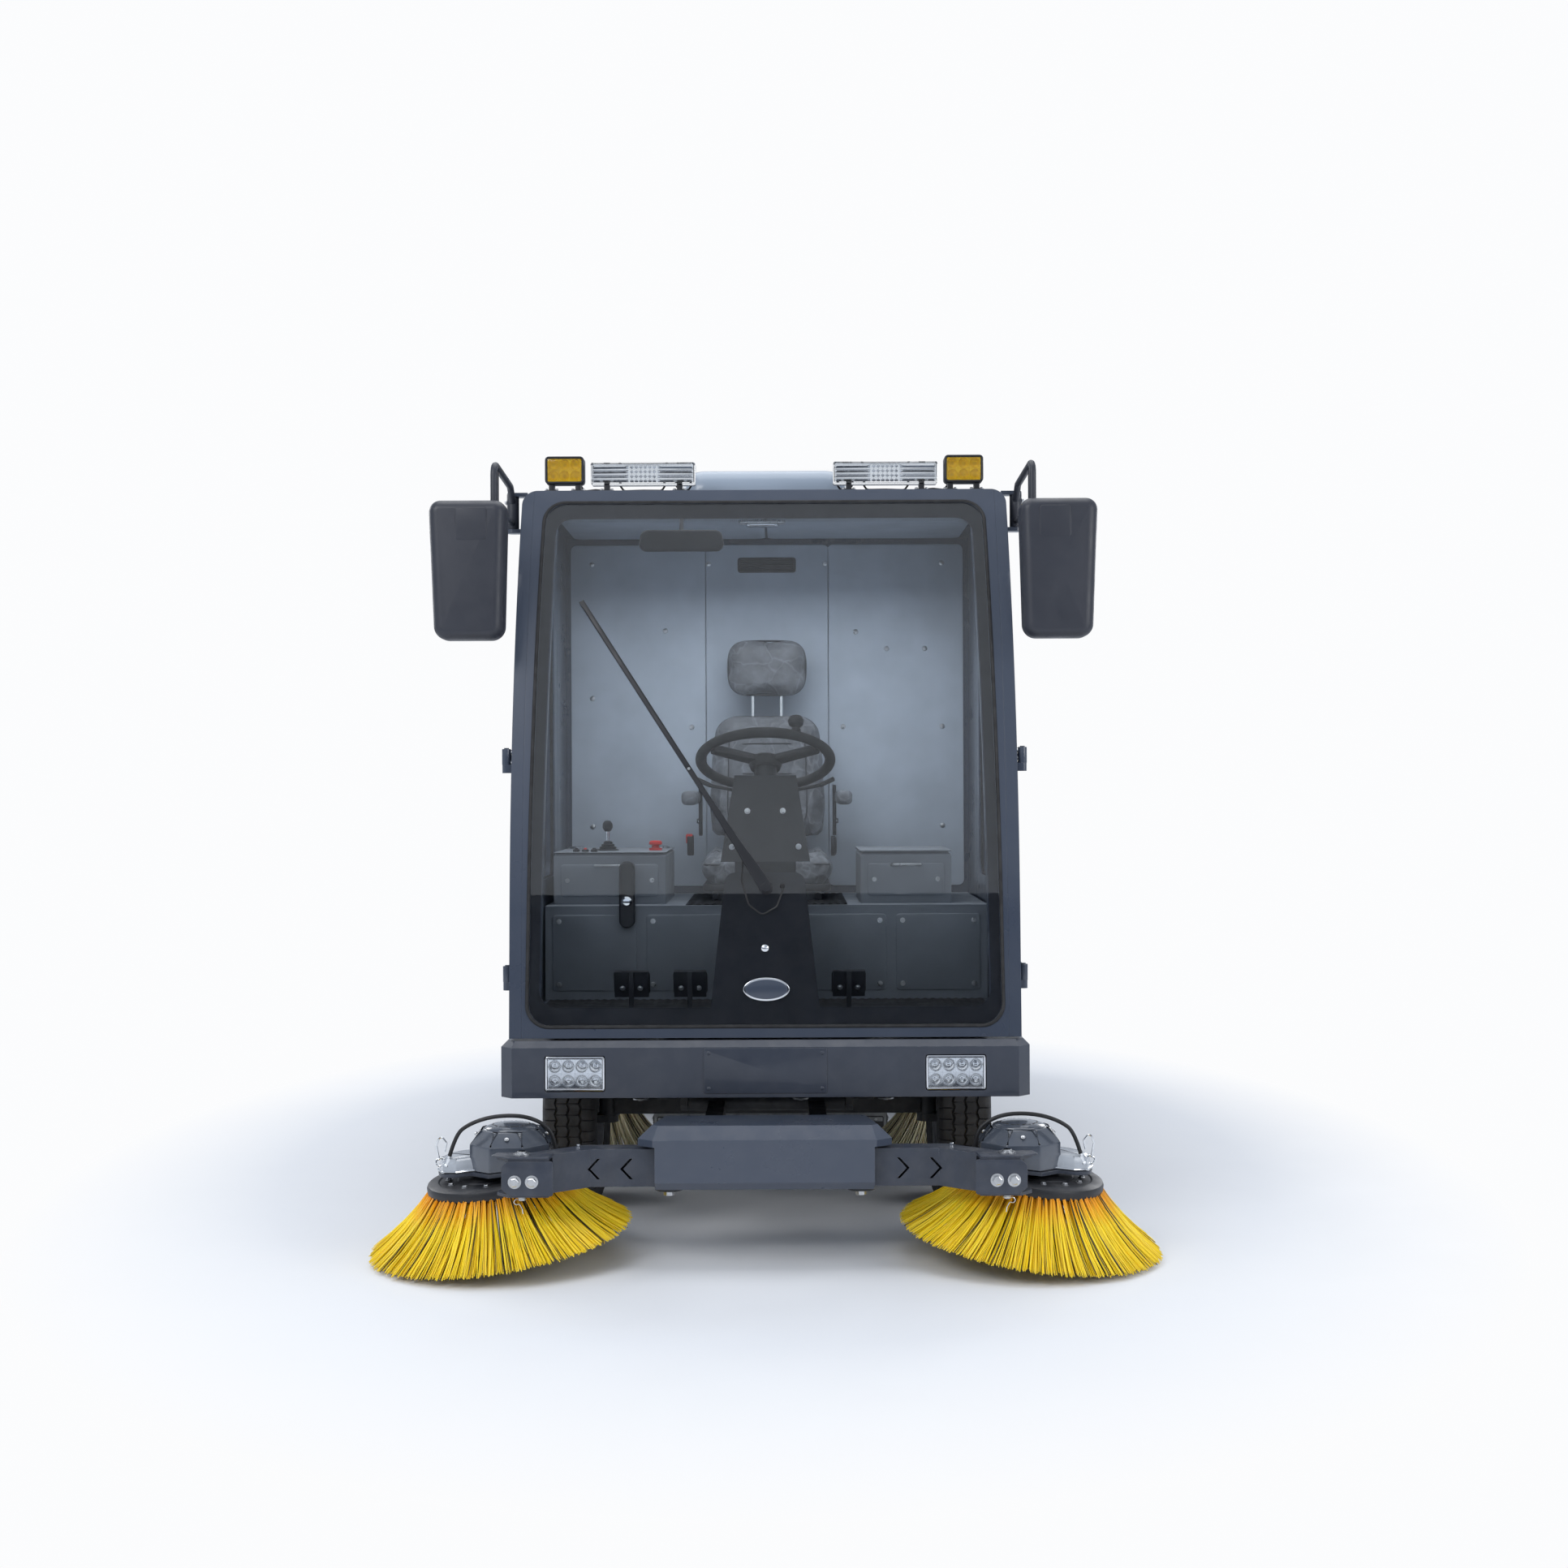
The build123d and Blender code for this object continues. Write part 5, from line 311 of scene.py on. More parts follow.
def inset(outline, amount):
    """A closed anticlockwise outline moved inwards: each point goes along its mitre, by amount over the cosine."""
    ahead = unit(np.roll(outline, -1, axis=0) - outline)
    behind = unit(outline - np.roll(outline, 1, axis=0))
    normal = np.stack([-(ahead + behind)[:, 1], (ahead + behind)[:, 0]], -1)
    normal = unit(normal)
    cosine = (normal * np.stack([-ahead[:, 1], ahead[:, 0]], -1)).sum(-1, keepdims=True)
    return outline + normal * amount / np.maximum(cosine, 0.35)


def slab(outline, low, high, edge=0.002, steps=3):
    """An outline raised from low to high, its rims rolled over by quarter circles of radius edge: rows of points."""
    angle = np.linspace(0, np.pi / 2, steps + 1)
    sink, rise = edge * (1 - np.sin(angle)), edge * (1 - np.cos(angle))
    insets = np.concatenate([sink, sink[::-1]])
    heights = np.concatenate([low + rise, high - rise[::-1]])
    return spread(outline, heights, insets)


def spread(outline, heights, insets):
    """An outline stacked at several heights, each moved inwards by its own inset: rows of points."""
    return np.stack([level(inset(outline, gap), height) for height, gap in zip(heights, insets)])


def lathe(profile, sides=48):
    """A profile of (radius, height) points turned about the local z axis: rows of rings."""
    profile = np.asarray(profile, float)
    angle = np.linspace(0, TURN, sides, endpoint=False)
    radius, height = profile[:, :1], np.broadcast_to(profile[:, 1:], (len(profile), sides))
    return np.stack([radius * np.cos(angle), radius * np.sin(angle), height], -1)


def tube(path, radius, sides=14, reference=(0, 0, 1), closed=False):
    """A round section carried along a path: each ring is square to it, the first point turned to the reference."""
    path = np.asarray(path, float)
    ahead = np.roll(path, -1, axis=0) - path
    behind = path - np.roll(path, 1, axis=0)
    if not closed:
        ahead[-1], behind[0] = behind[-1], ahead[0]
    along = unit(unit(ahead) + unit(behind))
    side = unit(np.cross(along, np.asarray(reference, float)))
    up = np.cross(side, along)
    angle = np.linspace(0, TURN, sides, endpoint=False)[None, :, None]
    radius = np.broadcast_to(np.asarray(radius, float), len(path))[:, None, None]
    rows = path[:, None] + radius * (np.cos(angle) * up[:, None] + np.sin(angle) * side[:, None])
    return np.concatenate([rows, rows[:1]]) if closed else rows


class Shape:
    """Gathers grids of points into one mesh, with a finish number on every face. Sizes that plate, turned, rod and
    bolt take are in millimetres, places in metres."""

    def __init__(self):
        self.points, self.corners, self.sizes, self.finishes, self.uvs = [], [], [], [], []
        self.count = 0

    def polygons(self, points, faces, finish=0, uv=None):
        """Adds points and equal-sided faces that count from the first of them."""
        points = np.asarray(points, float).reshape(-1, 3)
        faces = np.asarray(faces, int)
        self.points.append(points)
        self.corners.append((faces + self.count).ravel())
        self.sizes.append(np.full(len(faces), faces.shape[1]))
        self.finishes.append(np.full(len(faces), finish))
        self.uvs.append(np.zeros((len(points), 2)) if uv is None else np.asarray(uv, float).reshape(-1, 2))
        self.count += len(points)
        return self

    def rows(self, grid, wrap=True, caps=True, finish=0, uv=None):
        """Adds a grid of points as quads; wrap joins its last column to its first, caps close its ends."""
        rows, columns = grid.shape[:2]
        row = np.arange(rows - 1)[:, None]
        column = np.arange(columns if wrap else columns - 1)[None, :]
        after = (column + 1) % columns
        here, there = row * columns + column, row * columns + after
        quads = np.stack([here, there, there + columns, here + columns], -1)
        start = self.count
        self.polygons(grid, quads.reshape(-1, 4), finish, uv)
        if caps and wrap:
            ends = np.stack([np.arange(columns)[::-1], (rows - 1) * columns + np.arange(columns)]) + start
            self.corners.append(ends.ravel())
            self.sizes.append(np.full(2, columns))
            self.finishes.append(np.full(2, finish))
        return self

    def put(self, grid, at, facing=UP, finish=0, caps=True):
        """Adds a grid at a place, turned to face a way."""
        return self.rows(place(grid, at, *facing), caps=caps, finish=finish)

    def plate(self, size, rise, at, facing=UP, finish=0, arc=6, steps=3, middle=(0, 0)):
        """Adds a rounded plate: size is (width, height, corner radius), rise is (foot, top, radius of its rims)."""
        width, height, corner = (*size, 4)[:3]
        foot, top, edge = (*rise, 2)[:3]
        outline = rectangle(width * MM, height * MM, corner * MM, arc, np.multiply(middle, MM))
        return self.put(slab(outline, foot * MM, top * MM, edge * MM, steps), at, facing, finish)

    def turned(self, profile, at, facing=UP, sides=28, finish=0, caps=False):
        """Adds a profile of (radius, height) turned about local z."""
        return self.put(lathe(np.multiply(profile, MM), sides), at, facing, finish, caps)

    def rod(self, path, radius, sides=12, reference=(0, 0, 1), finish=0, closed=False):
        """Adds a rod along a path."""
        grid = tube(path, np.multiply(radius, MM), sides, reference, closed)
        return self.rows(grid, caps=not closed, finish=finish)

    def bolt(self, at, axis, across=17, height=9, finish=0, washer=1.0):
        """Adds a hexagon head with a chamfered top, on a round washer unless washer is 0."""
        facing = (1, 0.1, 0.2), axis
        if washer:
            wide = 0.72 * across * washer
            self.turned([(wide, 0), (wide, 2.2), (0.3 * across, 2.6)], at, facing, 24, finish, caps=True)
        head = ring(across / 2 / np.cos(np.pi / 6), 6)
        rows = spread(head, (min(2, height / 3), height - min(1.5, height / 3), height), (0, 0, 0.1 * across))
        return self.put(rows * MM, at, facing, finish)


def piece(name, shape, body, slot, finishes, replaces=(), sharp=32.0, merge=True):
    """Makes the mesh and its object, closes its seams, and names its body, its slot and the nodes it stands for."""
    mesh = bpy.data.meshes.new(name)
    points = np.concatenate(shape.points)
    corners = np.concatenate(shape.corners)
    sizes = np.concatenate(shape.sizes)
    mesh.vertices.add(len(points))
    mesh.vertices.foreach_set("co", points.astype(np.float32).ravel())
    mesh.loops.add(len(corners))
    mesh.loops.foreach_set("vertex_index", corners.astype(np.int32))
    mesh.polygons.add(len(sizes))
    mesh.polygons.foreach_set("loop_start", np.concatenate([[0], np.cumsum(sizes)[:-1]]).astype(np.int32))
    mesh.polygons.foreach_set("material_index", np.concatenate(shape.finishes).astype(np.int32))
    mesh.polygons.foreach_set("use_smooth", np.ones(len(sizes), bool))
    mesh.update(calc_edges=True)
    uv = np.concatenate(shape.uvs)[corners]
    if uv.any():
        mesh.uv_layers.new(name="UVMap").data.foreach_set("uv", uv.astype(np.float32).ravel())
    mesh.validate()
    if merge:
        work = bmesh.new()
        work.from_mesh(mesh)
        bmesh.ops.remove_doubles(work, verts=work.verts, dist=2e-6)
        bmesh.ops.dissolve_degenerate(work, dist=1e-6, edges=work.edges)
        work.to_mesh(mesh)
        work.free()
    mesh.set_sharp_from_angle(angle=np.radians(sharp))
    for finish in finishes if isinstance(finishes, (list, tuple)) else [finishes]:
        mesh.materials.append(surface(finish))
    thing = bpy.data.objects.new(name, mesh)
    bpy.context.scene.collection.objects.link(thing)
    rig.ride(thing, body)
    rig.slot(thing, slot)
    if replaces:
        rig.replaces(thing, *([replaces] if isinstance(replaces, str) else replaces))
    return thing


# ---------- finishes


class Graph:
    """Writes a material's nodes: a call adds one, feeds it from sockets or numbers and gives its result back."""

    def __init__(self, name):
        self.material = bpy.data.materials.new(name)
        self.material.use_nodes = True
        self.tree = self.material.node_tree
        self.shader = self.tree.nodes["Principled BSDF"]
        self.at = self.node("TexCoord").outputs["Object"]

    def node(self, kind, feeds=None, **settings):
        """Adds a shader node, with its settings and what feeds its sockets."""
        node = self.tree.nodes.new("ShaderNode" + kind)
        for key, value in settings.items():
            setattr(node, key, value)
        for key, value in (feeds or {}).items():
            self.feed(node.inputs[key], value)
        return node

    def feed(self, socket, value):
        """Links a socket, or writes a plain value."""
        if isinstance(value, bpy.types.NodeSocket):
            self.tree.links.new(value, socket)
        elif hasattr(value, "__len__") and len(value) == 3 and socket.type == "RGBA":
            socket.default_value = (*value, 1)
        else:
            socket.default_value = value

    def shade(self, **feeds):
        """Feeds the shader's own sockets."""
        for key, value in feeds.items():
            self.feed(self.shader.inputs["IOR" if key == "ior" else key.replace("_", " ").title()], value)
        return self

    def noise(self, size, detail=3.0, at=None, rough=0.55):
        """A soft noise with patches about size across."""
        feeds = {"Vector": at or self.at, "Scale": 1 / size, "Detail": detail, "Roughness": rough}
        return self.node("TexNoise", feeds).outputs["Fac"]

    def math(self, operation, a, b=0.0, clamp=False):
        """One sum on two values."""
        return self.node("Math", {0: a, 1: b}, operation=operation, use_clamp=clamp).outputs[0]

    def span(self, value, low, high, to_low=0.0, to_high=1.0):
        """Carries a value from one range into another, held at its ends."""
        feeds = {"Value": value, "From Min": low, "From Max": high, "To Min": to_low, "To Max": to_high}
        return self.node("MapRange", feeds).outputs["Result"]

    def gloss(self, size, detail, low, high):
        """Lets the roughness swing between two values over patches about size across."""
        self.shade(roughness=self.span(self.noise(size, detail), 0.3, 0.7, low, high))

    def mix(self, share, a, b):
        """Mixes two colours."""
        return self.node("Mix", {0: share, 6: a, 7: b}, data_type="RGBA").outputs[2]

    def bump(self, height, distance, strength=1.0, normal=None):
        """Lifts the surface by a height map."""
        feeds = {"Height": height, "Distance": distance, "Strength": strength}
        if normal is not None:
            feeds["Normal"] = normal
        return self.node("Bump", feeds).outputs["Normal"]


BARE_EDGE = (0.45, 0.46, 0.48)
DUST = (0.32, 0.31, 0.29)


def coated(
    name, tint, roughness, mottle=0.1, patch=0.16, grain=0.25, dust=0.12, wear=0.25,
    grain_size=0.0016, coat=0.0, metallic=0.0, rounding=0.0025,
):
    """A painted or moulded surface: its colour swings by mottle over wide patches, a fine grain lifts it, pale dust
    settles low down and on what faces up, edges are rounded and worn brighter, and its gloss varies."""
    g = Graph(name)
    tint = np.asarray(tint, float)
    shade = g.mix(g.span(g.noise(patch), 0.3, 0.7), tint * (1 - mottle), np.minimum(tint * (1 + mottle), 1))
    normal = g.node("NewGeometry").outputs["Normal"]
    rounded = g.node("Bevel", {"Radius": rounding}, samples=4).outputs["Normal"] if rounding else normal
    if wear and rounding:
        facing = g.node("VectorMath", {0: rounded, 1: normal}, operation="DOT_PRODUCT").outputs["Value"]
        edges = g.math("MULTIPLY", g.span(facing, 0.985, 0.8), g.span(g.noise(0.03, 5), 0.46, 0.66))
        shade = g.mix(g.math("MULTIPLY", edges, wear), shade, BARE_EDGE)
    if dust:
        upward = g.span(g.node("SeparateXYZ", {0: normal}).outputs["Z"], 0.2, 1.0, 0.25, 1.0)
        low = g.span(g.node("SeparateXYZ", {0: g.at}).outputs["Z"], 0.1, 1.2, 1.0, 0.35)
        settled = g.math("MULTIPLY", g.math("MULTIPLY", upward, low), g.span(g.noise(0.05, 6), 0.42, 0.72))
        shade = g.mix(g.math("MULTIPLY", settled, dust), shade, DUST)
    g.shade(base_color=shade, metallic=metallic)
    g.gloss(patch / 3, 5, roughness * 0.85, min(1, roughness * 1.2))
    if coat:
        g.shade(coat_weight=coat, coat_roughness=0.08)
    g.shade(normal=g.bump(g.noise(grain_size, 2), 0.00025, grain, rounded))
    return g.material


def glazed(name, tint, roughness=0.0, dirt=0.0):
    """Clear glass or lens plastic, its tint a little uneven, with a film of dust where dirt is set."""
    g = Graph(name)
    tint = np.asarray(tint, float)
    g.shade(base_color=g.mix(g.noise(0.3, 4), tint * 0.98, tint), ior=1.45, transmission_weight=1.0)
    if dirt:
        g.shade(roughness=g.span(g.noise(0.22, 6), 0.35, 0.75, roughness, roughness + dirt))
    else:
        g.shade(roughness=roughness)
    return g.material


def bristled(name, root, tip):
    """Plastic strands: the tint runs from root to tip along v, and u makes some strands darker."""
    g = Graph(name)
    uv = g.node("SeparateXYZ", {0: g.node("UVMap", uv_map="UVMap").outputs["UV"]})
    own, along = uv.outputs["X"], uv.outputs["Y"]
    shade = g.mix(g.span(along, 0.0, 0.42), root, tip)
    shade = g.mix(g.span(own, 0.84, 1.0, 0.0, 0.3), shade, np.asarray(root) * 0.45)
    shade = g.mix(g.span(along, 0.95, 1.0, 0.0, 0.25), shade, (0.45, 0.34, 0.05))
    g.shade(base_color=shade, subsurface_weight=0.12, subsurface_radius=(0.01, 0.006, 0.002))
    g.gloss(0.004, 3, 0.34, 0.56)
    return g.material


def rubbery(name, tint, roughness):
    """Rubber: matt, with a fine bloom and dust in its pores."""
    g = Graph(name)
    tint = np.asarray(tint, float)
    g.shade(base_color=g.mix(g.span(g.noise(0.035, 6), 0.38, 0.72), tint * 0.85, tint * 1.5 + 0.006))
    g.gloss(0.05, 4, roughness * 0.85, min(roughness * 1.15, 1))
    g.shade(normal=g.bump(g.noise(0.0012, 3), 0.0003, 0.5))
    return g.material


def brushed(name, tint, roughness, scratch, stain):
    """Bare or plated metal with fine scratches and faint stains."""
    g = Graph(name)
    tint = np.asarray(tint, float)
    stains = g.span(g.noise(0.03, 5), 0.4, 0.7)
    g.shade(base_color=g.mix(g.math("MULTIPLY", stains, stain), tint, tint * 0.35), metallic=1.0)
    g.gloss(0.012, 5, roughness * 0.7, min(1, roughness * 1.5))
    stretched = g.node("Mapping", {"Vector": g.at, "Scale": (1.0, 9.0, 1.0)}).outputs["Vector"]
    g.shade(normal=g.bump(g.noise(0.0009, 2, stretched), 0.0001, scratch))
    return g.material


def vinyl(name, tint, film=False):
    """Seat vinyl: a pebbled grain, softly glossy, under a clear film whose creases catch the light in its coat and
    whose crests carry a painted highlight in the base colour.
    """
    g = Graph(name)
    tint = np.asarray(tint, float)
    g.shade(base_color=g.mix(g.span(g.noise(0.06, 4), 0.35, 0.7), tint * 0.8, tint * 1.3))
    g.gloss(0.02, 4, 0.34, 0.52)
    cells = g.node("TexVoronoi", {"Vector": g.at, "Scale": 650.0}).outputs["Distance"]
    normal = g.bump(cells, 0.0004, 0.5)
    g.shade(normal=g.bump(g.noise(0.045, 4), 0.004, 0.5, normal))
    if film:
        swirl = g.node("TexNoise", {"Vector": g.at, "Scale": 16.0, "Detail": 2.0}).outputs["Color"]
        pushed = g.node("VectorMath", {0: swirl, "Scale": 0.09}, operation="SCALE").outputs["Vector"]
        warped = g.node("VectorMath", {0: g.at, 1: pushed}, operation="ADD").outputs["Vector"]
        ridges = g.node(
            "TexVoronoi", {"Vector": warped, "Scale": 11.0}, feature="DISTANCE_TO_EDGE").outputs["Distance"]
        creases = g.math("ADD", g.span(ridges, 0.0, 0.12, 1.0, 0.0), g.math("MULTIPLY", g.noise(0.02, 5), 1.4))
        g.shade(coat_weight=1.0, coat_roughness=0.1)
        g.shade(coat_normal=g.bump(creases, 0.012))
        # painted highlight: the base colour goes towards pale grey along the creases' crests
        crest = g.math("MULTIPLY", g.span(ridges, 0.0, 0.05, 1.0, 0.0), 0.14)
        g.shade(
            base_color=g.mix(crest, g.mix(g.span(g.noise(0.05, 5), 0.4, 0.7), tint, tint * 1.6), (0.55, 0.58, 0.62)))
    return g.material


# each finish: its maker, its colour or the setting that holds it, and its other values by position, then by name;
# those of coated are roughness, mottle, patch, grain, dust and wear
FINISHES = {
    "body paint": (coated, "paint.body", 0.3, 0.05, 0.5, 0.16, 0.1, 0.3, dict(grain_size=0.0022, coat=0.45)),
    "bumper paint": (coated, "paint.bumper", 0.36, 0.07, 0.16, 0.3, 0.16, 0.35, dict(coat=0.3)),
    "arm paint": (coated, "paint.bumper", 0.42, 0.12, 0.08, 0.5, 0.28, 0.55, dict(coat=0.2)),
    "chassis paint": (coated, "paint.chassis", 0.5, 0.2, 0.1, 0.5, 0.4, 0.4),
    "black trim": (coated, "paint.trim", 0.45, 0.12, 0.16, 0.6, 0.14, 0.0, dict(grain_size=0.0011)),
    "mirror shell": (coated, (0.028, 0.031, 0.042), 0.42, 0.08, 0.16, 0.7, 0.06, 0.0, dict(grain_size=0.001)),
    "console": (coated, "paint.console", 0.5, 0.08, 0.16, 0.6, 0.05, 0.05, dict(grain_size=0.0012)),
    # the cab lining's pale blue-grey is a painted reflection: it stands in for the sky that the windscreen mirrors
    "cab lining": (coated, (0.44, 0.5, 0.58), 0.7, 0.08, 0.16, 0.6, 0.0, 0.0),
    "pod paint": (coated, (0.3, 0.36, 0.44), 0.32, 0.05, 0.4, 0.15, 0.08, 0.1, dict(coat=0.4)),
    "motor cover": (coated, (0.06, 0.072, 0.095), 0.2, 0.1, 0.06, 0.15, 0.12, 0.3, dict(coat=0.8)),
    "pale facet": (coated, (0.4, 0.43, 0.47), 0.24, 0.12, 0.05, 0.12, 0.16, 0.2, dict(coat=0.6)),
    "wheel paint": (coated, "paint.wheel", 0.34, 0.12, 0.16, 0.25, 0.3, 0.3, dict(metallic=0.4, coat=0.2)),
    "amber plastic": (coated, (1.0, 0.66, 0.012), 0.25, 0.15, 0.01, 0.2, 0.0, 0.0, dict(rounding=0.0)),
    "frit": (coated, (0.004, 0.005, 0.011), 0.6, 0.2, 0.16, 0.0, 0.0, 0.0, dict(rounding=0.0)),
    "red plastic": (coated, "lamp.red", 0.3, 0.08, 0.16, 0.2, 0.0, 0.0),
    "glass": (glazed, "paint.glass"),
    "clear lens": (glazed, (0.93, 0.95, 0.97), 0.02),
    "amber lens": (glazed, "lamp.amber", 0.06, 0.08),
    "reflector": (brushed, (0.74, 0.76, 0.79), 0.12, 0.05, 0.03),
    "mirror glass": (brushed, (0.88, 0.9, 0.92), 0.02, 0.0, 0.02),
    "chrome": (brushed, (0.8, 0.82, 0.84), 0.09, 0.1, 0.12),
    "zinc": (brushed, (0.62, 0.63, 0.64), 0.3, 0.35, 0.25),
    "steel": (brushed, (0.34, 0.35, 0.36), 0.42, 0.5, 0.5),
    "rubber": (rubbery, (0.014, 0.014, 0.015), 0.68),
    "tyre rubber": (rubbery, (0.026, 0.026, 0.028), 0.74),
    "hose rubber": (rubbery, (0.01, 0.01, 0.011), 0.42),
    "bristle": (bristled, "brush.root", "brush.tip"),
    "dark bristle": (rubbery, (0.02, 0.018, 0.01), 0.5),
    # pale beige copy of the bristle finish: its tone is painted, for the look of the bristles in shade
    "pale bristle": (bristled, (0.62, 0.5, 0.26), (0.8, 0.72, 0.48)),
    "seat vinyl": (vinyl, (0.1, 0.108, 0.122), True),
    "piping": (vinyl, (0.035, 0.036, 0.04)),
}
MADE = {}


def setting(value):
    """A value as it is, or the one that a name such as paint.body stands for in the panel."""
    if not isinstance(value, str):
        return value
    group, key = value.split(".")
    return getattr(getattr(bpy.context.scene, f"sweeper_{group}"), key)


def surface(name):
    """The finish of that name, made the first time it is asked for."""
    if name not in MADE:
        maker, *values = FINISHES[name]
        named = values.pop() if isinstance(values[-1], dict) else {}
        MADE[name] = maker(name, *map(setting, values), **named)
    return MADE[name]


def repaint(nodes, finish):
    """Gives each CAD node one finish."""
    for name in nodes:
        node = frame["nodes"][name]
        node.data.materials.clear()
        node.data.materials.append(surface(finish))


# ---------- stage


def build_stage(scene):
    """Sets the floor, the soft lamps, the surroundings and the camera."""
    s = scene.sweeper_stage
    scene.view_settings.view_transform = "Standard"
    world = bpy.data.worlds.new("Surroundings")
    scene.world = world
    world.use_nodes = True
    tree = world.node_tree
    lit = tree.nodes["Background"]
    lit.inputs["Color"].default_value = (0.76, 0.83, 0.95, 1)
    lit.inputs["Strength"].default_value = 0.62
    seen = tree.nodes.new("ShaderNodeBackground")
    seen.inputs["Color"].default_value = (*s.backdrop, 1)
    rays = tree.nodes.new("ShaderNodeLightPath")
    either = tree.nodes.new("ShaderNodeMath")
    either.operation = "MAXIMUM"
    tree.links.new(rays.outputs["Is Camera Ray"], either.inputs[0])
    tree.links.new(rays.outputs["Is Transmission Ray"], either.inputs[1])
    mixed = tree.nodes.new("ShaderNodeMixShader")
    tree.links.new(either.outputs[0], mixed.inputs[0])
    tree.links.new(lit.outputs[0], mixed.inputs[1])
    tree.links.new(seen.outputs[0], mixed.inputs[2])
    tree.links.new(mixed.outputs[0], tree.nodes["World Output"].inputs["Surface"])

    mesh = bpy.data.meshes.new("Floor")
    mesh.from_pydata([(-40, -40, 0), (40, -40, 0), (40, 40, 0), (-40, 40, 0)], [], [(0, 1, 2, 3)])
    g = Graph("floor")
    g.shade(base_color=g.mix(g.noise(0.8, 4), (0.8, 0.82, 0.85), (0.83, 0.845, 0.87)))
    g.gloss(0.3, 4, 0.6, 0.8)
    # the floor melts into the backdrop in the open, and stays itself near the wheels: an ellipse 1.9 m by 2.9 m
    spot = g.node("SeparateXYZ", {0: g.at})
    shares = (g.math("ABSOLUTE", g.math("DIVIDE", spot.outputs[key], half)) for key, half in (("X", 1.9), ("Y", 2.9)))
    away = g.math("ADD", *(g.math("POWER", share, 2.0) for share in shares))
    glow = g.node("Emission", {"Color": s.backdrop})
    path = g.node("LightPath")
    share = g.math("MULTIPLY", g.span(away, 0.75, 1.55), path.outputs["Is Camera Ray"])
    blend = g.node("MixShader", {0: share, 1: g.shader.outputs[0], 2: glow.outputs[0]})
    g.tree.links.new(blend.outputs[0], g.tree.nodes["Material Output"].inputs["Surface"])
    mesh.materials.append(g.material)
    floor = bpy.data.objects.new("Floor", mesh)
    scene.collection.objects.link(floor)
    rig.stage(floor)

    # a dark card ahead, for the lower glass and the bumper to mirror
    card = bpy.data.meshes.new("Card")
    card.from_pydata([(-7, -9.5, 0.02), (7, -9.5, 0.02), (7, -9.5, 1.75), (-7, -9.5, 1.75)], [], [(0, 1, 2, 3)])
    card.materials.append(coated("card", (0.02, 0.024, 0.035), 0.9, dust=0.0, wear=0.0, rounding=0.0))
    screen = bpy.data.objects.new("Card", card)
    scene.collection.objects.link(screen)
    screen.visible_camera = screen.visible_diffuse = screen.visible_shadow = False
    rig.stage(screen)

    # name, place, tilt in degrees, width, height, share of the key light
    lamps = (
        ("Key", (-3.6, -5.6, 4.6), (52, 0, -33), 3.4, 2.6, 1.0),
        ("Fill", (4.6, -4.6, 2.6), (68, 0, 45), 3.0, 2.6, 0.55),
        ("Top", (0.0, 0.4, 6.2), (0, 0, 0), 5.0, 6.0, 1.15),
        ("Back left", (-4.8, 3.6, 3.4), (62, 0, -127), 3.0, 2.4, 0.55),
        ("Cab", (0.0, -0.98, 2.12), (-12, 0, 0), 1.2, 0.34, 0.095),
        ("Back right", (4.4, 4.6, 3.0), (64, 0, 136), 3.0, 2.4, 0.55),
    )
    for name, spot, tilt, width, height, share in lamps:
        light = bpy.data.lights.new(name, "AREA")
        light.shape, light.size, light.size_y = "RECTANGLE", width, height
        light.energy = s.key * share
        lamp = bpy.data.objects.new(name, light)
        lamp.location = spot
        lamp.visible_camera = lamp.visible_transmission = False
        lamp.visible_glossy = name != "Cab"
        lamp.rotation_euler = Euler(np.radians(tilt))
        scene.collection.objects.link(lamp)

    lens = bpy.data.cameras.new("Camera")
    lens.lens, lens.sensor_width = s.lens, 36
    lens.clip_end = 200
    camera = bpy.data.objects.new("Camera", lens)
    camera.location = (0.056, -7.132, 1.304)
    camera.rotation_euler = Euler((np.pi / 2, np.radians(0.25), 0))
    scene.collection.objects.link(camera)
    scene.camera = camera


class SWEEPER_OT_stage(bpy.types.Operator):
    """Sets the floor, the lamps and the camera"""

    bl_idname = "sweeper.stage"
    bl_label = "Stage"

    def execute(self, context):
        build_stage(context.scene)
        return {"FINISHED"}


# ---------- front brushes

BRUSH_X, BRUSH_Y, BRUSH_Z = 0.75, -1.645, 0.235
COVER_X, COVER_Y = 0.698, -1.65
HEAD_PIN = (0.642, -1.86)
HOSE_ROUTE = (
    (0.862, -1.685, 0.2923),
    (0.844, -1.691, 0.352),
    (0.807, -1.697, 0.38),
    (0.757, -1.7, 0.398),
    (0.704, -1.699, 0.404),
    (0.651, -1.696, 0.4),
    (0.606, -1.693, 0.381),
    (0.577, -1.691, 0.351),
    (0.57, -1.69, 0.3003),
)


def brush_lean(side):
    """The front brush's axis: leaning outwards and forwards."""
    return unit(np.array([side * np.tan(np.radians(6.8)), -np.tan(np.radians(4.0)), 1.0]))


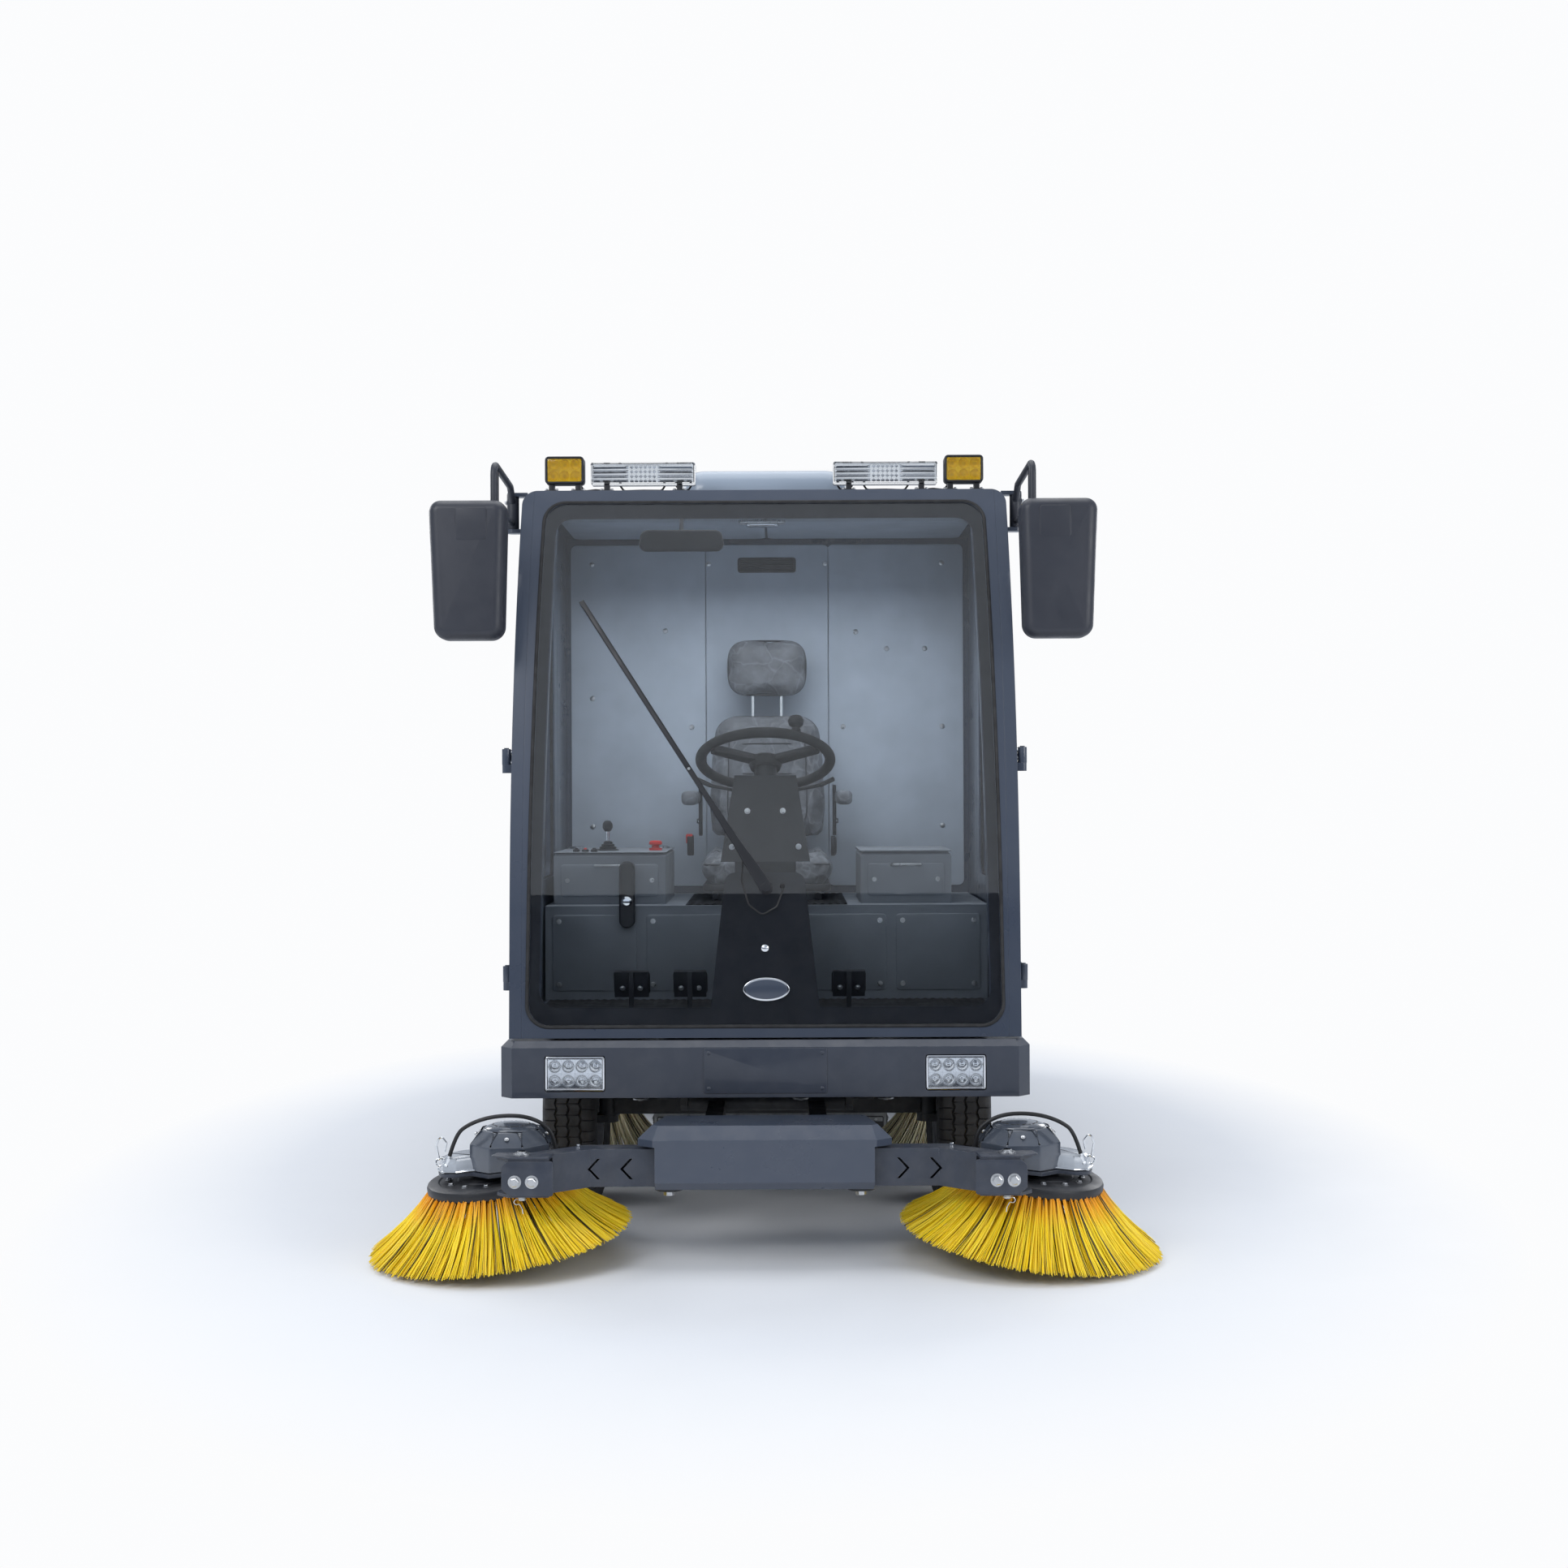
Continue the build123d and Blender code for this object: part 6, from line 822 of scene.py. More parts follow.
def bristle_ring(shape, rows, bundles, strands, fan, drop, seed, origin, axis, finish=0):
    """Strands in bundles: each runs from its root radius out to its tip radius while it falls by drop, bowing out by
    the square of its length, and fans round its bundle's middle; its section has four corners."""
    rng = np.random.default_rng(seed)
    steps = np.linspace(0, 1, 5)
    for number, (root, tip, fall, dark) in enumerate(rows):
        count = bundles * strands
        bundle = np.repeat(np.arange(bundles), strands)
        angle = TURN * (bundle + 0.5 * (number % 2) + 0.06 * rng.standard_normal(bundles)[bundle]) / bundles
        own = rng.random(count)
        cross = rng.normal(0, 1, (count, 2))
        reach = tip - rng.random(count) * 0.016 - np.abs(cross[:, 0]) * 0.004
        down = fall * drop * (1 - 0.05 * rng.random(count) ** 2)
        r = root + cross[:, :1] * 0.0022 + (reach - root)[:, None] * (0.9 * steps + 0.1 * steps**2)
        round_by = (cross[:, 1:] * (0.0018 + fan * steps**1.2)) / r
        z = -down[:, None] * (steps + 0.05 * np.sin(np.pi * steps)) - 0.012 * (1 - steps)
        a = angle[:, None] + round_by + rng.normal(0, 0.004, count)[:, None] * steps**2
        centre = np.stack([r * np.cos(a), r * np.sin(a), z], -1)
        across = np.stack([-np.sin(a), np.cos(a), np.zeros_like(a)], -1)
        along = unit(np.gradient(centre, axis=1))
        thick = unit(np.cross(across, along))
        twist = rng.uniform(0, np.pi, count)[:, None, None]
        one = np.cos(twist) * across + np.sin(twist) * thick
        two = -np.sin(twist) * across + np.cos(twist) * thick
        wide = np.array([0.0016, 0.0016, 0.0015, 0.0014, 0.001])[None, :, None]
        corners = np.stack(
            [centre + wide * (i * one + 0.55 * j * two) for i, j in ((-1, -1), (1, -1), (1, 1), (-1, 1))], 2)
        points = corners.reshape(count, -1, 3)
        k = np.arange(4)
        walls = [
            np.stack([4 * s + 4 + k, 4 * s + 4 + (k + 1) % 4, 4 * s + (k + 1) % 4, 4 * s + k], -1) for s in range(4)]
        quads = np.concatenate([*walls, [[0, 1, 2, 3], [19, 18, 17, 16]]])
        faces = (quads[None] + 20 * np.arange(count)[:, None, None]).reshape(-1, 4)
        uv = np.stack([np.repeat(own, 20), np.tile(np.repeat(steps, 4), count)], -1)
        shape.polygons(place(points, origin, (1, 0, 0), axis), faces, 0, uv)
        shape.finishes[-1] = np.repeat((own < dark).astype(int), len(quads)) + finish
    return shape


def build_front_brushes(scene):
    """Sets bundled bristles in both front brushes and finishes their discs."""
    s = scene.sweeper_brush
    # root radius, tip radius, share of the drop, share of dark strands
    rows = ((0.166, 0.365, 0.985, 0.06), (0.15, 0.352, 1.0, 0.1), (0.13, 0.33, 1.0, 0.45))
    for number, (name, side) in enumerate(SIDES):
        axis = brush_lean(side)
        origin = (side * BRUSH_X, BRUSH_Y, BRUSH_Z)
        shape = bristle_ring(Shape(), rows, s.bundles, s.strands, s.spread, 0.181, 7 + number, origin, axis)
        body = f"front_brush_{name}"
        finishes = ["bristle", "dark bristle"]
        stands_for = f"brush_bristles_{name}"
        piece(f"front_bristles_{name}", shape, body, "yellow_bristle", finishes, stands_for, merge=False)
        disc = Shape()
        profile = [
            (18, -31), (176, -31), (181, -28), (182, -22), (182, -10), (179, -4), (172, -1), (150, 0), (146, -3),
            (98, -3), (94, 0), (60, 1), (52, 6), (20, 6), (18, 4)]
        disc.turned(profile + profile[:1], origin, on_axis(axis), sides=96)
        angles = np.arange(12) * TURN / 12
        spots = place(
            np.stack([0.122 * np.cos(angles), 0.122 * np.sin(angles), 0 * angles - 0.004], -1), origin, (1, 0, 0),
            axis)
        for spot in spots:
            disc.bolt(spot, axis, 13, 7, finish=1)
        piece(f"brush_plate_{name}", disc, body, "black_plastic", ["black trim", "zinc"], f"brush_disc_{name}")


class SWEEPER_OT_front_brushes(bpy.types.Operator):
    """Builds the front brushes"""

    bl_idname = "sweeper.front_brushes"
    bl_label = "Front brushes"

    def execute(self, context):
        build_front_brushes(context.scene)
        return {"FINISHED"}


def build_brush_motors(scene):
    """Builds the motor covers with their lobes, trims, loops and hoses."""
    for name, side in SIDES:
        axis = brush_lean(side)
        body = f"brush_head_{name}"
        cover = Shape()
        octagon = fillet(ring(0.109 / np.cos(np.pi / 8), 8, np.pi / 8), 0.01, 5)
        rows = spread(
            octagon, (0.262, 0.32, 0.3245, 0.3268, 0.3595, 0.3615, 0.3622),
            (0, 0, 0.0008, 0.003, 0.0285, 0.031, 0.034))
        # its foot follows the leaning arm below
        x, y = rows[0, :, 0] + side * (COVER_X - BRUSH_X), rows[0, :, 1] + COVER_Y - BRUSH_Y
        rows[0, :, 2] = 0.2642 - x * side * 0.119 + y * 0.07
        cover.put(rows, (side * COVER_X, COVER_Y, 0))
        dome = np.linspace(0, 1, 9)
        profile = np.stack([0.073 * np.cos(dome * np.pi / 2), 0.3622 + 0.015 * np.sin(dome * np.pi / 2)], -1)
        cover.put(
            lathe(np.vstack([[0.0, 0.362], [0.077, 0.362], [0.0755, 0.364], profile, [0.0, 0.3772]]), 48),
            (side * COVER_X, COVER_Y, 0), caps=False)
        # air slots round the dome's shoulder, and screws on the chamfer
        for angle in np.arange(10) * TURN / 10:
            out = np.array([np.cos(angle), np.sin(angle), 0])
            slot = slab(rectangle(0.026, 0.0052, 0.0025, 4), -0.001, 0.0016, 0.0006)
            spot = np.array([side * COVER_X, COVER_Y, 0.3715]) + 0.05 * out
            cover.put(slot, spot, ((-out[1], out[0], 0), (0.26 * out[0], 0.26 * out[1], 1)), finish=1)
        for angle in (np.arange(4) + 0.5) * TURN / 4 + np.pi / 4:
            out = np.array([np.cos(angle), np.sin(angle), 0])
            cover.bolt(
                np.array([side * COVER_X, COVER_Y, 0.3455]) + 0.096 * out, (out[0], out[1], 1.15), 8, 5, finish=2)
        # the lobe over the drive: pale facets with a bright trim round its foot
        lobe = fillet(
            [(0.0, -0.06), (0.088, -0.06), (0.128, -0.04), (0.145, 0.0), (0.128, 0.04), (0.088, 0.06), (0.0, 0.06)],
            0.006, 4)
        flip = np.array([side, 1])
        outline = (lobe * flip)[::side]
        origin = (side * BRUSH_X, BRUSH_Y, BRUSH_Z)
        rows = spread(outline, (0.0265, 0.04, 0.058, 0.0625, 0.064), (0, 0.001, 0.007, 0.01, 0.014))
        cover.put(rows, origin, on_axis(axis), finish=3)
        path = place(level(inset(outline, -0.0022), 0.0305), origin, (1, 0, 0), axis)
        front = path[path[:, 1] < BRUSH_Y + 0.012]
        front = front[np.argsort(side * front[:, 0] + 3 * (front[:, 1] + 1.7).clip(0, None))]
        cover.rod(front, 3.4, 8, finish=4)
        # lifting loop at the outer end
        foot = place(
            np.array(
                [
                    [side * 0.118, -0.016, 0.06], [side * 0.139, -0.016, 0.066], [side * 0.141, -0.016, 0.1],
                    [side * 0.126, -0.016, 0.128], [side * 0.112, -0.016, 0.104], [side * 0.12, -0.016, 0.08]]),
            origin, (1, 0, 0), axis)
        cover.rod(bent(foot, 0.007), 2.6, 10, (0, 1, 0.1), finish=5)
        eye = place(
            ring(0.01, 28) @ np.array([[1, 0, 0], [0, 0, 1]]) + (side * 0.139, -0.016, 0.052), origin, (1, 0, 0), axis
        )
        cover.rod(eye, 2.6, 8, (0, 1, 0), finish=5, closed=True)
        # the hose's swivel fitting on the lobe, and the gland at its other end
        route = np.array(HOSE_ROUTE) * (side, 1, 1)
        for near, far, reach in ((route[0], route[1], 0.03), (route[-1], route[-2], 0.03)):
            away = unit(far - near)
            foot = near - away * 0.0003
            cover.put(
                spread(ring(0.0085, 6), (-reach, -0.007, -0.006), (0, 0, 0.0012)), foot, on_axis(away), finish=4)
            cover.turned([(6.8, -7), (6.8, -0.2), (5, 0)], foot, on_axis(away), sides=20, finish=4, caps=True)
            cover.put(
                lathe([(0.0105, -reach), (0.0105, -reach + 0.005), (0.009, -reach + 0.006)], 24), foot, on_axis(away),
                finish=4)
        piece(
            f"motor_cover_{name}", cover, body, "motor_cover",
            ["motor cover", "rubber", "zinc", "pale facet", "chrome", "chrome"], f"brush_motor_{name}", sharp=28)

        curve = bpy.data.curves.new(f"motor_hose_{name}", "CURVE")
        curve.dimensions = "3D"
        curve.bevel_depth, curve.bevel_resolution, curve.resolution_u = 0.0055, 4, 10
        curve.use_fill_caps = True
        spline = curve.splines.new("NURBS")
        spline.points.add(len(route) - 1)
        spline.points.foreach_set("co", np.column_stack([route, np.ones(len(route))]).ravel())
        spline.order_u = 3
        spline.use_endpoint_u = True
        curve.materials.append(surface("hose rubber"))
        hose = bpy.data.objects.new(f"motor_hose_{name}", curve)
        scene.collection.objects.link(hose)
        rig.ride(hose, body)
        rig.slot(hose, "hose_rubber")
        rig.replaces(hose, f"brush_hose_{name}")
        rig.cord(
            hose, exit=tuple(route[0]), length=0.405, diameter=0.011, far_end="object", stiffness="stiff", lay="taut")


class SWEEPER_OT_brush_motors(bpy.types.Operator):
    """Builds the brush motors"""

    bl_idname = "sweeper.brush_motors"
    bl_label = "Brush motors"

    def execute(self, context):
        build_brush_motors(context.scene)
        return {"FINISHED"}


def build_brush_arms():
    """Adds the forks' plates, bolts, pins and clips, and paints the arms and the housing between them."""
    for name, side in SIDES:
        arm = Shape()
        # patch plate over the fork's front, with a clipped lower corner
        patch = fillet(
            np.array([(0.004, 0.006), (0.118, 0.006), (0.14, 0.024), (0.14, 0.084), (0.124, 0.098), (0.004, 0.098)]),
            0.007, 4)
        outline = ((patch + (0.567 - 0.004 - 0.012, 0.218)) * (side, 1))[::side]
        arm.put(slab(outline, 0, 0.004, 0.0012), (0, -1.898, 0), FRONT)
        for x in (0.611, 0.656):
            arm.bolt((side * x, -1.902, 0.262), (0, -1, 0), 22, 12, finish=1, washer=1.1)
        # top plate with its point over the pin, washers, the pin's head and the clip under it
        plate = fillet([(0.56, -1.836), (0.566, -1.902), (0.676, -1.902), (0.722, -1.868), (0.712, -1.828)], 0.006, 4)
        arm.rows(slab((plate * (side, 1))[::side], 0.3215, 0.3265, 0.0012))
        pin = np.array([side * HEAD_PIN[0], HEAD_PIN[1], 0])
        head = [(23.5, 326.5), (23.5, 329), (18, 329.4), (18, 331.8), (12, 332.2), (12, 335.2), (10.2, 336), (0, 336)]
        arm.turned([(0, 326)] + head, pin, sides=32, finish=1)
        arm.turned([(0, 206), (10.2, 206.2), (10.2, 215), (19.5, 215.5), (19.5, 218.5), (0, 218.5)], pin, finish=1)
        clip = np.array(
            [
                (-0.013, 0, 0.211), (0.015, 0, 0.211), (0.021, 0, 0.203), (0.014, 0, 0.195), (0.006, 0, 0.199),
                (-0.002, 0, 0.186), (-0.004, 0, 0.172)])
        path = bent(clip * (side, 1, 1) + (pin[0], pin[1] - 0.011, 0), 0.004, 5)
        arm.rod(path, 1.3, 8, (0, 1, 0), finish=2)
        # root bolt caps on the carrier's forks
        arm.bolt((side * 0.505, -1.7395, 0.322), (0, 0, 1), 10, 10, finish=2, washer=0.8)
        piece(f"arm_fittings_{name}", arm, f"brush_arm_{name}", "bumper_paint", ["arm paint", "zinc", "chrome"])
        pivot = Shape()
        for z, up in ((0.336, 1), (0.206, -1)):
            pivot.turned([(24, 0), (24, 3), (17.5, 3.5)], (side * 0.26, -1.729, z), on_axis((0, 0, up)), caps=True)
            pivot.bolt((side * 0.26, -1.729, z + up * 0.003), (0, 0, up), 26, 13, washer=0)
        piece(f"arm_pivot_{name}", pivot, "brush_carrier", "frame_paint", ["zinc"])
    repaint(("brush_arm_left", "brush_arm_right", "brush_head_left", "brush_head_right"), "arm paint")
    repaint(("front_housing",), "body paint")
    repaint(("brush_carrier", "mid_arm_left", "mid_arm_right"), "chassis paint")


class SWEEPER_OT_brush_arms(bpy.types.Operator):
    """Builds the brush arms"""

    bl_idname = "sweeper.brush_arms"
    bl_label = "Brush arms"

    def execute(self, context):
        build_brush_arms()
        return {"FINISHED"}


def build_middle_brushes():
    """Sets bristles in the two brushes behind the front wheels: their pale beige tone is painted lighting, for how the
    bristles look in shade.
    """
    rows = ((0.108, 0.236, 0.98, 0.1), (0.094, 0.224, 1.0, 0.1), (0.078, 0.206, 1.0, 0.2))
    for number, (name, side) in enumerate(SIDES):
        origin = (side * 0.59, -0.215, 0.225)
        shape = bristle_ring(Shape(), rows, 36, 13, 0.01, 0.163, 21 + number, origin, (0, 0, 1))
        profile = [(0, -24), (117, -24), (120, -21), (120, -6), (116, -1), (60, 0), (56, 4), (0, 4)]
        shape.turned(profile, origin, sides=64, finish=2)
        for angle in np.arange(6) * TURN / 6:
            shape.bolt(
                np.array(origin) + (0.085 * np.cos(angle), 0.085 * np.sin(angle), 0.0), (0, 0, 1), 13, 7, finish=3)
        # their pale beige finish paints the look of bristles in shade
        piece(
            f"middle_bristles_{name}", shape, f"mid_brush_{name}", "pale_bristle",
            ["pale bristle", "dark bristle", "black trim", "zinc"], f"mid_brush_{name}", merge=False)


class SWEEPER_OT_middle_brushes(bpy.types.Operator):
    """Builds the middle brushes"""

    bl_idname = "sweeper.middle_brushes"
    bl_label = "Middle brushes"

    def execute(self, context):
        build_middle_brushes()
        return {"FINISHED"}


# ---------- wheels


def tyre_rings(pitches, groove):
    """The tyre about the x axis: its section runs from bead to bead over the tread and back inside, and goes round
    in pitches. Three grooves wave with each pitch; cross cuts part the outer ribs and nick the inner ones."""
    phase = np.array([0.0, 0.03, 0.11, 0.14, 0.3, 0.5, 0.53, 0.61, 0.64, 0.82])
    cut_outer = np.array([0, 1, 1, 0, 0, 0, 0, 0, 0, 0], float)
    cut_inner = np.array([0, 0, 0, 0, 0, 0, 1, 1, 0, 0], float)
    share = (np.arange(pitches)[:, None] + phase).ravel()
    angle = TURN * share / pitches
    outer, inner = np.tile(cut_outer, pitches)[:, None], np.tile(cut_inner, pitches)[:, None]
    wave = (2 * np.abs(2 * (share % 1) - 1) - 1)[:, None]
    half = 0.066
    # columns of the tread: base x, share of the wave, depth, outer cut, inner cut
    edge, floor = 0.004, 0.0026
    columns = [(-half, 0, 0, 1, 0), (-0.058, 0, 0, 1, 0), (-0.046, 0, 0, 1, 0)]
    for centre in (-0.036, 0.0, 0.036):
        columns += [
            (centre - edge, 1, 0, 1 if centre < 0 else 0, 1 if centre >= 0 else 0), (centre - floor, 1, 1, 0, 0),
            (centre + floor, 1, 1, 0, 0), (centre + edge, 1, 0, 1 if centre > 0 else 0, 1 if centre <= 0 else 0)]
        if centre < 0.036:
            columns += [(centre + 0.0125, 0.5, 0, 0, 0.5), (centre + 0.0235, 0.5, 0, 0, 0.5)]
    columns += [(0.046, 0, 0, 1, 0), (0.058, 0, 0, 1, 0), (half, 0, 0, 1, 0)]
    c = np.array(columns)
    x = c[:, 0] + 0.003 * wave * c[:, 1]
    crown = 0.298 - 0.0042 * (x / half) ** 2
    depth = groove * c[:, 2] + 0.0055 * np.maximum(outer * c[:, 3], inner * c[:, 4])
    r = crown - depth
    side = np.array(
        [
            (0.0705, 0.29), (0.0745, 0.283), (0.0785, 0.272), (0.079, 0.2695), (0.0808, 0.26), (0.0822, 0.244),
            (0.0812, 0.228), (0.0795, 0.224), (0.079, 0.2215), (0.0765, 0.208), (0.072, 0.196), (0.0716, 0.193),
            (0.069, 0.185), (0.064, 0.183), (0.062, 0.178), (0.0625, 0.17)])
    liner = np.array([(0.052, 0.1715), (0.058, 0.19), (0.068, 0.23), (0.064, 0.266), (0.045, 0.282), (0.0, 0.284)])
    notch = np.where(np.arange(len(side)) < 2, 0.004, 0.0) * outer
    out_x, out_r = np.broadcast_to(side[:, 0], notch.shape), side[:, 1] - notch
    back = np.broadcast_to(np.vstack([liner, liner[-2::-1] * (-1, 1)]), (len(angle), 2 * len(liner) - 1, 2))
    x = np.concatenate([x, out_x, back[..., 0], -out_x[:, ::-1]], 1)
    r = np.concatenate([r, out_r, back[..., 1], out_r[:, ::-1]], 1)
    grid = np.stack([x, r * np.cos(angle)[:, None], r * np.sin(angle)[:, None]], -1)
    return np.concatenate([grid, grid[:1]])


def build_wheels(scene):
    """Cuts the tyres' tread and adds the wheels' nuts, caps and valves."""
    s = scene.sweeper_wheel
    tyre = tyre_rings(s.pitches, s.groove)[::-1]
    for axle, y in (("front", -0.852), ("rear", 1.068)):
        for name, side in SIDES:
            hub = np.array([side * 0.597, y, 0.298])
            body = f"wheel_{axle}_{name}"
            shape = Shape().rows(tyre + hub, caps=False)
            stands_for = f"tyre_{axle}_{name}"
            piece(f"road_tyre_{axle}_{name}", shape, body, "tyre_rubber", ["tyre rubber"], stands_for, sharp=40)
            nuts = Shape()
            for angle in (np.arange(5) + 0.25) * TURN / 5:
                spot = hub + (side * 0.0235, 0.072 * np.cos(angle), 0.072 * np.sin(angle))
                nuts.bolt(spot, (side, 0, 0), 19, 17)
                nuts.turned([(6, 16), (6, 24), (5, 25)], spot, outward(side), sides=16, caps=True)
            cap = [(40.5, 33.5), (40.5, 37.5), (37, 40.5), (35, 50.5), (32, 53.5), (0, 54.5)]
            nuts.turned([(0, 33.5)] + cap, hub, outward(side), sides=40, finish=1)
            stem = bent([(side * 0.03, 0.148, 0), (side * 0.045, 0.147, 0), (side * 0.062, 0.138, 0)], 0.004, 4) + hub
            nuts.rod(stem, 3.6, 10, finish=2)
            piece(f"wheel_nuts_{axle}_{name}", nuts, body, "rim_paint", ["zinc", "chrome", "rubber"])
    repaint([f"rim_{axle}_{name}" for axle in ("front", "rear") for name, _ in SIDES], "wheel paint")


class SWEEPER_OT_wheels(bpy.types.Operator):
    """Builds the wheels"""

    bl_idname = "sweeper.wheels"
    bl_label = "Wheels"

    def execute(self, context):
        build_wheels(context.scene)
        return {"FINISHED"}


# ---------- cab front

KNEE_Z = 0.95
ARC_Y, ARC_Z, ARC_R = 1.7263, 0.7546, 3.2


def front_y(z, depth=0.0):
    """The cab's front face at height z, set in by depth: an arc of radius 3.2 m above the knee, its tangent below."""
    arc = ARC_Y - np.sqrt((ARC_R - depth) ** 2 - (np.maximum(z, KNEE_Z) - ARC_Z) ** 2)
    return np.where(z >= KNEE_Z, arc, arc - (KNEE_Z - z) * 0.0612)


def on_front(points, depth=0.0):
    """Points (x, z) laid on the front face, set in by depth."""
    points = np.asarray(points, float)
    return np.stack([points[..., 0], front_y(points[..., 1], depth), points[..., 1]], -1)


def pane_outline(grow, corner, foot=0.622, head=2.146, steps=10):
    """The windscreen's outline grown by a margin, its sides leaning in upwards; points (x, z), anticlockwise."""
    low, high = foot - grow, head + grow
    half_low, half_high = 0.672 + grow, 0.652 + grow
    corners = np.array([(-half_low, low), (half_low, low), (half_high, high), (-half_high, high)])
    arcs = fillet(corners, corner, steps).reshape(4, steps, 2)
    # extra points along each side, so that the pane bends with the front
    share = np.linspace(0, 1, 26)[1:-1, None]
    runs = [np.concatenate([arcs[k], arcs[k][-1] + share * (arcs[(k + 1) % 4][0] - arcs[k][-1])]) for k in range(4)]
    return np.concatenate(runs)


def build_windscreen():
    """Builds the bent windscreen with its dark border, dotted edge, rubber bead, blank badge and washer jet."""
    outline = pane_outline(-0.0008, 0.058)
    middle = np.array([0.0, 1.384])
    shape = Shape()
    shares = np.linspace(0.0, 1.0, 26)
    grids = [on_front(middle + shares[:, None, None] * (outline - middle), depth) for depth in (0.0004, 0.0054)]
    # outer skin, rim, inner skin; both skins close at their middle
    rim = np.stack([grids[0][-1], grids[1][-1]])
    shape.rows(grids[0][::-1], caps=False)
    shape.rows(rim[::-1], caps=False)
    shape.rows(grids[1], caps=False)
    piece("windscreen_pane", shape, "chassis", "glass", ["glass"], "windscreen", sharp=50)

    border = Shape()
    clear = pane_outline(-0.031, 0.05, 0.64, 2.128)
    bands = np.linspace(0, 1, 4)[:, None, None]
    border.rows(on_front(outline * (0.9985, 1) + bands * (clear - outline * (0.9985, 1)), 0.0058)[::-1], caps=False)
    console = fillet([(-0.158, 0.64), (0.158, 0.64), (0.112, 1.052), (-0.112, 1.052)], (0.002, 0.002, 0.03, 0.03), 8)
    core = console.mean(0)
    border.rows(on_front(core + np.linspace(0, 1, 12)[:, None, None] * (console - core), 0.0062)[::-1], caps=False)
    # three rows of dots fade the border's inner edge out
    for row, (gap, size) in enumerate(((-0.0335, 0.0013), (-0.0372, 0.001), (-0.0402, 0.0007))):
        line = pane_outline(gap, 0.048, 0.64, 2.128)
        step = np.concatenate([[0], np.cumsum(np.linalg.norm(np.diff(np.vstack([line, line[:1]]), axis=0), axis=1))])
        spots = np.arange(0, step[-1], 0.0042) + 0.0021 * (row % 2)
        spots = spots[spots < step[-1]]
        looped = np.vstack([line, line[:1]])
        x, z = np.interp(spots, step, looped[:, 0]), np.interp(spots, step, looped[:, 1])
        dots = np.stack([x, z], -1)[:, None] + ring(size, 6)[None]
        border.polygons(on_front(dots, 0.0058).reshape(-1, 3), np.arange(len(dots) * 6).reshape(-1, 6), 0)
    piece("windscreen_border", border, "chassis", "black_plastic", ["frit"], merge=False)

    bead = Shape()
    seat = on_front(pane_outline(0.0045, 0.062), 0.001)
    bead.rod(seat, 5.2, 10, (0, 1, 0), closed=True)
    # plain oval badge with a bright rim, and the washer's jet
    oval = ring(1.0, 48) * (0.066, 0.0335)
    lean = (0, -1, 0.061)
    spot = (0.0035, float(front_y(0.722)) - 0.0006, 0.722)
    bead.put(slab(oval, 0, 0.005, 0.0022, 4), spot, on_axis(lean), finish=1)
    field = spread(inset(oval, 0.0055), (0.0046, 0.0052, 0.0056), (0, 0.0004, 0.002))
    bead.put(field, spot, on_axis(lean), finish=2)
    jet = (0.0, float(front_y(0.838)) - 0.0003, 0.838)
    bead.turned(
        [(10.5, 0), (10.5, 2), (8.5, 3.5), (4.5, 4.2), (3.5, 7.5), (0, 8.2)], jet, on_axis(lean), finish=1, caps=True)
    piece("windscreen_bead", bead, "chassis", "black_plastic", ["rubber", "chrome", "body paint"])


class SWEEPER_OT_windscreen(bpy.types.Operator):
    """Builds the windscreen"""

    bl_idname = "sweeper.windscreen"
    bl_label = "Windscreen"

    def execute(self, context):
        build_windscreen()
        return {"FINISHED"}


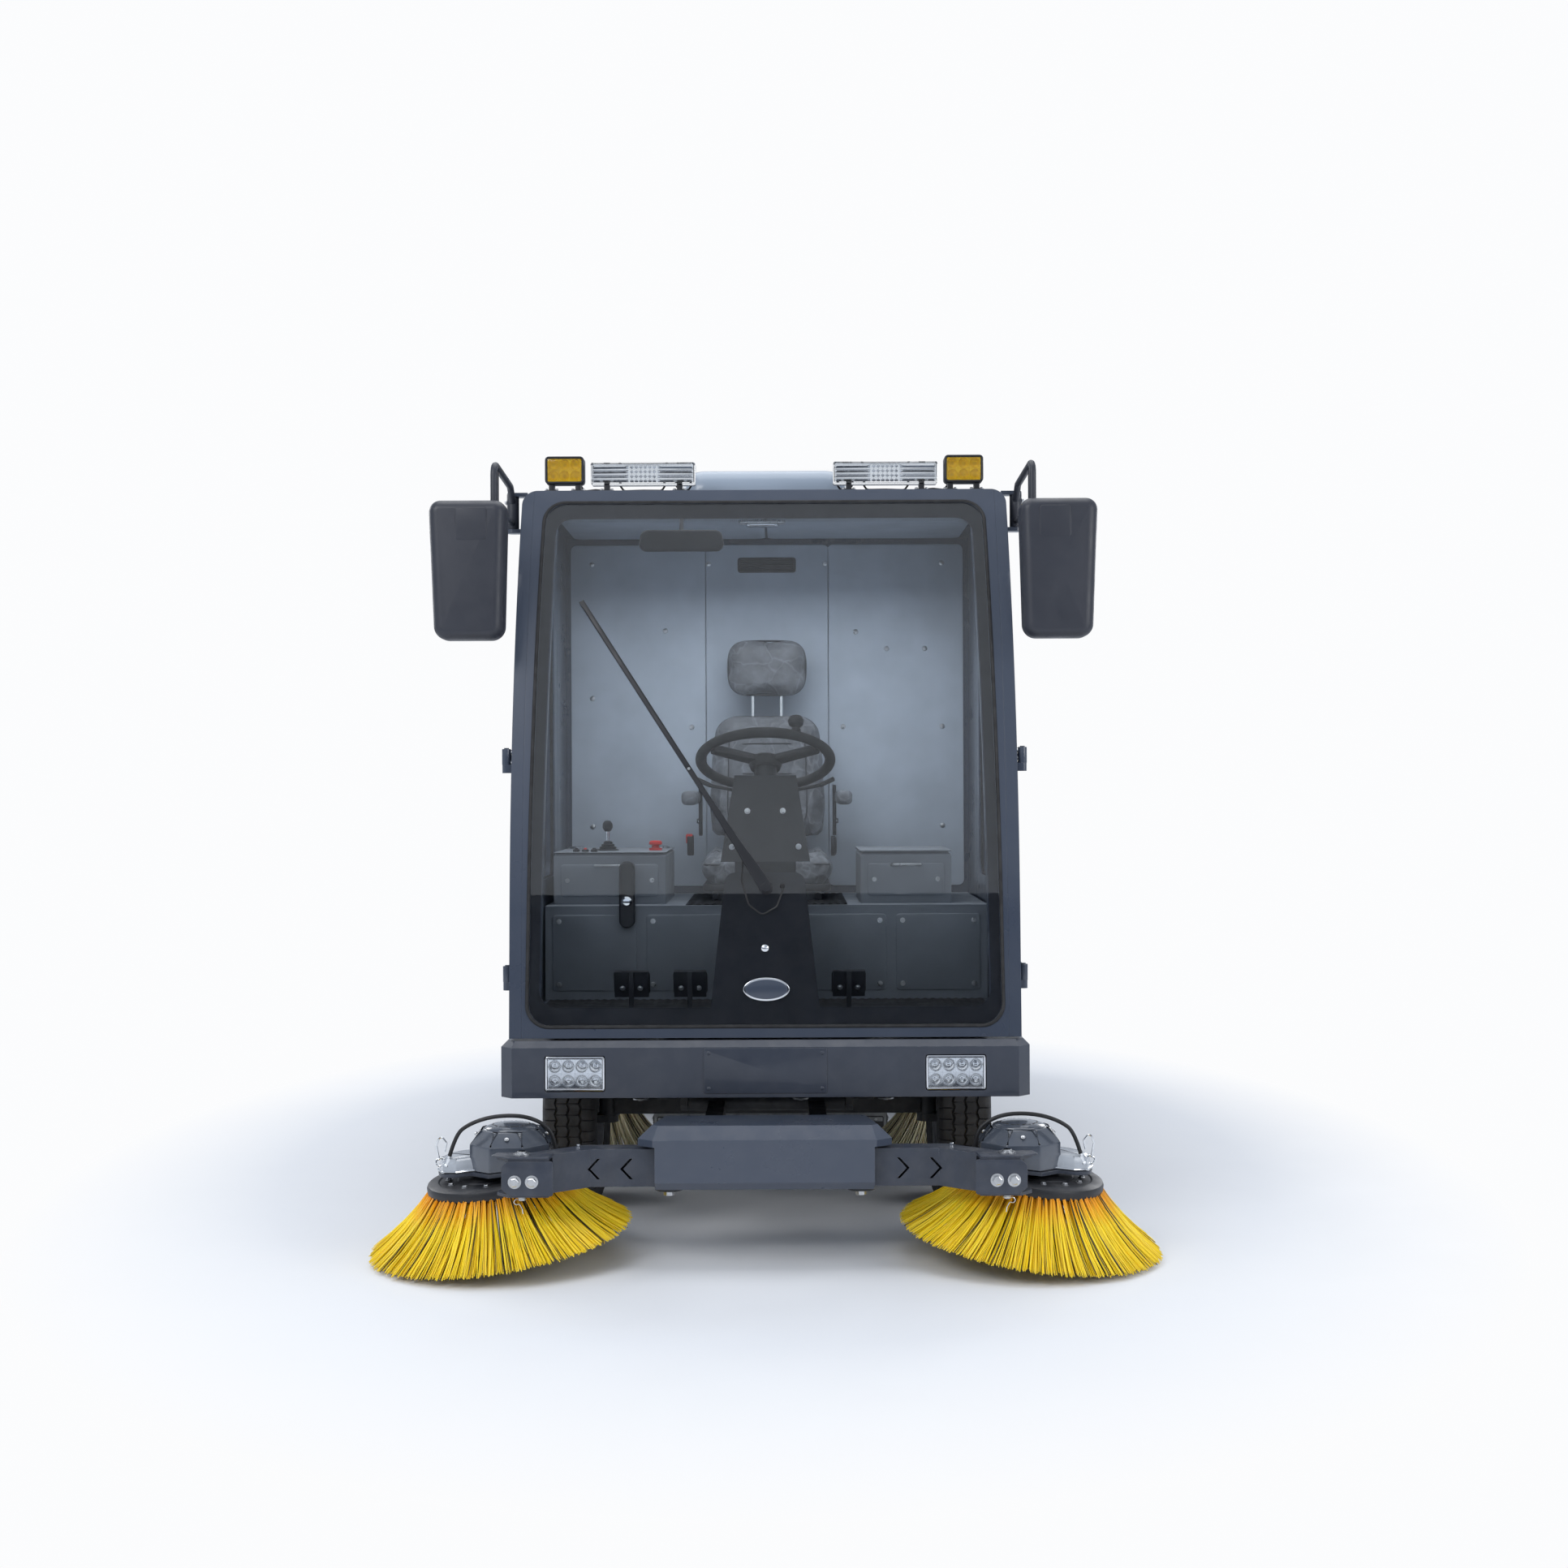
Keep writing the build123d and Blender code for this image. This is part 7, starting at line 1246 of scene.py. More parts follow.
def build_wiper():
    """Builds the wiper's arm, joint, blade and washer pipe."""
    low, high = np.array([0.004, 1.01]), np.array([-0.536, 1.842])
    share = np.linspace(0, 1, 24)[:, None]
    shape = Shape()
    hub = np.array([0.004, float(front_y(1.01)), 1.01])
    lean = (0, -1, 0.08)
    profile = [(20, 0.5), (20, 6), (15.5, 9), (15.5, 20), (12.5, 23), (0, 23.5)]
    shape.turned([(0, 0.5)] + profile, hub, on_axis(lean), sides=32)
    # arm: a tapering bar from the hub, standing off the glass in the middle
    run = low + share[:14] * (high - low) * 0.72
    arm = on_front(run) + np.column_stack(
        [0 * run[:, 0], -0.017 - 0.004 * np.sin(np.pi * share[:14, 0] / share[13, 0]), 0 * run[:, 0]])
    along = unit(high - low)
    cross = np.array([-along[1], 0, along[0]])
    half = np.interp(np.arange(14), (0, 2, 5, 13), (0.0185, 0.017, 0.0115, 0.0062))
    deep = np.interp(np.arange(14), (0, 4, 13), (0.006, 0.005, 0.0028))
    section = rectangle(2, 2, 0.45, 4)
    rows = (
        arm[:, None] + half[:, None, None] * section[None, :, :1] * cross + deep[:, None, None] * section[None, :, 1:]
        * np.array([0, -1, 0.1])
    )
    shape.rows(rows, finish=0)
    # blade: rubber lip on the glass, a spine over it and two bows
    start = low + 0.16 * (high - low)
    path = start + share * (high - start)
    for depth, wide, deep, finish in ((-0.0042, 0.0022, 0.004, 1), (-0.009, 0.0078, 0.002, 0)):
        line = on_front(path, 0.0) + (0, depth, 0)
        rows = (
            line[:, None] + wide * section[None, :, :1] * cross + deep * section[None, :, 1:] * np.array([0, -1, 0.1])
        )
        shape.rows(rows, finish=finish)
    for a, b, lift in ((0.18, 0.62, 0.008), (0.42, 0.88, 0.007), (0.02, 0.34, 0.006), (0.7, 0.98, 0.005)):
        t = np.linspace(0, 1, 14)
        line = (
            on_front(start + (a + (b - a) * t)[:, None] * (high - start)) + np.column_stack(
                [0 * t, -0.0095 - lift * np.sin(np.pi * t) ** 0.7, 0 * t]))
        rows = (
            line[:, None] + 0.0056 * section[None, :, :1] * cross + 0.0015 * section[None, :, 1:] * np.array(
                [0, -1, 0.1]))
        shape.rows(rows, finish=0)
    shape.bolt(arm[13] + (0, -0.002, 0), (0, -1, 0.15), 8, 6, finish=2, washer=0)
    piece("wiper_arm", shape, "chassis", "black_plastic", ["black trim", "rubber", "zinc"], "wiper")

    # the washer's pipe loops down from the arm to its grommet beside the pivot
    loop = np.array(
        [
            (-0.062, 1.094), (-0.066, 1.03), (-0.046, 0.962), (-0.008, 0.932), (0.034, 0.956), (0.05, 0.998),
            (0.05, 1.014)])
    path = bent(on_front(loop) + (0, -0.0045, 0), 0.018)
    path[0] += (0, -0.004, 0)
    pipe = Shape().rod(path, 2.1, 8, (0, 1, 0))
    pipe.turned(
        [(7.5, 0), (7.5, 3), (4.5, 6.5), (0, 7)], (0.05, float(front_y(1.014)), 1.014), on_axis(lean), sides=20,
        caps=True)
    piece("washer_pipe", pipe, "chassis", "hose_rubber", ["hose rubber"])


class SWEEPER_OT_wiper(bpy.types.Operator):
    """Builds the wiper"""

    bl_idname = "sweeper.wiper"
    bl_label = "Wiper"

    def execute(self, context):
        build_wiper()
        return {"FINISHED"}


def led_cell(shape, spot, size, radius, depth, dish, glow):
    """One lamp cell: a block with a round, stepped dish let into its face and a bright bead at the bottom."""
    way = ring(1.0, 24)
    block = way / np.abs(way).max(1, keepdims=True) * np.asarray(size) / 2
    wall = [
        (1.0, 0.0), (0.96, -0.0006), (0.8, -0.55 * depth), (0.74, -0.6 * depth), (0.45, -0.93 * depth), (0.0, -depth)]
    back = -depth - 0.0015
    rows = [(0 * block, back), (block, back), (block, 0.0), *((part * radius * way, height) for part, height in wall)]
    grid = np.stack([level(outline, height) for outline, height in rows])
    shape.put(grid, spot, FRONT, caps=False, finish=dish)
    bead = np.linspace(0, 1, 5) * np.pi / 2
    ball = np.stack([radius * 0.3 * np.cos(bead), -depth + radius * 0.42 * np.sin(bead)], -1)
    shape.put(
        lathe(np.vstack([[0, -depth * 1.02], [radius * 0.3, -depth * 1.02], ball]), 14), spot, FRONT, caps=False,
        finish=glow)


def build_lamps():
    """Builds the headlamps, the amber roof lamps, the light bars with their feet and cables, and the tail lamps."""
    heads = Shape()
    for _, side in SIDES:
        spot = np.array([side * 0.538, -1.5085, 0.488])
        rim = rectangle(0.168, 0.098, 0.007)
        levels = (-0.046, -0.002, 0, 0.0008, 0.0008, -0.0015, -0.0205)
        shell = spread(rim, levels, (0, 0, 0.0008, 0.0022, 0.0052, 0.007, 0.0072))
        heads.put(shell, spot, FRONT)
        for column in range(4):
            for row in range(2):
                cell = spot + np.array([(column - 1.5) * 0.0378, 0.0055, (row - 0.5) * 0.041])
                led_cell(heads, cell, (0.0374, 0.0406), 0.0176, 0.014, 0, 1)
                heads.turned([(19.2, -0.8), (18.6, 1), (18.1, 1), (17.5, -0.8), (19.2, -0.8)], cell, FRONT, sides=24)
        heads.plate((153, 83, 5), (-2.8, -0.6, 0.6), spot, FRONT, finish=2)
        for x, z in ((-1, -1), (1, -1), (1, 1), (-1, 1)):
            heads.bolt(spot + np.array([x * 0.08, -0.0008, z * 0.045]), (0, -1, 0), 4.2, 1.4, finish=3, washer=0)
    piece(
        "headlamp_units", heads, "chassis", "lamp_lens", ["reflector", "clear lens", "clear lens", "zinc"],
        "headlamps")

    roof = Shape()
    for _, side in SIDES:
        # amber lamp: black tray, six cells under a ribbed lens
        spot = np.array([side * 0.603, -1.092, 2.2545])
        tray = rectangle(0.118, 0.083, 0.012)
        levels = (-0.028, -0.026, -0.022, 0.024, 0.0268, 0.0276, 0.0262, 0.0085)
        rows = spread(tray, levels, (0.006, 0.002, 0, 0, 0.0012, 0.0035, 0.0062, 0.0066))
        roof.put(np.stack(rows), spot, FRONT, finish=0)
        for column in range(3):
            for row in range(2):
                led_cell(
                    roof, spot + ((column - 1) * 0.0335, -0.0222, (row - 0.5) * 0.0335), (0.0331, 0.0331), 0.0158,
                    0.011, 4, 1)
        roof.plate((104, 69, 6), (8, 10.5, 0.4), spot, FRONT, finish=4)
        roof.plate((104, 69, 6), (23.2, 26.2, 1), spot, FRONT, finish=5)
        for fin in np.linspace(-42, 42, 9):
            roof.plate((2.2, 66, 0.8), (-27.9, -18, 0.5), spot, FRONT, arc=3, middle=(fin, 0))
        # light bar: bright tray with slatted reflectors and a diamond-cut middle behind a clear cover
        spot = np.array([side * 0.366, -1.092, 2.244])
        tray = rectangle(0.316, 0.066, 0.006)
        levels = (-0.028, -0.024, 0.022, 0.025, 0.0258, 0.0245, 0.0085)
        rows = spread(tray, levels, (0.004, 0, 0, 0.001, 0.0028, 0.0052, 0.0056))
        roof.put(np.stack(rows), spot, FRONT, finish=1)
        for row in range(4):
            height = (row - 1.5) * 0.0135
            for end in (-1, 1):
                a, b = 0.044, 0.15
                blade = np.array(
                    [(a, height - 0.005), (b, height - 0.0058), (b, height + 0.0058), (a, height + 0.005)])
                ridge = np.array([(a + 0.012, height), (b - 0.004, height)])
                blade, ridge = blade * (end, 1), ridge * (end, 1)
                points = np.vstack([level(blade, 0.01), level(ridge, 0.0205)])
                faces = np.array([[0, 1, 5, 4], [2, 3, 4, 5], [3, 2, 1, 0]])
                tips = np.array([[3, 0, 4], [1, 2, 5]])
                roof.polygons(place(points, spot, *FRONT), faces if end > 0 else faces[:, ::-1], 2)
                roof.polygons(place(points, spot, *FRONT), tips if end > 0 else tips[:, ::-1], 2)
            for column in range(6):
                centre = np.array([(column - 2.5) * 0.0135, height])
                foot = centre + np.array([(-0.0064, 0), (0, -0.0062), (0.0064, 0), (0, 0.0062)])
                gem = np.vstack([level(foot, 0.0105), [[*centre, 0.02]]])
                roof.polygons(
                    place(gem, spot, *FRONT), [[0, 1, 4], [1, 2, 4], [2, 3, 4], [3, 0, 4], [3, 2, 1], [3, 1, 0]], 2)
        roof.plate((306, 56), (8.8, 9.8, 0.3), spot, FRONT, finish=2)
        roof.plate((304.5, 54.5), (21.5, 24.3, 0.8), spot, FRONT, finish=3)
        # feet with their bolts, and the cables that dip between them
        for centre, reach, low in ((0.366, 0.11, 2.211), (0.603, 0.04, 2.213)):
            for step in (-reach, reach):
                x = side * centre + step
                foot = fillet(
                    [
                        (-0.022, 0.0), (0.022, 0.0), (0.022, 0.004), (0.008, 0.006), (0.008, low - 2.19 + 0.004),
                        (-0.008, low - 2.19 + 0.004), (-0.008, 0.006), (-0.022, 0.004)],
                    0.0015, 3)
                roof.put(slab(foot, -0.017, 0.017, 0.0008), (x, -1.092, 2.1903), FRONT, finish=0)
                for end in (-1, 1):
                    roof.bolt((x + end * 0.0155, -1.1, 2.1942), (0, 0, 1), 8, 6, finish=6)
        for a, b, dip in ((0.3, 0.44, 0.012), (0.47, 0.56, 0.01), (0.22, 0.27, 0.01)):
            line = [
                (side * a, -1.07, 2.216), (side * (a + 0.012), -1.058, 2.2),
                (side * (a + b) / 2, -1.052, 2.2135 - dip), (side * (b - 0.012), -1.058, 2.199),
                (side * b, -1.07, 2.216)]
            roof.rod(bent(line, 0.012, 5), 3, 8, (0, 1, 0.2), finish=7)
    piece(
        "roof_lamps", roof, "chassis", "amber_lens",
        ["black trim", "clear lens", "reflector", "clear lens", "amber plastic", "amber lens", "zinc", "hose rubber"],
        "roof_lights")

    tails = Shape()
    for _, side in SIDES:
        spot = (side * 0.59, 1.985, 0.43)
        tails.plate((190, 66, 10), (0.3, 8.5, 1.5), spot, REAR)
        for x, wide, finish in ((-58 * side, 54, 1), (0, 52, 2), (58 * side, 54, 3)):
            tails.plate((wide, 52, 5), (7.5, 13.8, 2.6), spot, REAR, finish, 5, 4, (x, 0))
            for row in np.linspace(-19, 19, 8):
                tails.plate((wide - 10, 2, 0.6), (13, 14.2, 0.4), spot, REAR, finish, 3, 3, (x, row))
    piece(
        "tail_lamp_units", tails, "chassis", "red_lens", ["black trim", "red plastic", "amber plastic", "reflector"],
        "tail_lamps")


class SWEEPER_OT_lamps(bpy.types.Operator):
    """Builds the lamps"""

    bl_idname = "sweeper.lamps"
    bl_label = "Lamps"

    def execute(self, context):
        build_lamps()
        return {"FINISHED"}


def build_bumper():
    """Adds the bumper's raised blank plate and its screws, and paints both bumpers."""
    shape = Shape()
    shape.plate((348, 128, 6), (0, 3, 1.2), (0, -1.51, 0.4955), FRONT, arc=5)
    for x in (-0.16, 0.16):
        for z in (-0.05, 0.05):
            dish = [(5, 0), (5, 0.9), (3.6, 1.7), (0, 2)]
            shape.turned([(0, 0)] + dish, (x, -1.513, 0.4955 + z), FRONT, sides=18, finish=1)
    piece("bumper_plate", shape, "chassis", "bumper_paint", ["bumper paint"])
    repaint(("front_bumper", "rear_bumper"), "bumper paint")


class SWEEPER_OT_bumper(bpy.types.Operator):
    """Builds the bumpers"""

    bl_idname = "sweeper.bumper"
    bl_label = "Bumpers"

    def execute(self, context):
        build_bumper()
        return {"FINISHED"}


# ---------- cab interior


def swell(thing, cap, fill, finer=0):
    """Swells a closed soft piece: voxel remesh, 20 frames of cloth under pressure, no point moved beyond cap."""
    scene = bpy.context.scene
    remesh = thing.modifiers.new("Remesh", "REMESH")
    remesh.mode, remesh.voxel_size = "VOXEL", 0.006
    mesh = bpy.data.meshes.new_from_object(thing.evaluated_get(bpy.context.evaluated_depsgraph_get()))
    materials = list(thing.data.materials)
    thing.modifiers.clear()
    thing.data = mesh
    mesh.materials.clear()
    for material in materials:
        mesh.materials.append(material)
    start = np.empty(len(mesh.vertices) * 3, np.float32)
    mesh.vertices.foreach_get("co", start)
    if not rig.quick():
        cloth = thing.modifiers.new("Cloth", "CLOTH").settings
        cloth.use_pressure = True
        cloth.uniform_pressure_force = 4.0
        cloth.effector_weights.gravity = 0.0
        for moment in range(1, 21):
            scene.frame_set(moment)
        swollen = thing.evaluated_get(bpy.context.evaluated_depsgraph_get()).data
        end = np.empty_like(start)
        swollen.vertices.foreach_get("co", end)
        thing.modifiers.clear()
        scene.frame_set(1)
        move = (end - start).reshape(-1, 3)
        far = np.linalg.norm(move, axis=1, keepdims=True)
        start += (move * np.minimum(1.0, cap / np.maximum(far, 1e-9))).ravel()
        mesh.vertices.foreach_set("co", start)
    mesh.polygons.foreach_set("material_index", np.zeros(len(mesh.polygons), np.int32))
    mesh.polygons.foreach_set("use_smooth", np.ones(len(mesh.polygons), bool))
    mesh.update()
    if finer:
        smooth = thing.modifiers.new("Finer", "SUBSURF")
        smooth.levels = smooth.render_levels = finer
    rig.padded(thing, fill)
    return start.reshape(-1, 3)


def laid(route, skin):
    """A route drawn onto a skin: each point takes the mean of the skin's four nearest points, then is smoothed."""
    near = np.argsort(((route[:, None] - skin[None]) ** 2).sum(-1), axis=1)[:, :4]
    route = skin[near].mean(1)
    for _ in range(4):
        route = 0.5 * route + 0.25 * (np.roll(route, 1, axis=0) + np.roll(route, -1, axis=0))
    return route


SEAT_MID = -0.56
SEAT_BACK_MID = -0.39


def build_seat():
    """Builds the driver's seat: swollen cushion, back and headrest with piping, arm pads, posts and a slide."""
    cushion = Shape()
    cushion.plate((395, 430, 60), (0, 92, 30), (0, SEAT_MID, 0.98), arc=8, steps=6)
    bolster = np.array([(0.02, -0.205), (0.04, -0.185), (0.047, -0.1), (0.047, 0.1), (0.04, 0.185), (0.02, 0.205)])
    for x in (-0.178, 0.178):
        path = np.column_stack([np.full(6, x), SEAT_MID + bolster[:, 1], np.full(6, 1.035)])
        cushion.rows(tube(path, bolster[:, 0], 20))
    seat = piece("seat_pad", cushion, "chassis", "seat_vinyl", ["seat vinyl"], "seat_cushion")
    skin = swell(seat, 0.012, 0.75)

    back = Shape()
    back.plate((375, 430, 85), (0, 78, 28), (0, SEAT_BACK_MID + 0.036, 1.33), FRONT, arc=8, steps=6)
    for x in (-0.16, 0.16):
        z = np.array([-0.205, -0.185, -0.1, 0.08, 0.165, 0.195])
        path = np.column_stack(
            [x * np.interp(z, (-0.2, 0.0, 0.2), (1.0, 1.0, 0.86)), np.full(6, SEAT_BACK_MID - 0.012), 1.33 + z])
        back.rod(path, (18, 38, 46, 46, 38, 16), 20, (0, 1, 0))
    rest = piece("seat_backrest", back, "chassis", "seat_vinyl", ["seat vinyl"], "seat_back")
    back_skin = swell(rest, 0.012, 0.75)

    head = Shape()
    head.plate((268, 192, 62), (0, 80, 30), (0, SEAT_BACK_MID + 0.036, 1.695), FRONT, arc=8, steps=6)
    top = piece("seat_headrest", head, "chassis", "seat_vinyl", ["seat vinyl"])
    head_skin = swell(top, 0.01, 0.8, finer=1)

    seams = Shape()
    loop = rectangle(0.47, 0.47, 0.07, 10, (0, SEAT_MID))
    seams.rod(laid(level(loop, 1.058), skin), 3.4, 8, closed=True)
    for x in (-0.128, 0.128):
        run = np.linspace(-0.19, 0.19, 40)
        seams.rod(laid(np.column_stack([np.full(40, x), SEAT_MID + run, np.full(40, 1.12)]), skin)[3:-3], 2.4, 8)
        up = np.linspace(-0.18, 0.18, 40)
        seams.rod(
            laid(np.column_stack([np.full(40, x * 0.94), np.full(40, -0.47), 1.33 + up]), back_skin)[3:-3], 2.4, 8,
            (0, 1, 0))
    for height in (1.24, 1.34, 1.44):
        run = np.linspace(-0.108, 0.108, 24)
        seams.rod(laid(np.column_stack([run, np.full(24, -0.47), np.full(24, height)]), back_skin)[2:-2], 2.2, 8)
    for width, height, corner, middle, own in (
        (0.4, 0.44, 0.09, 1.33, back_skin), (0.28, 0.2, 0.07, 1.695, head_skin)
    ):
        loop = rectangle(width, height, corner, 10)
        route = np.column_stack([loop[:, 0], np.full(len(loop), SEAT_BACK_MID - 0.022), middle + loop[:, 1]])
        seams.rod(laid(route, own), 3.2, 8, (0, 1, 0), closed=True)
    # two posts of the headrest, the slide and its handle, arm pads on their links
    for x in (-0.048, 0.048):
        seams.rod([(x, SEAT_BACK_MID, 1.53), (x, SEAT_BACK_MID, 1.63)], 6, reference=(1, 0, 0), finish=1)
        seams.rod([(x * 3.4, SEAT_MID - 0.22, 0.946), (x * 3.4, SEAT_MID + 0.22, 0.946)], 12, finish=2)
    seams.plate((410, 430, 30), (962, 984, 4), (0, SEAT_MID, 0), finish=2, arc=5)
    seams.plate((340, 360, 30), (930.5, 962, 3), (0, SEAT_MID, 0), finish=2, arc=5)
    handle = bent(
        [
            (-0.12, SEAT_MID - 0.2, 0.95), (-0.12, SEAT_MID - 0.262, 0.944), (0.12, SEAT_MID - 0.262, 0.944),
            (0.12, SEAT_MID - 0.2, 0.95)],
        0.02)
    seams.rod(handle, 5, 10, finish=1)
    for side in (-1, 1):
        seams.plate((34, 170, 16), (-6, 6), (side * 0.226, -0.396, 1.215), outward(side), finish=2)
        seams.plate((52, 285, 24), (0, 46, 16), (side * 0.252, -0.528, 1.236), finish=3, arc=8, steps=5)
        seams.bolt((side * 0.232, -0.396, 1.18), (side, 0, 0), 16, 8, finish=1)
    # recliner and belt buckle
    seams.turned(
        [(0, 0), (34, 0), (34, 12), (28, 18), (0, 20)], (0.214, -0.4, 1.095), ((0, 1, 0), (1, 0, 0)), finish=2)
    seams.plate((26, 70, 8), (0, 22, 4), (-0.248, -0.43, 1.1), ((0, 1, 0.2), (-1, 0, 0)), finish=2)
    seams.plate((18, 30), (4, 26, 3), (-0.248, -0.436, 1.122), ((0, 1, 0.2), (-1, 0, 0)), finish=4)
    piece(
        "seat_fittings", seams, "chassis", "seat_vinyl",
        ["piping", "chrome", "black trim", "seat vinyl", "red plastic"])


class SWEEPER_OT_seat(bpy.types.Operator):
    """Builds the seat"""

    bl_idname = "sweeper.seat"
    bl_label = "Seat"

    def execute(self, context):
        build_seat()
        return {"FINISHED"}


WHEEL_SPOT = np.array([0.0, -1.09, 1.376])
WHEEL_AXIS = np.array([0.0, np.sin(np.radians(24)), np.cos(np.radians(24))])


def build_controls():
    """Builds the steering wheel, the column's stalks, the pedals' pads, the consoles' controls and their plates."""
    def on_wheel(points, height=0.0):
        return place(points, WHEEL_SPOT + WHEEL_AXIS * height, (1, 0, 0), WHEEL_AXIS)

    wheel = Shape()
    # the grip is a ring whose section swells in four places: radius = 15.4 mm + 0.8 mm · cos(4·angle)
    angle = np.linspace(0, TURN, 96, endpoint=False)
    loop = np.stack([0.196 * np.cos(angle), 0.196 * np.sin(angle), 0 * angle], -1)
    section = np.linspace(0, TURN, 20, endpoint=False)
    girth = (0.0154 + 0.0008 * np.cos(4 * angle))[:, None, None]
    out = np.stack([np.cos(angle), np.sin(angle), 0 * angle], -1)
    rows = (
        loop[:, None] + girth
        * (np.cos(section)[None, :, None] * out[:, None] + np.sin(section)[None, :, None] * np.array([0, 0, 1.0]))
    )
    wheel.rows(on_wheel(np.concatenate([rows, rows[:1]]))[:, ::-1], caps=False)
    for turn in np.radians((90, 210, 330)):
        spoke = np.array(
            [(0.03, -0.021), (0.182, -0.013), (0.182, 0.013), (0.03, 0.021)]
        ) @ np.array([[np.cos(turn), np.sin(turn)], [-np.sin(turn), np.cos(turn)]])
        wheel.rows(on_wheel(slab(fillet(spoke, 0.003, 4), -0.016, -0.0035, 0.003, 3)), finish=0)
    wheel.rows(
        on_wheel(
            lathe([(0, -0.03), (0.044, -0.03), (0.05, -0.016), (0.048, 0.002), (0.038, 0.0085), (0.0, 0.0105)], 40)),
        caps=False)
    wheel.rows(
        on_wheel(lathe([(0.02, 0.0098), (0.027, 0.0098), (0.024, 0.0118), (0.02, 0.0098)], 40)), caps=False, finish=1)
    # turning knob on its clamp, at the rim's front right
    spin = np.radians(-62)
    knob = WHEEL_SPOT + 0.196 * (np.cos(spin) * np.array([1, 0, 0]) + np.sin(spin) * np.cross(WHEEL_AXIS, (1, 0, 0)))
    wheel.turned(
        [(0, 10), (14, 10), (14, 20), (10, 26), (21, 36), (24, 48), (18, 60), (0, 64)], knob, on_axis(WHEEL_AXIS))
    # column stalks and rivets on the shroud
    for side in (-1, 1):
        stalk = bent([(side * 0.09, -1.15, 1.285), (side * 0.165, -1.135, 1.3), (side * 0.205, -1.105, 1.318)], 0.02)
        wheel.rows(tube(stalk, np.linspace(0.005, 0.0075, len(stalk)), 12))
        wheel.bolt((side * 0.052, -1.281, 1.225), (0, -1, 0.1), 12, 6, finish=2)
        wheel.bolt((side * 0.098, -1.279, 1.12), (0, -1, 0), 12, 6, finish=2)
    piece("steering_grip", wheel, "chassis", "black_plastic", ["rubber", "chrome", "zinc"])

    pads = Shape()
    for x, width in ((-0.392, 100), (-0.221, 94), (0.243, 94)):
        lean = unit(np.array([0, 0.93, 0.3]))
        spot = np.array([x, -1.292, 0.722])
        pads.plate((width + 6, 74, 12), (0, 7, 2.5), spot, on_axis(lean))
        for k in range(-2, 3):
            along = spot + k * np.cross(lean, (1, 0, 0)) * 0.0115
            pads.plate((width - 14, 5, 2), (6.2, 9.8, 1.2), along, on_axis(lean))
        for a in (-0.026, 0.026):
            pads.bolt(spot + (a, -0.0205, -0.012), -lean, 11, 6, finish=1)
    piece("pedal_pads", pads, "chassis", "black_plastic", ["rubber", "zinc"])

    console = Shape()
    # lever in its gaiter, knobs, mushroom button and gauges on the right-hand box
    gaiter = [(34, 0), (34, 3), (26, 6), (28, 11), (20, 14), (22, 19), (14, 22), (15, 27), (8, 31)]
    console.turned([(0, 0)] + gaiter + [(0, 31)], (-0.511, -0.72, 1.0925), sides=32)
    console.rod([(-0.511, -0.72, 1.115), (-0.511, -0.728, 1.16)], 5.2, finish=1)
    console.turned(
        [(0, 0), (10, 1), (16.5, 12), (15.5, 26), (9, 34), (0, 36)], (-0.511, -0.728, 1.154), on_axis((0, -0.15, 1)))
    console.turned(
        [(0, 0), (21, 0), (21, 7), (12, 9), (12, 16), (21, 19), (21, 27), (16, 31), (0, 32)], (-0.358, -0.72, 1.0925),
        sides=32, finish=2)
    for k, x in enumerate((-0.6, -0.572, -0.544)):
        console.plate((20, 30), (0, 8), (x, -0.84, 1.0925))
        console.plate(
            (10, 18, 3), (6, 12), (x, -0.84 + 0.003 * (-1) ** k, 1.0925), on_axis((0, 0.12 * (-1) ** k, 1)),
            finish=2 if k == 1 else 0)
    for x in (-0.63, -0.35):
        console.turned([(21, 0), (25, 1), (25, 6), (21, 7), (21, 0)], (x, -0.52, 1.0925), sides=32, finish=1)
        console.turned([(0, 0.5), (21.5, 0.5), (21.5, 4), (0, 4.5)], (x, -0.52, 1.0925), sides=32)
    # tall switch box on the platform's front, and hatch plates with their bolts
    console.plate((48, 205, 23), (0, 40, 6), (-0.428, -0.9805, 0.966), FRONT, arc=8, steps=4)
    console.turned([(0, 0), (16, 0), (16, 4), (11, 6), (0, 3.5)], (-0.428, -1.0205, 0.945), FRONT, finish=1)
    piece("console_controls", console, "chassis", "black_plastic", ["black trim", "chrome", "red plastic"])

    plates = Shape()
    for x, width in ((-0.53, 260), (-0.235, 270), (0.235, 270), (0.53, 260)):
        plates.plate((width, 235, 12), (0, 4, 1.4), (x, -0.9804, 0.785), FRONT)
        for a, b in ((-1, -1), (-1, 1), (1, -1), (1, 1)):
            corner = (x + a * (width / 2 - 20) * MM, -0.9842, 0.785 + b * 0.0975)
            plates.bolt(corner, (0, -1, 0), 11, 6, finish=1)
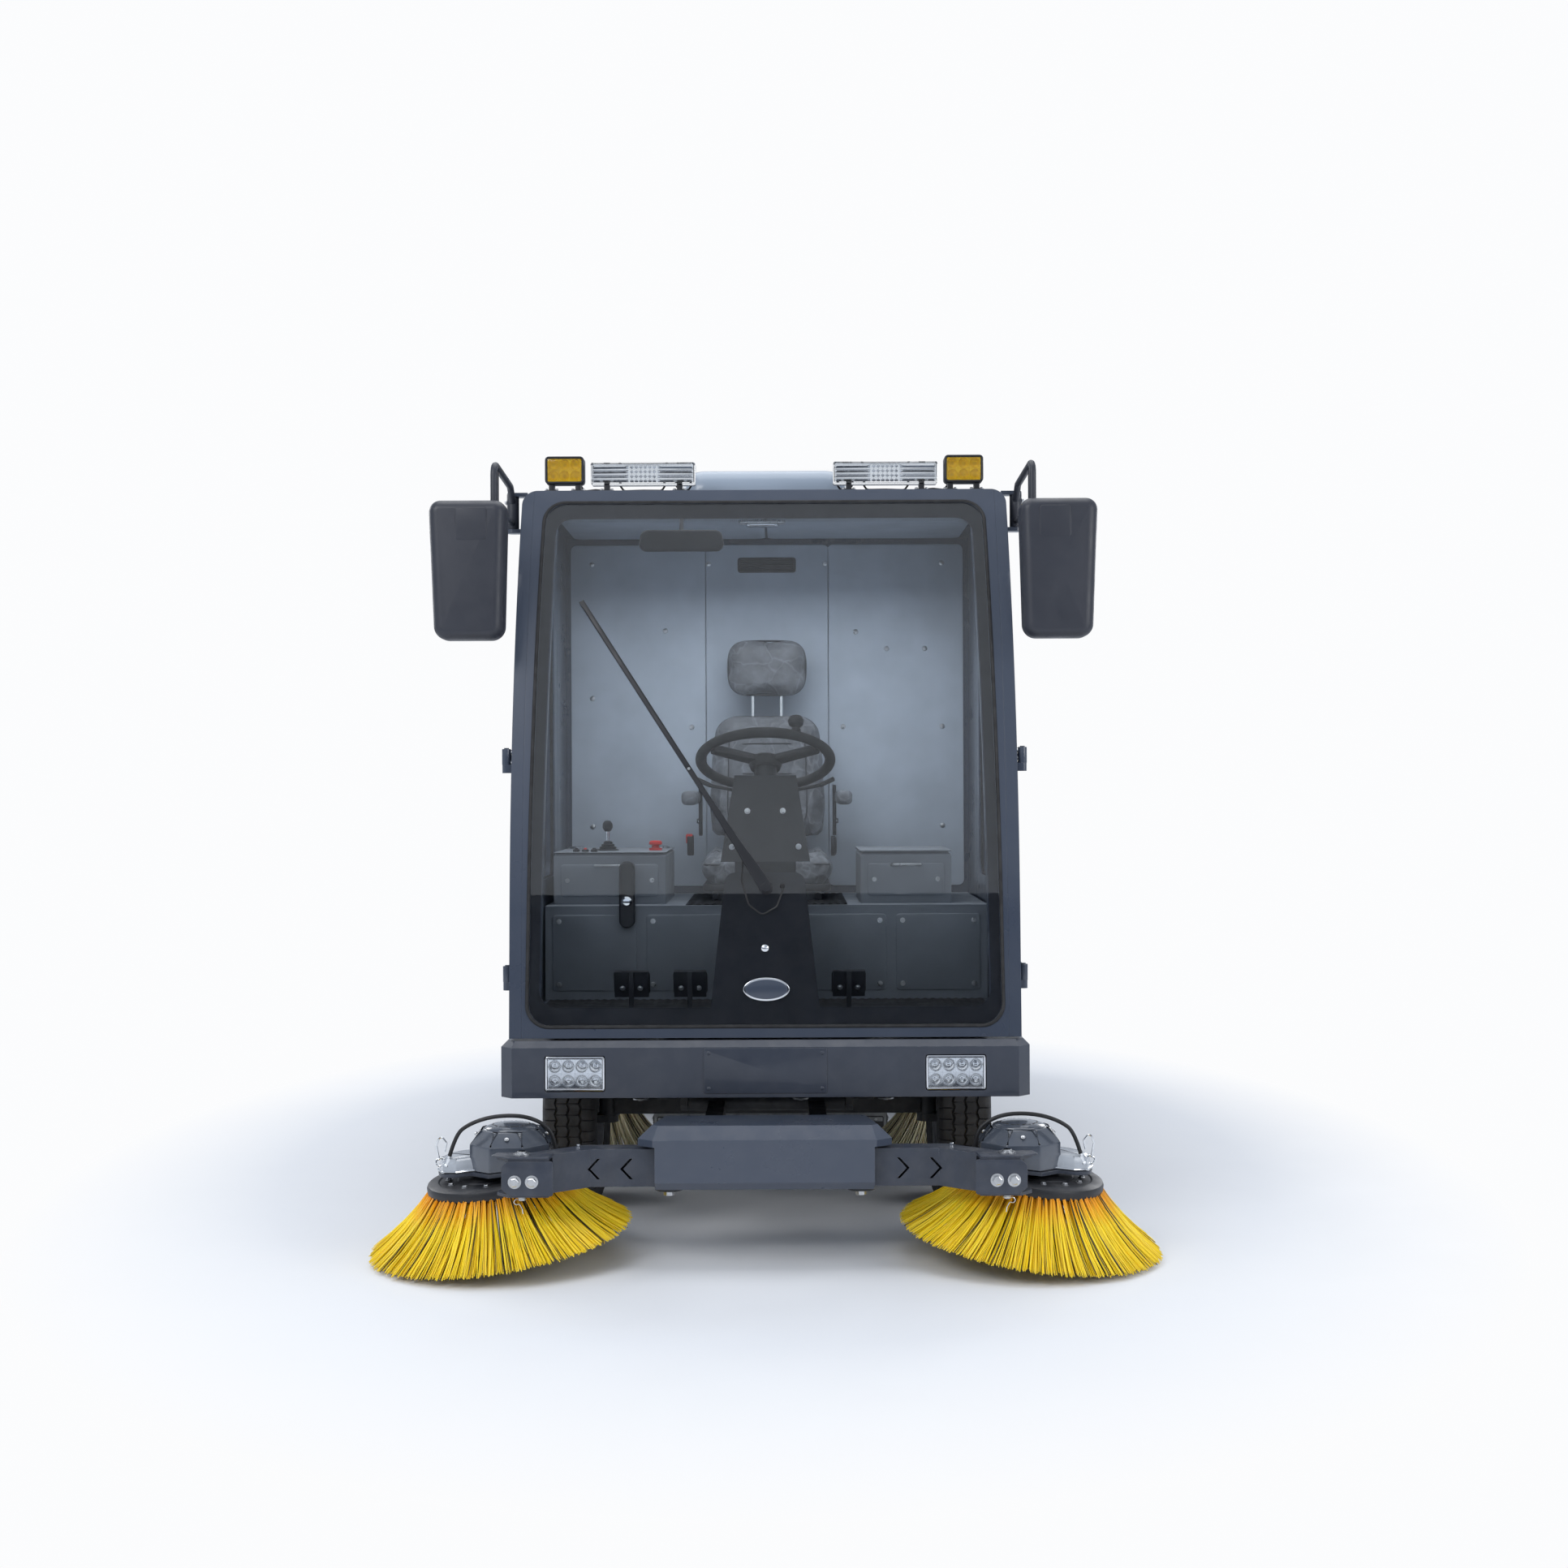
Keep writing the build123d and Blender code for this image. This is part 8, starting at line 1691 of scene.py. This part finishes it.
    # lids of both boxes, with a pull and a hasp
    for x, y, width, length in ((-0.49, -0.66, 0.354, 0.484), (0.436, -0.7, 0.288, 0.404)):
        lid = slab(rectangle(width, length, 0.014), 1.0905, 1.0925 + (0.004 if x > 0 else 0), 0.0016)
        plates.put(lid, (x, y, 0))
        front = y - length / 2 - 0.0002
        plates.put(slab(rectangle(width - 0.05, 0.1, 0.01), 0, 0.003, 0.001), (x, front, 1.005), FRONT)
        pull = bent(
            [
                (x - 0.045, front - 0.001, 1.052), (x - 0.045, front - 0.02, 1.052), (x + 0.045, front - 0.02, 1.052),
                (x + 0.045, front - 0.001, 1.052)],
            0.008, 5)
        plates.rod(pull, 4, 10, finish=1)
        for a in (-1, 1):
            plates.bolt((x + a * (width / 2 - 0.045), front - 0.003, 1.005), (0, -1, 0), 10, 5, finish=1)
    piece("console_plates", plates, "chassis", "grey_plastic", ["console", "zinc"])


class SWEEPER_OT_controls(bpy.types.Operator):
    """Builds the controls"""

    bl_idname = "sweeper.controls"
    bl_label = "Controls"

    def execute(self, context):
        build_controls()
        return {"FINISHED"}


def build_lining():
    """Lines the cab: rear wall and ceiling panels, mats, dome lamp, inner mirror, grab handles and fixings."""
    lining = Shape()
    # the panels' pale blue-grey is painted reflection, for the sky seen in the windscreen
    for x, width in ((-0.44002, 466), (0, 426), (0.44002, 466)):
        lining.plate((width, 1170, 20), (0, 4, 1.8), (x, -0.2854, 1.54), FRONT)
    for x in (-0.33, 0.33):
        lining.plate((652, 800, 30), (0, 5), (x, -0.71, 2.1475), DOWN)
    fixings = (
        (-0.349, 1.831), (0.304, 1.825), (0.41, 1.767), (0.541, 1.767), (-0.6, 2.06), (0.6, 2.06), (-0.2, 2.06),
        (0.2, 2.06), (-0.6, 1.16), (0.6, 1.16), (-0.26, 1.5), (0.26, 1.5), (-0.6, 1.6), (0.6, 1.5))
    for x, z in fixings:
        lining.turned([(0, 0), (8.5, 0), (8, 2), (4, 3.5), (0, 4)], (x, -0.2892, z), FRONT, sides=20, finish=1)
    # vent grille between the panels: seven slats
    lining.plate((200, 52, 10), (0, 4, 1.5), (0, -0.2892, 2.055), FRONT, finish=2)
    for k in range(-3, 4):
        lining.plate((180, 3.4, 1.5), (3, 7.5, 1), (0, -0.2892, 2.055 + 0.0066 * k), FRONT, finish=2)
    # dome lamp
    lining.plate((150, 55, 20), (0, 10, 3), (-0.01, -0.78, 2.1425), DOWN, finish=1, arc=8)
    lining.plate((105, 42, 18), (8, 20, 7), (-0.01, -0.78, 2.1425), DOWN, finish=3, arc=8, steps=4)
    piece("cab_lining", lining, "chassis", "grey_plastic", ["cab lining", "zinc", "black trim", "reflector"])

    dark = Shape()
    # inner mirror on its stem
    glass = fillet([(-0.135, -0.03), (0.135, -0.03), (0.122, 0.036), (-0.122, 0.036)], 0.024, 8)
    dark.put(slab(glass, 0, 0.018, 0.007, 4), (-0.255, -1.03, 2.046), on_axis((0.05, -1, -0.1)))
    dark.rod(bent([(-0.255, -1.03, 2.06), (-0.255, -1.018, 2.1), (-0.255, -0.99, 2.1475)], 0.02), 6.5)
    dark.turned([(0, 0), (22, 0), (22, 6), (10, 12), (0, 12)], (-0.255, -0.99, 2.1478), DOWN, sides=24)
    for side in (-1, 1):
        grab = bent(
            [
                (side * 0.6905, -1.255, 1.56), (side * 0.652, -1.262, 1.566), (side * 0.646, -1.238, 1.722),
                (side * 0.6905, -1.23, 1.73)],
            0.022, 7)
        dark.rod(grab, 9.5, 14, (0, 1, 0))
        for z, y in ((1.56, -1.255), (1.73, -1.23)):
            dark.turned([(0, 0), (19, 0), (19, 4), (12, 9), (0, 9)], (side * 0.6908, y, z), outward(-side), sides=24)
    # ribbed mats: height = 4 mm + 1.2 mm · rounded square wave
    for x, y, width, length, height in ((0, -1.2, 1.33, 0.4, 0.6402), (0, -0.655, 0.5, 0.62, 0.9302)):
        ribs = np.linspace(-width / 2, width / 2, int(width / 0.006))
        top = 0.003 + 0.0012 * np.tanh(3 * np.sin(ribs / 0.024 * TURN))
        grid = np.stack(
            [
                np.stack([ribs, np.full_like(ribs, b), top * (0 if b in (-length / 2, length / 2) else 1)], -1)
                for b in (-length / 2, -length / 2 + 0.0005, length / 2 - 0.0005, length / 2)])
        dark.rows(place(grid, (x, y, height)).transpose(1, 0, 2)[:, ::-1], finish=1)
    piece("cab_fittings", dark, "chassis", "black_plastic", ["black trim", "rubber"])


class SWEEPER_OT_lining(bpy.types.Operator):
    """Builds the lining"""

    bl_idname = "sweeper.lining"
    bl_label = "Lining"

    def execute(self, context):
        build_lining()
        return {"FINISHED"}


# ---------- outside of the cab


def build_mirrors():
    """Builds the door mirrors: a tapering rounded shell with its lid and glass, a bent stay and the hinge's eye."""
    for name, side in SIDES:
        shape = Shape()
        # shell: rounded outline narrower at its foot, its face crowned by a quarter wave
        outline = fillet(
            [(-0.101, -0.2), (0.096, -0.2), (0.112, 0.198), (-0.112, 0.198)], (0.04, 0.04, 0.034, 0.034), 12)
        outline[:, 0] *= side
        outline = outline[::side]
        turn = np.linspace(0, np.pi / 2, 9)
        depth = np.concatenate([[0.0, 0.006, 0.03], 0.046 + 0.034 * np.sin(turn)])
        gap = np.concatenate([[0.0045, 0.0, 0.0], 0.028 * (1 - np.cos(turn))])
        mid = np.array([side * 0.843, -1.4, 1.9185])
        shape.put(spread(outline, depth, gap), mid, FRONT)
        face = inset(outline, 0.028)
        share = np.linspace(1, 0.02, 8)[:, None, None]
        crown = np.concatenate(
            [
                face.mean(0) + share * (face - face.mean(0)),
                0.08 + 0.0042 * (1 - share ** 2) * np.ones((1, len(face), 1))],
            -1)
        shape.put(crown, mid, FRONT)
        # lid over the stay's foot, a hair proud of the shell
        shape.plate((88, 92, 10), (79, 83.6, 1.6), mid, FRONT, middle=(-side * 14, 128))
        # glass on the rear side, inside a lip
        glass = inset(outline, 0.012)
        pane = spread(glass * (-1, 1), (0.0, 0.003, 0.0036), (0, 0, -0.001))[:, ::-1]
        shape.put(pane, mid, REAR, finish=1)
        # bent stay: from the hinge's eye up and forward over the roof's edge, then down into the shell
        high, strut = 2.16, (side * 0.775, -1.4)
        root = (side * 0.762, -1.1, high)
        route = [root, (side * 0.762, -1.15, high + 0.04), (strut[0], strut[1], 2.232), (strut[0], strut[1], 2.04)]
        shape.rod(bent(route, 0.03, 8), 10.2, 18, (1, 0, 0))
        brace = [(side * 0.762, -1.1, 2.0962), (side * 0.7735, -1.392, 2.0962)]
        shape.rod(brace, 8.2, 16)
        shape.rod([(strut[0], strut[1] + 0.06, 2.105), (strut[0], strut[1] + 0.06, 2.2235)], 6.2, reference=(1, 0, 0))
        eye = [(0, 2078.5), (18, 2078.5), (18.5, 2080), (18.5, 2183.8), (18, 2185.7), (0, 2185.7)]
        shape.turned(eye, (side * 0.762, -1.09, 0), sides=32)
        for z in (2.108, 2.16):
            shape.bolt((side * 0.7805, -1.09, z), (side, 0, 0), 10, 6, finish=2)
        shape.turned([(0, 0), (21, 0), (24, 6), (16, 20), (0, 22)], (strut[0], strut[1], 2.098), finish=4)
        piece(
            f"mirror_shell_{name}", shape, f"mirror_{name}", "black_plastic",
            ["mirror shell", "mirror glass", "zinc", "black trim", "rubber"], f"mirror_{name}", sharp=40)


class SWEEPER_OT_mirrors(bpy.types.Operator):
    """Builds the mirrors"""

    bl_idname = "sweeper.mirrors"
    bl_label = "Mirrors"

    def execute(self, context):
        build_mirrors()
        return {"FINISHED"}


def front_edge(z):
    """The door's front edge at height z: the cab's front face and 112 mm behind it."""
    return front_y(z) + 0.112


def build_doors():
    """Trims both doors: window seals, pull handle with its lock, inner panel and hinge knuckles."""
    repaint(("door_left", "door_right"), "body paint")
    repaint(("door_glass_left", "door_glass_right"), "glass")
    for name, side in SIDES:
        out = outward(side)
        shape = Shape()
        # seal round the window, on both faces: 78 mm in from the door's edges
        z = np.linspace(1.01, 2.034, 24)
        front = np.column_stack([front_edge(z) + 0.078, z])[::-1]
        corners = np.array([(-0.638, 1.01), (-0.638, 2.034)])
        track = np.concatenate([corners[:1], corners[1:], front])
        loop = fillet(track, np.where(np.isin(np.arange(len(track)), (0, 1, 2, len(track) - 1)), 0.045, 0.001), 5)
        for x in (0.7262, 0.7012):
            route = np.column_stack([np.full(len(loop), side * x), loop])
            shape.rod(route, 5.2, 8, (1, 0, 0), closed=True)
        # pull handle: a recessed cup with a bar, and its lock
        spot = np.array([side * 0.7262, -0.665, 0.93])
        shape.plate((150, 62, 20), (-1, 4), spot, out, finish=1, arc=8)
        grip = bent([(-0.06, 0.0), (-0.052, 0.024), (0.052, 0.024), (0.06, 0.0)], 0.014)
        bar = place(np.column_stack([grip[:, 0], 0 * grip[:, 0], grip[:, 1]]), spot, *out)
        shape.rod(bar, 7.5, 14, finish=1)
        shape.turned([(0, 0), (10, 0), (10, 6), (7, 8), (0, 6.5)], spot + (0, 0, -0.048), out, sides=24, finish=2)
        # pressed line under the window and a kick strip along the sill
        for z, height in ((0.965, 0.01), (0.7, 0.06)):
            start = float(front_edge(z)) + 0.03
            width = -0.575 - start
            shape.put(
                slab(rectangle(width, height, 0.004), 0.0, 0.003, 0.0012), (side * 0.7258, start + width / 2, z), out,
                finish=3 if z > 0.9 else 1)
        # inner panel
        start = float(front_edge(0.8)) + 0.055
        width = -0.6 - start
        shape.put(
            slab(rectangle(width, 0.28, 0.03, 6), 0.0, 0.005, 0.002), (side * 0.7008, start + width / 2, 0.815),
            outward(-side), finish=4)
        # hinge knuckles on their pins, one at each strap
        for z in (0.76, 1.385):
            shape.turned(
                [(0, -23), (12.5, -23), (12.8, -21), (12.8, 21), (12.5, 23), (0, 23)], (side * 0.743, -1.392, z),
                finish=3)
            for k in (-0.012, 0.012):
                shape.bolt((side * 0.7325, -1.345, z + k), (side, 0, 0), 10, 6, finish=2)
        piece(
            f"door_trim_{name}", shape, f"door_{name}", "black_plastic",
            ["rubber", "black trim", "chrome", "body paint", "console"], sharp=36)
        outer = Shape()
        # door seal on the cab's side, drip rail and side marker
        z = np.linspace(0.622, 2.112, 30)
        edge = np.column_stack([front_edge(z) - 0.006, z])[::-1]
        track = np.concatenate([[(-0.554, 0.616), (-0.554, 2.118)], edge])
        loop = fillet(track, np.where(np.isin(np.arange(len(track)), (0, 1, 2, len(track) - 1)), 0.05, 0.001), 5)
        outer.rod(np.column_stack([np.full(len(loop), side * 0.7256), loop]), 3.2, 8, (1, 0, 0), closed=True)
        run = [(side * 0.7285, -1.085, 2.152), (side * 0.7285, -0.32, 2.152)]
        outer.rod(run, 5.8, 10, finish=1)
        outer.plate((90, 34, 10), (0, 10, 4), (side * 0.7252, -0.435, 1.02), out, finish=2, steps=4)
        outer.plate((76, 22, 8), (9, 14.5, 3), (side * 0.7252, -0.435, 1.02), out, finish=3, steps=4)
        outer.plate((160, 300, 20), (0, 3, 1.2), (side * 0.7252, -0.42, 1.35), out, finish=2)
        tilted = (0, 1, 0), (side, 0, -0.35)
        for k in range(-8, 9):
            outer.plate((140, 7.5, 3), (2, 8.5), (side * 0.7252, -0.42, 1.35 + 0.0165 * k), tilted, finish=2)
        piece(
            f"cab_side_{name}", outer, "chassis", "black_plastic",
            ["rubber", "body paint", "black trim", "amber plastic"], sharp=36)


class SWEEPER_OT_doors(bpy.types.Operator):
    """Builds the doors"""

    bl_idname = "sweeper.doors"
    bl_label = "Doors"

    def execute(self, context):
        build_doors()
        return {"FINISHED"}


def build_roof():
    """Builds the smooth roof pod over the cooling unit, with its flange, fixings and side vents."""
    shape = Shape()
    # sides: a quarter ellipse 55 mm in and 72 mm up; top: a low crown, 16 mm · (1 − share²)
    outline = rectangle(0.526, 0.612, 0.08, 14, (0, -0.645))
    turn = np.linspace(0, np.pi / 2, 14)
    heights = np.concatenate([[2.2005, 2.206], 2.2115 + 0.072 * np.sin(turn)])
    gaps = np.concatenate([[0.0, 0.0], 0.004 + 0.055 * (1 - np.cos(turn))])
    shape.rows(spread(outline, heights, gaps))
    edge = inset(outline, gaps[-1])
    share = np.linspace(1, 0.02, 12)[:, None, None]
    top = np.concatenate(
        [
            edge.mean(0) + share * (edge - edge.mean(0)),
            heights[-1] + 0.016 * (1 - share ** 2) * np.ones((1, len(edge), 1))],
        -1)
    shape.rows(top)
    for x, y in [(a * 0.236, -0.645 + b * 0.19) for a in (-1, 1) for b in (-1, 0, 1)]:
        shape.bolt((x + np.sign(x) * 0.0225, y, 2.214), (np.sign(x), 0, 0.35), 10, 5, finish=1)
    for k in range(7):
        shape.plate((300, 5, 2), (0, 4, 1.2), (0, -0.345, 2.222 + 0.0078 * k), ((-1, 0, 0), (0, 1, 0.35)), finish=2)
    piece("roof_pod", shape, "chassis", "body_paint", ["pod paint", "zinc", "black trim"], "roof_cover", sharp=30)


class SWEEPER_OT_roof(bpy.types.Operator):
    """Builds the roof pod"""

    bl_idname = "sweeper.roof"
    bl_label = "Roof pod"

    def execute(self, context):
        build_roof()
        return {"FINISHED"}


# ---------- rear body


def louvre(width, pitch, depth):
    """A pressed louvre 1.5 mm thick: a hood that leans out by depth and ends in a rounded mouth."""
    t = np.linspace(0, 1, 9)
    half = width / 2 * np.array([-1, -0.985, -0.94, 0.94, 0.985, 1])
    rise = np.array([0, 0.6, 1, 1, 0.6, 0])
    lean = depth * np.where(t < 0.86, (t / 0.86) ** 1.5, np.sqrt(np.maximum(0, 1 - ((t - 0.86) / 0.14) ** 2)))
    height = pitch * (0.4 - 0.78 * t)
    outer = np.stack([np.stack([half, np.full(6, y), z * rise - 0.0008], -1) for y, z in zip(height, lean)])
    return np.concatenate([outer - (0, 0, 0.0015), outer[:, ::-1]], 1)


def build_bodywork():
    """Paints the body and adds the hopper's ribs, seams and latches, the engine housing's louvres and its filler."""
    repaint(("cab_frame", "cab_roof", "cab_floor", "engine_housing", "hopper", "hopper_door"), "body paint")
    repaint(("suction_nozzle", "power_pack"), "steel")
    repaint(("side_tanks", "suction_duct", "pedals", "steering_column", "rear_bumper"), "black trim")
    repaint(("cab_platform",), "console")

    housing, box, gate = Shape(), Shape(), Shape()
    for side in (-1, 1):
        out = outward(side)
        # service panel with rolled edge, two latches and louvres above it
        housing.plate((440, 760, 30), (-1, 4.5, 2.2), (side * 0.71, 0.034, 1.075), out)
        for y in (-0.12, 0.188):
            housing.plate((36, 62, 10), (4, 9), (side * 0.71, y, 1.395), out, finish=1)
            housing.plate((20, 44, 6), (8, 17, 3), (side * 0.71, y, 1.39), out, finish=2)
        for y in (-0.155, 0.223):
            for z in (0.72, 1.08):
                housing.bolt((side * 0.7145, y, z), (side, 0, 0), 12, 7, finish=2)
        # grille over the louvred opening: frame and slats
        housing.plate((410, 360, 18), (-1, 3, 1.5), (side * 0.71, 0.034, 1.652), out, finish=1)
        for k in range(10):
            spot = (side * 0.7128, 0.034, 1.5 + 0.034 * k)
            housing.put(louvre(0.372, 0.034, 0.015), spot, ((0, side, 0), (side, 0, 0)))
        # cap of the filler
        housing.turned(
            [(0, 0), (40, 0), (40, 4), (34, 6), (34, 22), (30, 26), (0, 26)], (side * 0.71, 0.034, 1.93),
            out, sides=40, finish=1)
        # hopper sides: uprights with rivets, a rail at top and bottom, tie-down loops
        for y in (0.62, 1.125, 1.63):
            box.plate((55, 1160, 12), (-1, 12, 6), (side * 0.71, y, 1.34), out, arc=5, steps=4)
            for z in np.linspace(0.86, 1.82, 9):
                box.turned(
                    [(0, 0), (6.5, 0), (6, 2), (3.5, 3.5), (0, 4)], (side * 0.7218, y, z), out, sides=14, finish=1)
        for z, height in ((1.975, 30), (0.725, 40)):
            box.plate((1520, height, 8), (-1, 8, 4), (side * 0.71, 1.124, z), out, steps=4)
        for y in (0.372, 1.874):
            eye = bent([(0, -0.022, 0.0), (0, -0.022, 0.026), (0, 0.022, 0.026), (0, 0.022, 0.0)], 0.012)
            box.rod(place(eye, (side * 0.7095, y, 1.34), (0, 0, 1), (side, 0, 0)), 4.8, 10, finish=1)
        # hinged inspection flap
        box.plate((340, 260, 30), (-1, 5, 2.4), (side * 0.71, 1.377, 1.55), out)
        for y in (1.27, 1.484):
            box.rod([(side * 0.7165, y - 0.025, 1.684), (side * 0.7165, y + 0.025, 1.684)], 6.5, finish=1)
        box.plate((50, 30, 6), (4, 15, 4), (side * 0.71, 1.377, 1.442), out, finish=2)
    # top of the hopper: cross ribs and a round screen
    for y in (0.62, 1.125, 1.63):
        box.plate((1240, 55, 12), (-1, 12, 6), (0, y, 2.06), arc=5, steps=4)
    box.turned([(0, 0), (105, 0), (105, 10), (94, 20), (0, 28)], (0, 0.872, 2.0595), sides=48, finish=2)
    # tailgate: cross ribs, latches and handle
    for z in (0.86, 1.18, 1.5, 1.8):
        gate.plate((1260, 62, 20), (-1, 13, 7), (0, 1.97, z), REAR, steps=4)
    for x in (-0.6, 0.6):
        gate.plate((60, 1200, 20), (-1, 11, 6), (x, 1.97, 1.335), REAR, steps=4)
        gate.plate((52, 120, 10), (8, 18.5, 4), (x, 1.97, 0.755), REAR, finish=1)
        gate.rod(
            bent([(x, 1.982, 0.8), (x, 1.9915, 0.78), (x, 1.9915, 0.71), (x, 1.984, 0.69)], 0.006, 5),
            5.8, reference=(1, 0, 0), finish=2)
    for x, z in [(a, b) for a in (-0.5, -0.25, 0.0, 0.25, 0.5) for b in (0.86, 1.18, 1.5, 1.8)]:
        gate.turned([(0, 0), (7, 0), (6.5, 2), (4, 3.5), (0, 4)], (x, 1.9828, z), REAR, sides=14, finish=2)
    handle = bent([(-0.16, 1.9705, 1.02), (-0.16, 1.9905, 1.02), (0.16, 1.9905, 1.02), (0.16, 1.9705, 1.02)], 0.01)
    gate.rod(handle, 7.5, finish=1)
    piece("housing_panels", housing, "chassis", "body_paint", ["body paint", "black trim", "zinc"], sharp=36)
    piece("hopper_ribs", box, "hopper", "body_paint", ["body paint", "zinc", "black trim"], sharp=36)
    piece("gate_ribs", gate, "hopper_door", "body_paint", ["body paint", "black trim", "zinc"], sharp=36)


class SWEEPER_OT_bodywork(bpy.types.Operator):
    """Builds the bodywork"""

    bl_idname = "sweeper.bodywork"
    bl_label = "Bodywork"

    def execute(self, context):
        build_bodywork()
        return {"FINISHED"}


def build_underside():
    """Adds what hangs below: springs, pipes, tank caps and straps, the duct's bellows and the nozzle's skirt."""
    repaint(("chassis_frame", "front_axle", "rear_axle", "knuckle_left", "knuckle_right"), "chassis paint")
    metal, tanks, skirt = Shape(), Shape(), Shape()
    # coil springs between the carrier and the frame: (R·cos t, R·sin t, pitch·t)
    t = np.linspace(0, TURN * 8, 8 * 24)
    for x, y in ((-0.36, -1.395), (0.345, -1.395), (0.1, -1.395)):
        coil = np.column_stack([x + 0.017 * np.cos(t), y + 0.017 * np.sin(t), 0.4 + 0.088 * t / t[-1]])
        metal.rod(coil, 2.6, 8)
        metal.rod([(x, y, 0.394), (x, y, 0.5)], 7, reference=(1, 0, 0), finish=1)
        for z in (0.398, 0.489):
            metal.turned([(0, 0), (23, 0), (23, 4), (0, 4)], (x, y, z), sides=24, finish=1)
    # hydraulic pipes along the rails
    for x in (0.236, 0.222, -0.236):
        run = bent(
            [(x, -1.3, 0.47), (x, -0.6, 0.47), (x, -0.54, 0.452), (x, 0.2, 0.452), (x, 0.26, 0.47), (x, 1.7, 0.47)],
            0.04)
        metal.rod(run, 4.8, 10, finish=1)
    # tanks: filler cap, level tube and two straps each
    for side in (-1, 1):
        tanks.turned(
            [(0, 0), (46, 0), (46, 6), (38, 10), (38, 26), (34, 30), (0, 30)], (side * 0.6995, 0.02, 0.56),
            outward(side), sides=40)
        for y in (0.17, 0.52):
            strap = [(side * 0.705, y, 0.4265), (side * 0.705, y, 0.6335), (side * 0.33, y, 0.6335)]
            path = bent([(side * 0.33, y, 0.4265)] + strap, 0.022)
            across = np.array([(-0.019, -0.0012), (0.019, -0.0012), (0.019, 0.0012), (-0.019, 0.0012)])
            ahead = unit(np.gradient(path, axis=0))
            out = np.cross(ahead, (0, 1, 0))
            rows = path[:, None] + across[None, :, :1] * (0, 1, 0) + across[None, :, 1:] * out[:, None]
            tanks.rows(rows, finish=1)
        tanks.rod([(side * 0.7065, 0.62, 0.46), (side * 0.7065, 0.62, 0.61)], 5.5, reference=(1, 0, 0), finish=2)
    # bellows on the suction duct
    z = np.linspace(0.345, 0.398, 40)
    bellows = np.stack([0.0935 + 0.0025 * np.cos((z - 0.345) / 0.053 * TURN * 4), z], -1)
    tanks.put(
        lathe(np.concatenate([[(0.0905, 0.344)], bellows, [(0.0905, 0.399), (0.0905, 0.344)]]), 56), (0, 0.465, 0),
        caps=False)
    # rubber skirt round the nozzle's mouth, held by a bolted strip
    for x, y, width, axis in (
        (0, 0.2495, 0.84, (0, -1, 0)), (0, 0.5805, 0.84, (0, 1, 0)), (0.4305, 0.415, 0.31, (1, 0, 0)),
        (-0.4305, 0.415, 0.31, (-1, 0, 0))
    ):
        along = np.cross((0, 0, 1), axis)
        skirt.put(slab(rectangle(width, 0.062, 0.006), 0.0, 0.0045, 0.0015), (x, y, 0.042), (along, axis))
        skirt.put(
            slab(rectangle(width - 0.01, 0.016, 0.003), 0.004, 0.0065, 0.001), (x, y, 0.062), (along, axis), finish=1)
        for a in np.linspace(-width / 2 + 0.03, width / 2 - 0.03, max(3, int(width / 0.11))):
            skirt.bolt(np.array([x, y, 0.062]) + along * a + np.array(axis) * 0.0062, axis, 10, 5, finish=2, washer=0)
    piece("underside_parts", metal, "chassis", "frame_paint", ["zinc", "steel"], sharp=40)
    piece("tank_fittings", tanks, "chassis", "black_plastic", ["rubber", "steel", "clear lens"], sharp=36)
    piece("nozzle_skirt", skirt, "suction_nozzle", "black_plastic", ["rubber", "steel", "zinc"])


class SWEEPER_OT_underside(bpy.types.Operator):
    """Builds the underside"""

    bl_idname = "sweeper.underside"
    bl_label = "Underside"

    def execute(self, context):
        build_underside()
        return {"FINISHED"}


# ---------- add-on


class SWEEPER_PT_panel(bpy.types.Panel):
    """Lists the sweeper's pieces and their settings"""

    bl_label = "Compact Road Sweeper"
    bl_idname = "SWEEPER_PT_panel"
    bl_space_type = "VIEW_3D"
    bl_region_type = "UI"
    bl_category = "Sweeper"

    def draw(self, context):
        for group, members in SETTINGS.items():
            box = self.layout.box()
            box.label(text=group.replace("_", " ").capitalize())
            for key in members.__annotations__:
                box.prop(getattr(context.scene, group), key)
        for operator in OPERATORS:
            self.layout.operator(operator.bl_idname)


SETTINGS = {
    "sweeper_stage": SweeperStage,
    "sweeper_paint": SweeperPaint,
    "sweeper_brush": SweeperBrush,
    "sweeper_wheel": SweeperWheel,
    "sweeper_lamp": SweeperLamp,
}
OPERATORS = [kind for name, kind in list(globals().items()) if name.startswith("SWEEPER_OT_")]


def register():
    for group, kind in SETTINGS.items():
        bpy.utils.register_class(kind)
        setattr(bpy.types.Scene, group, PointerProperty(type=kind))
    for kind in OPERATORS + [SWEEPER_PT_panel]:
        bpy.utils.register_class(kind)


def unregister():
    for kind in [SWEEPER_PT_panel] + OPERATORS[::-1]:
        bpy.utils.unregister_class(kind)
    for group, kind in list(SETTINGS.items())[::-1]:
        delattr(bpy.types.Scene, group)
        bpy.utils.unregister_class(kind)


def main():
    """Makes every piece in order and writes the CAD box and the dressed model's box."""
    register()
    for operator in OPERATORS:
        family, action = operator.bl_idname.split(".")
        getattr(getattr(bpy.ops, family), action)()
    sizes = {"cad": [list(map(float, corner)) for corner in CAD_BOX], "visual": [list(map(float, corner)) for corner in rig.bounds()]}
    with open("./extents.json", "w") as handle:
        json.dump(sizes, handle)


if __name__ == "__main__":
    main()
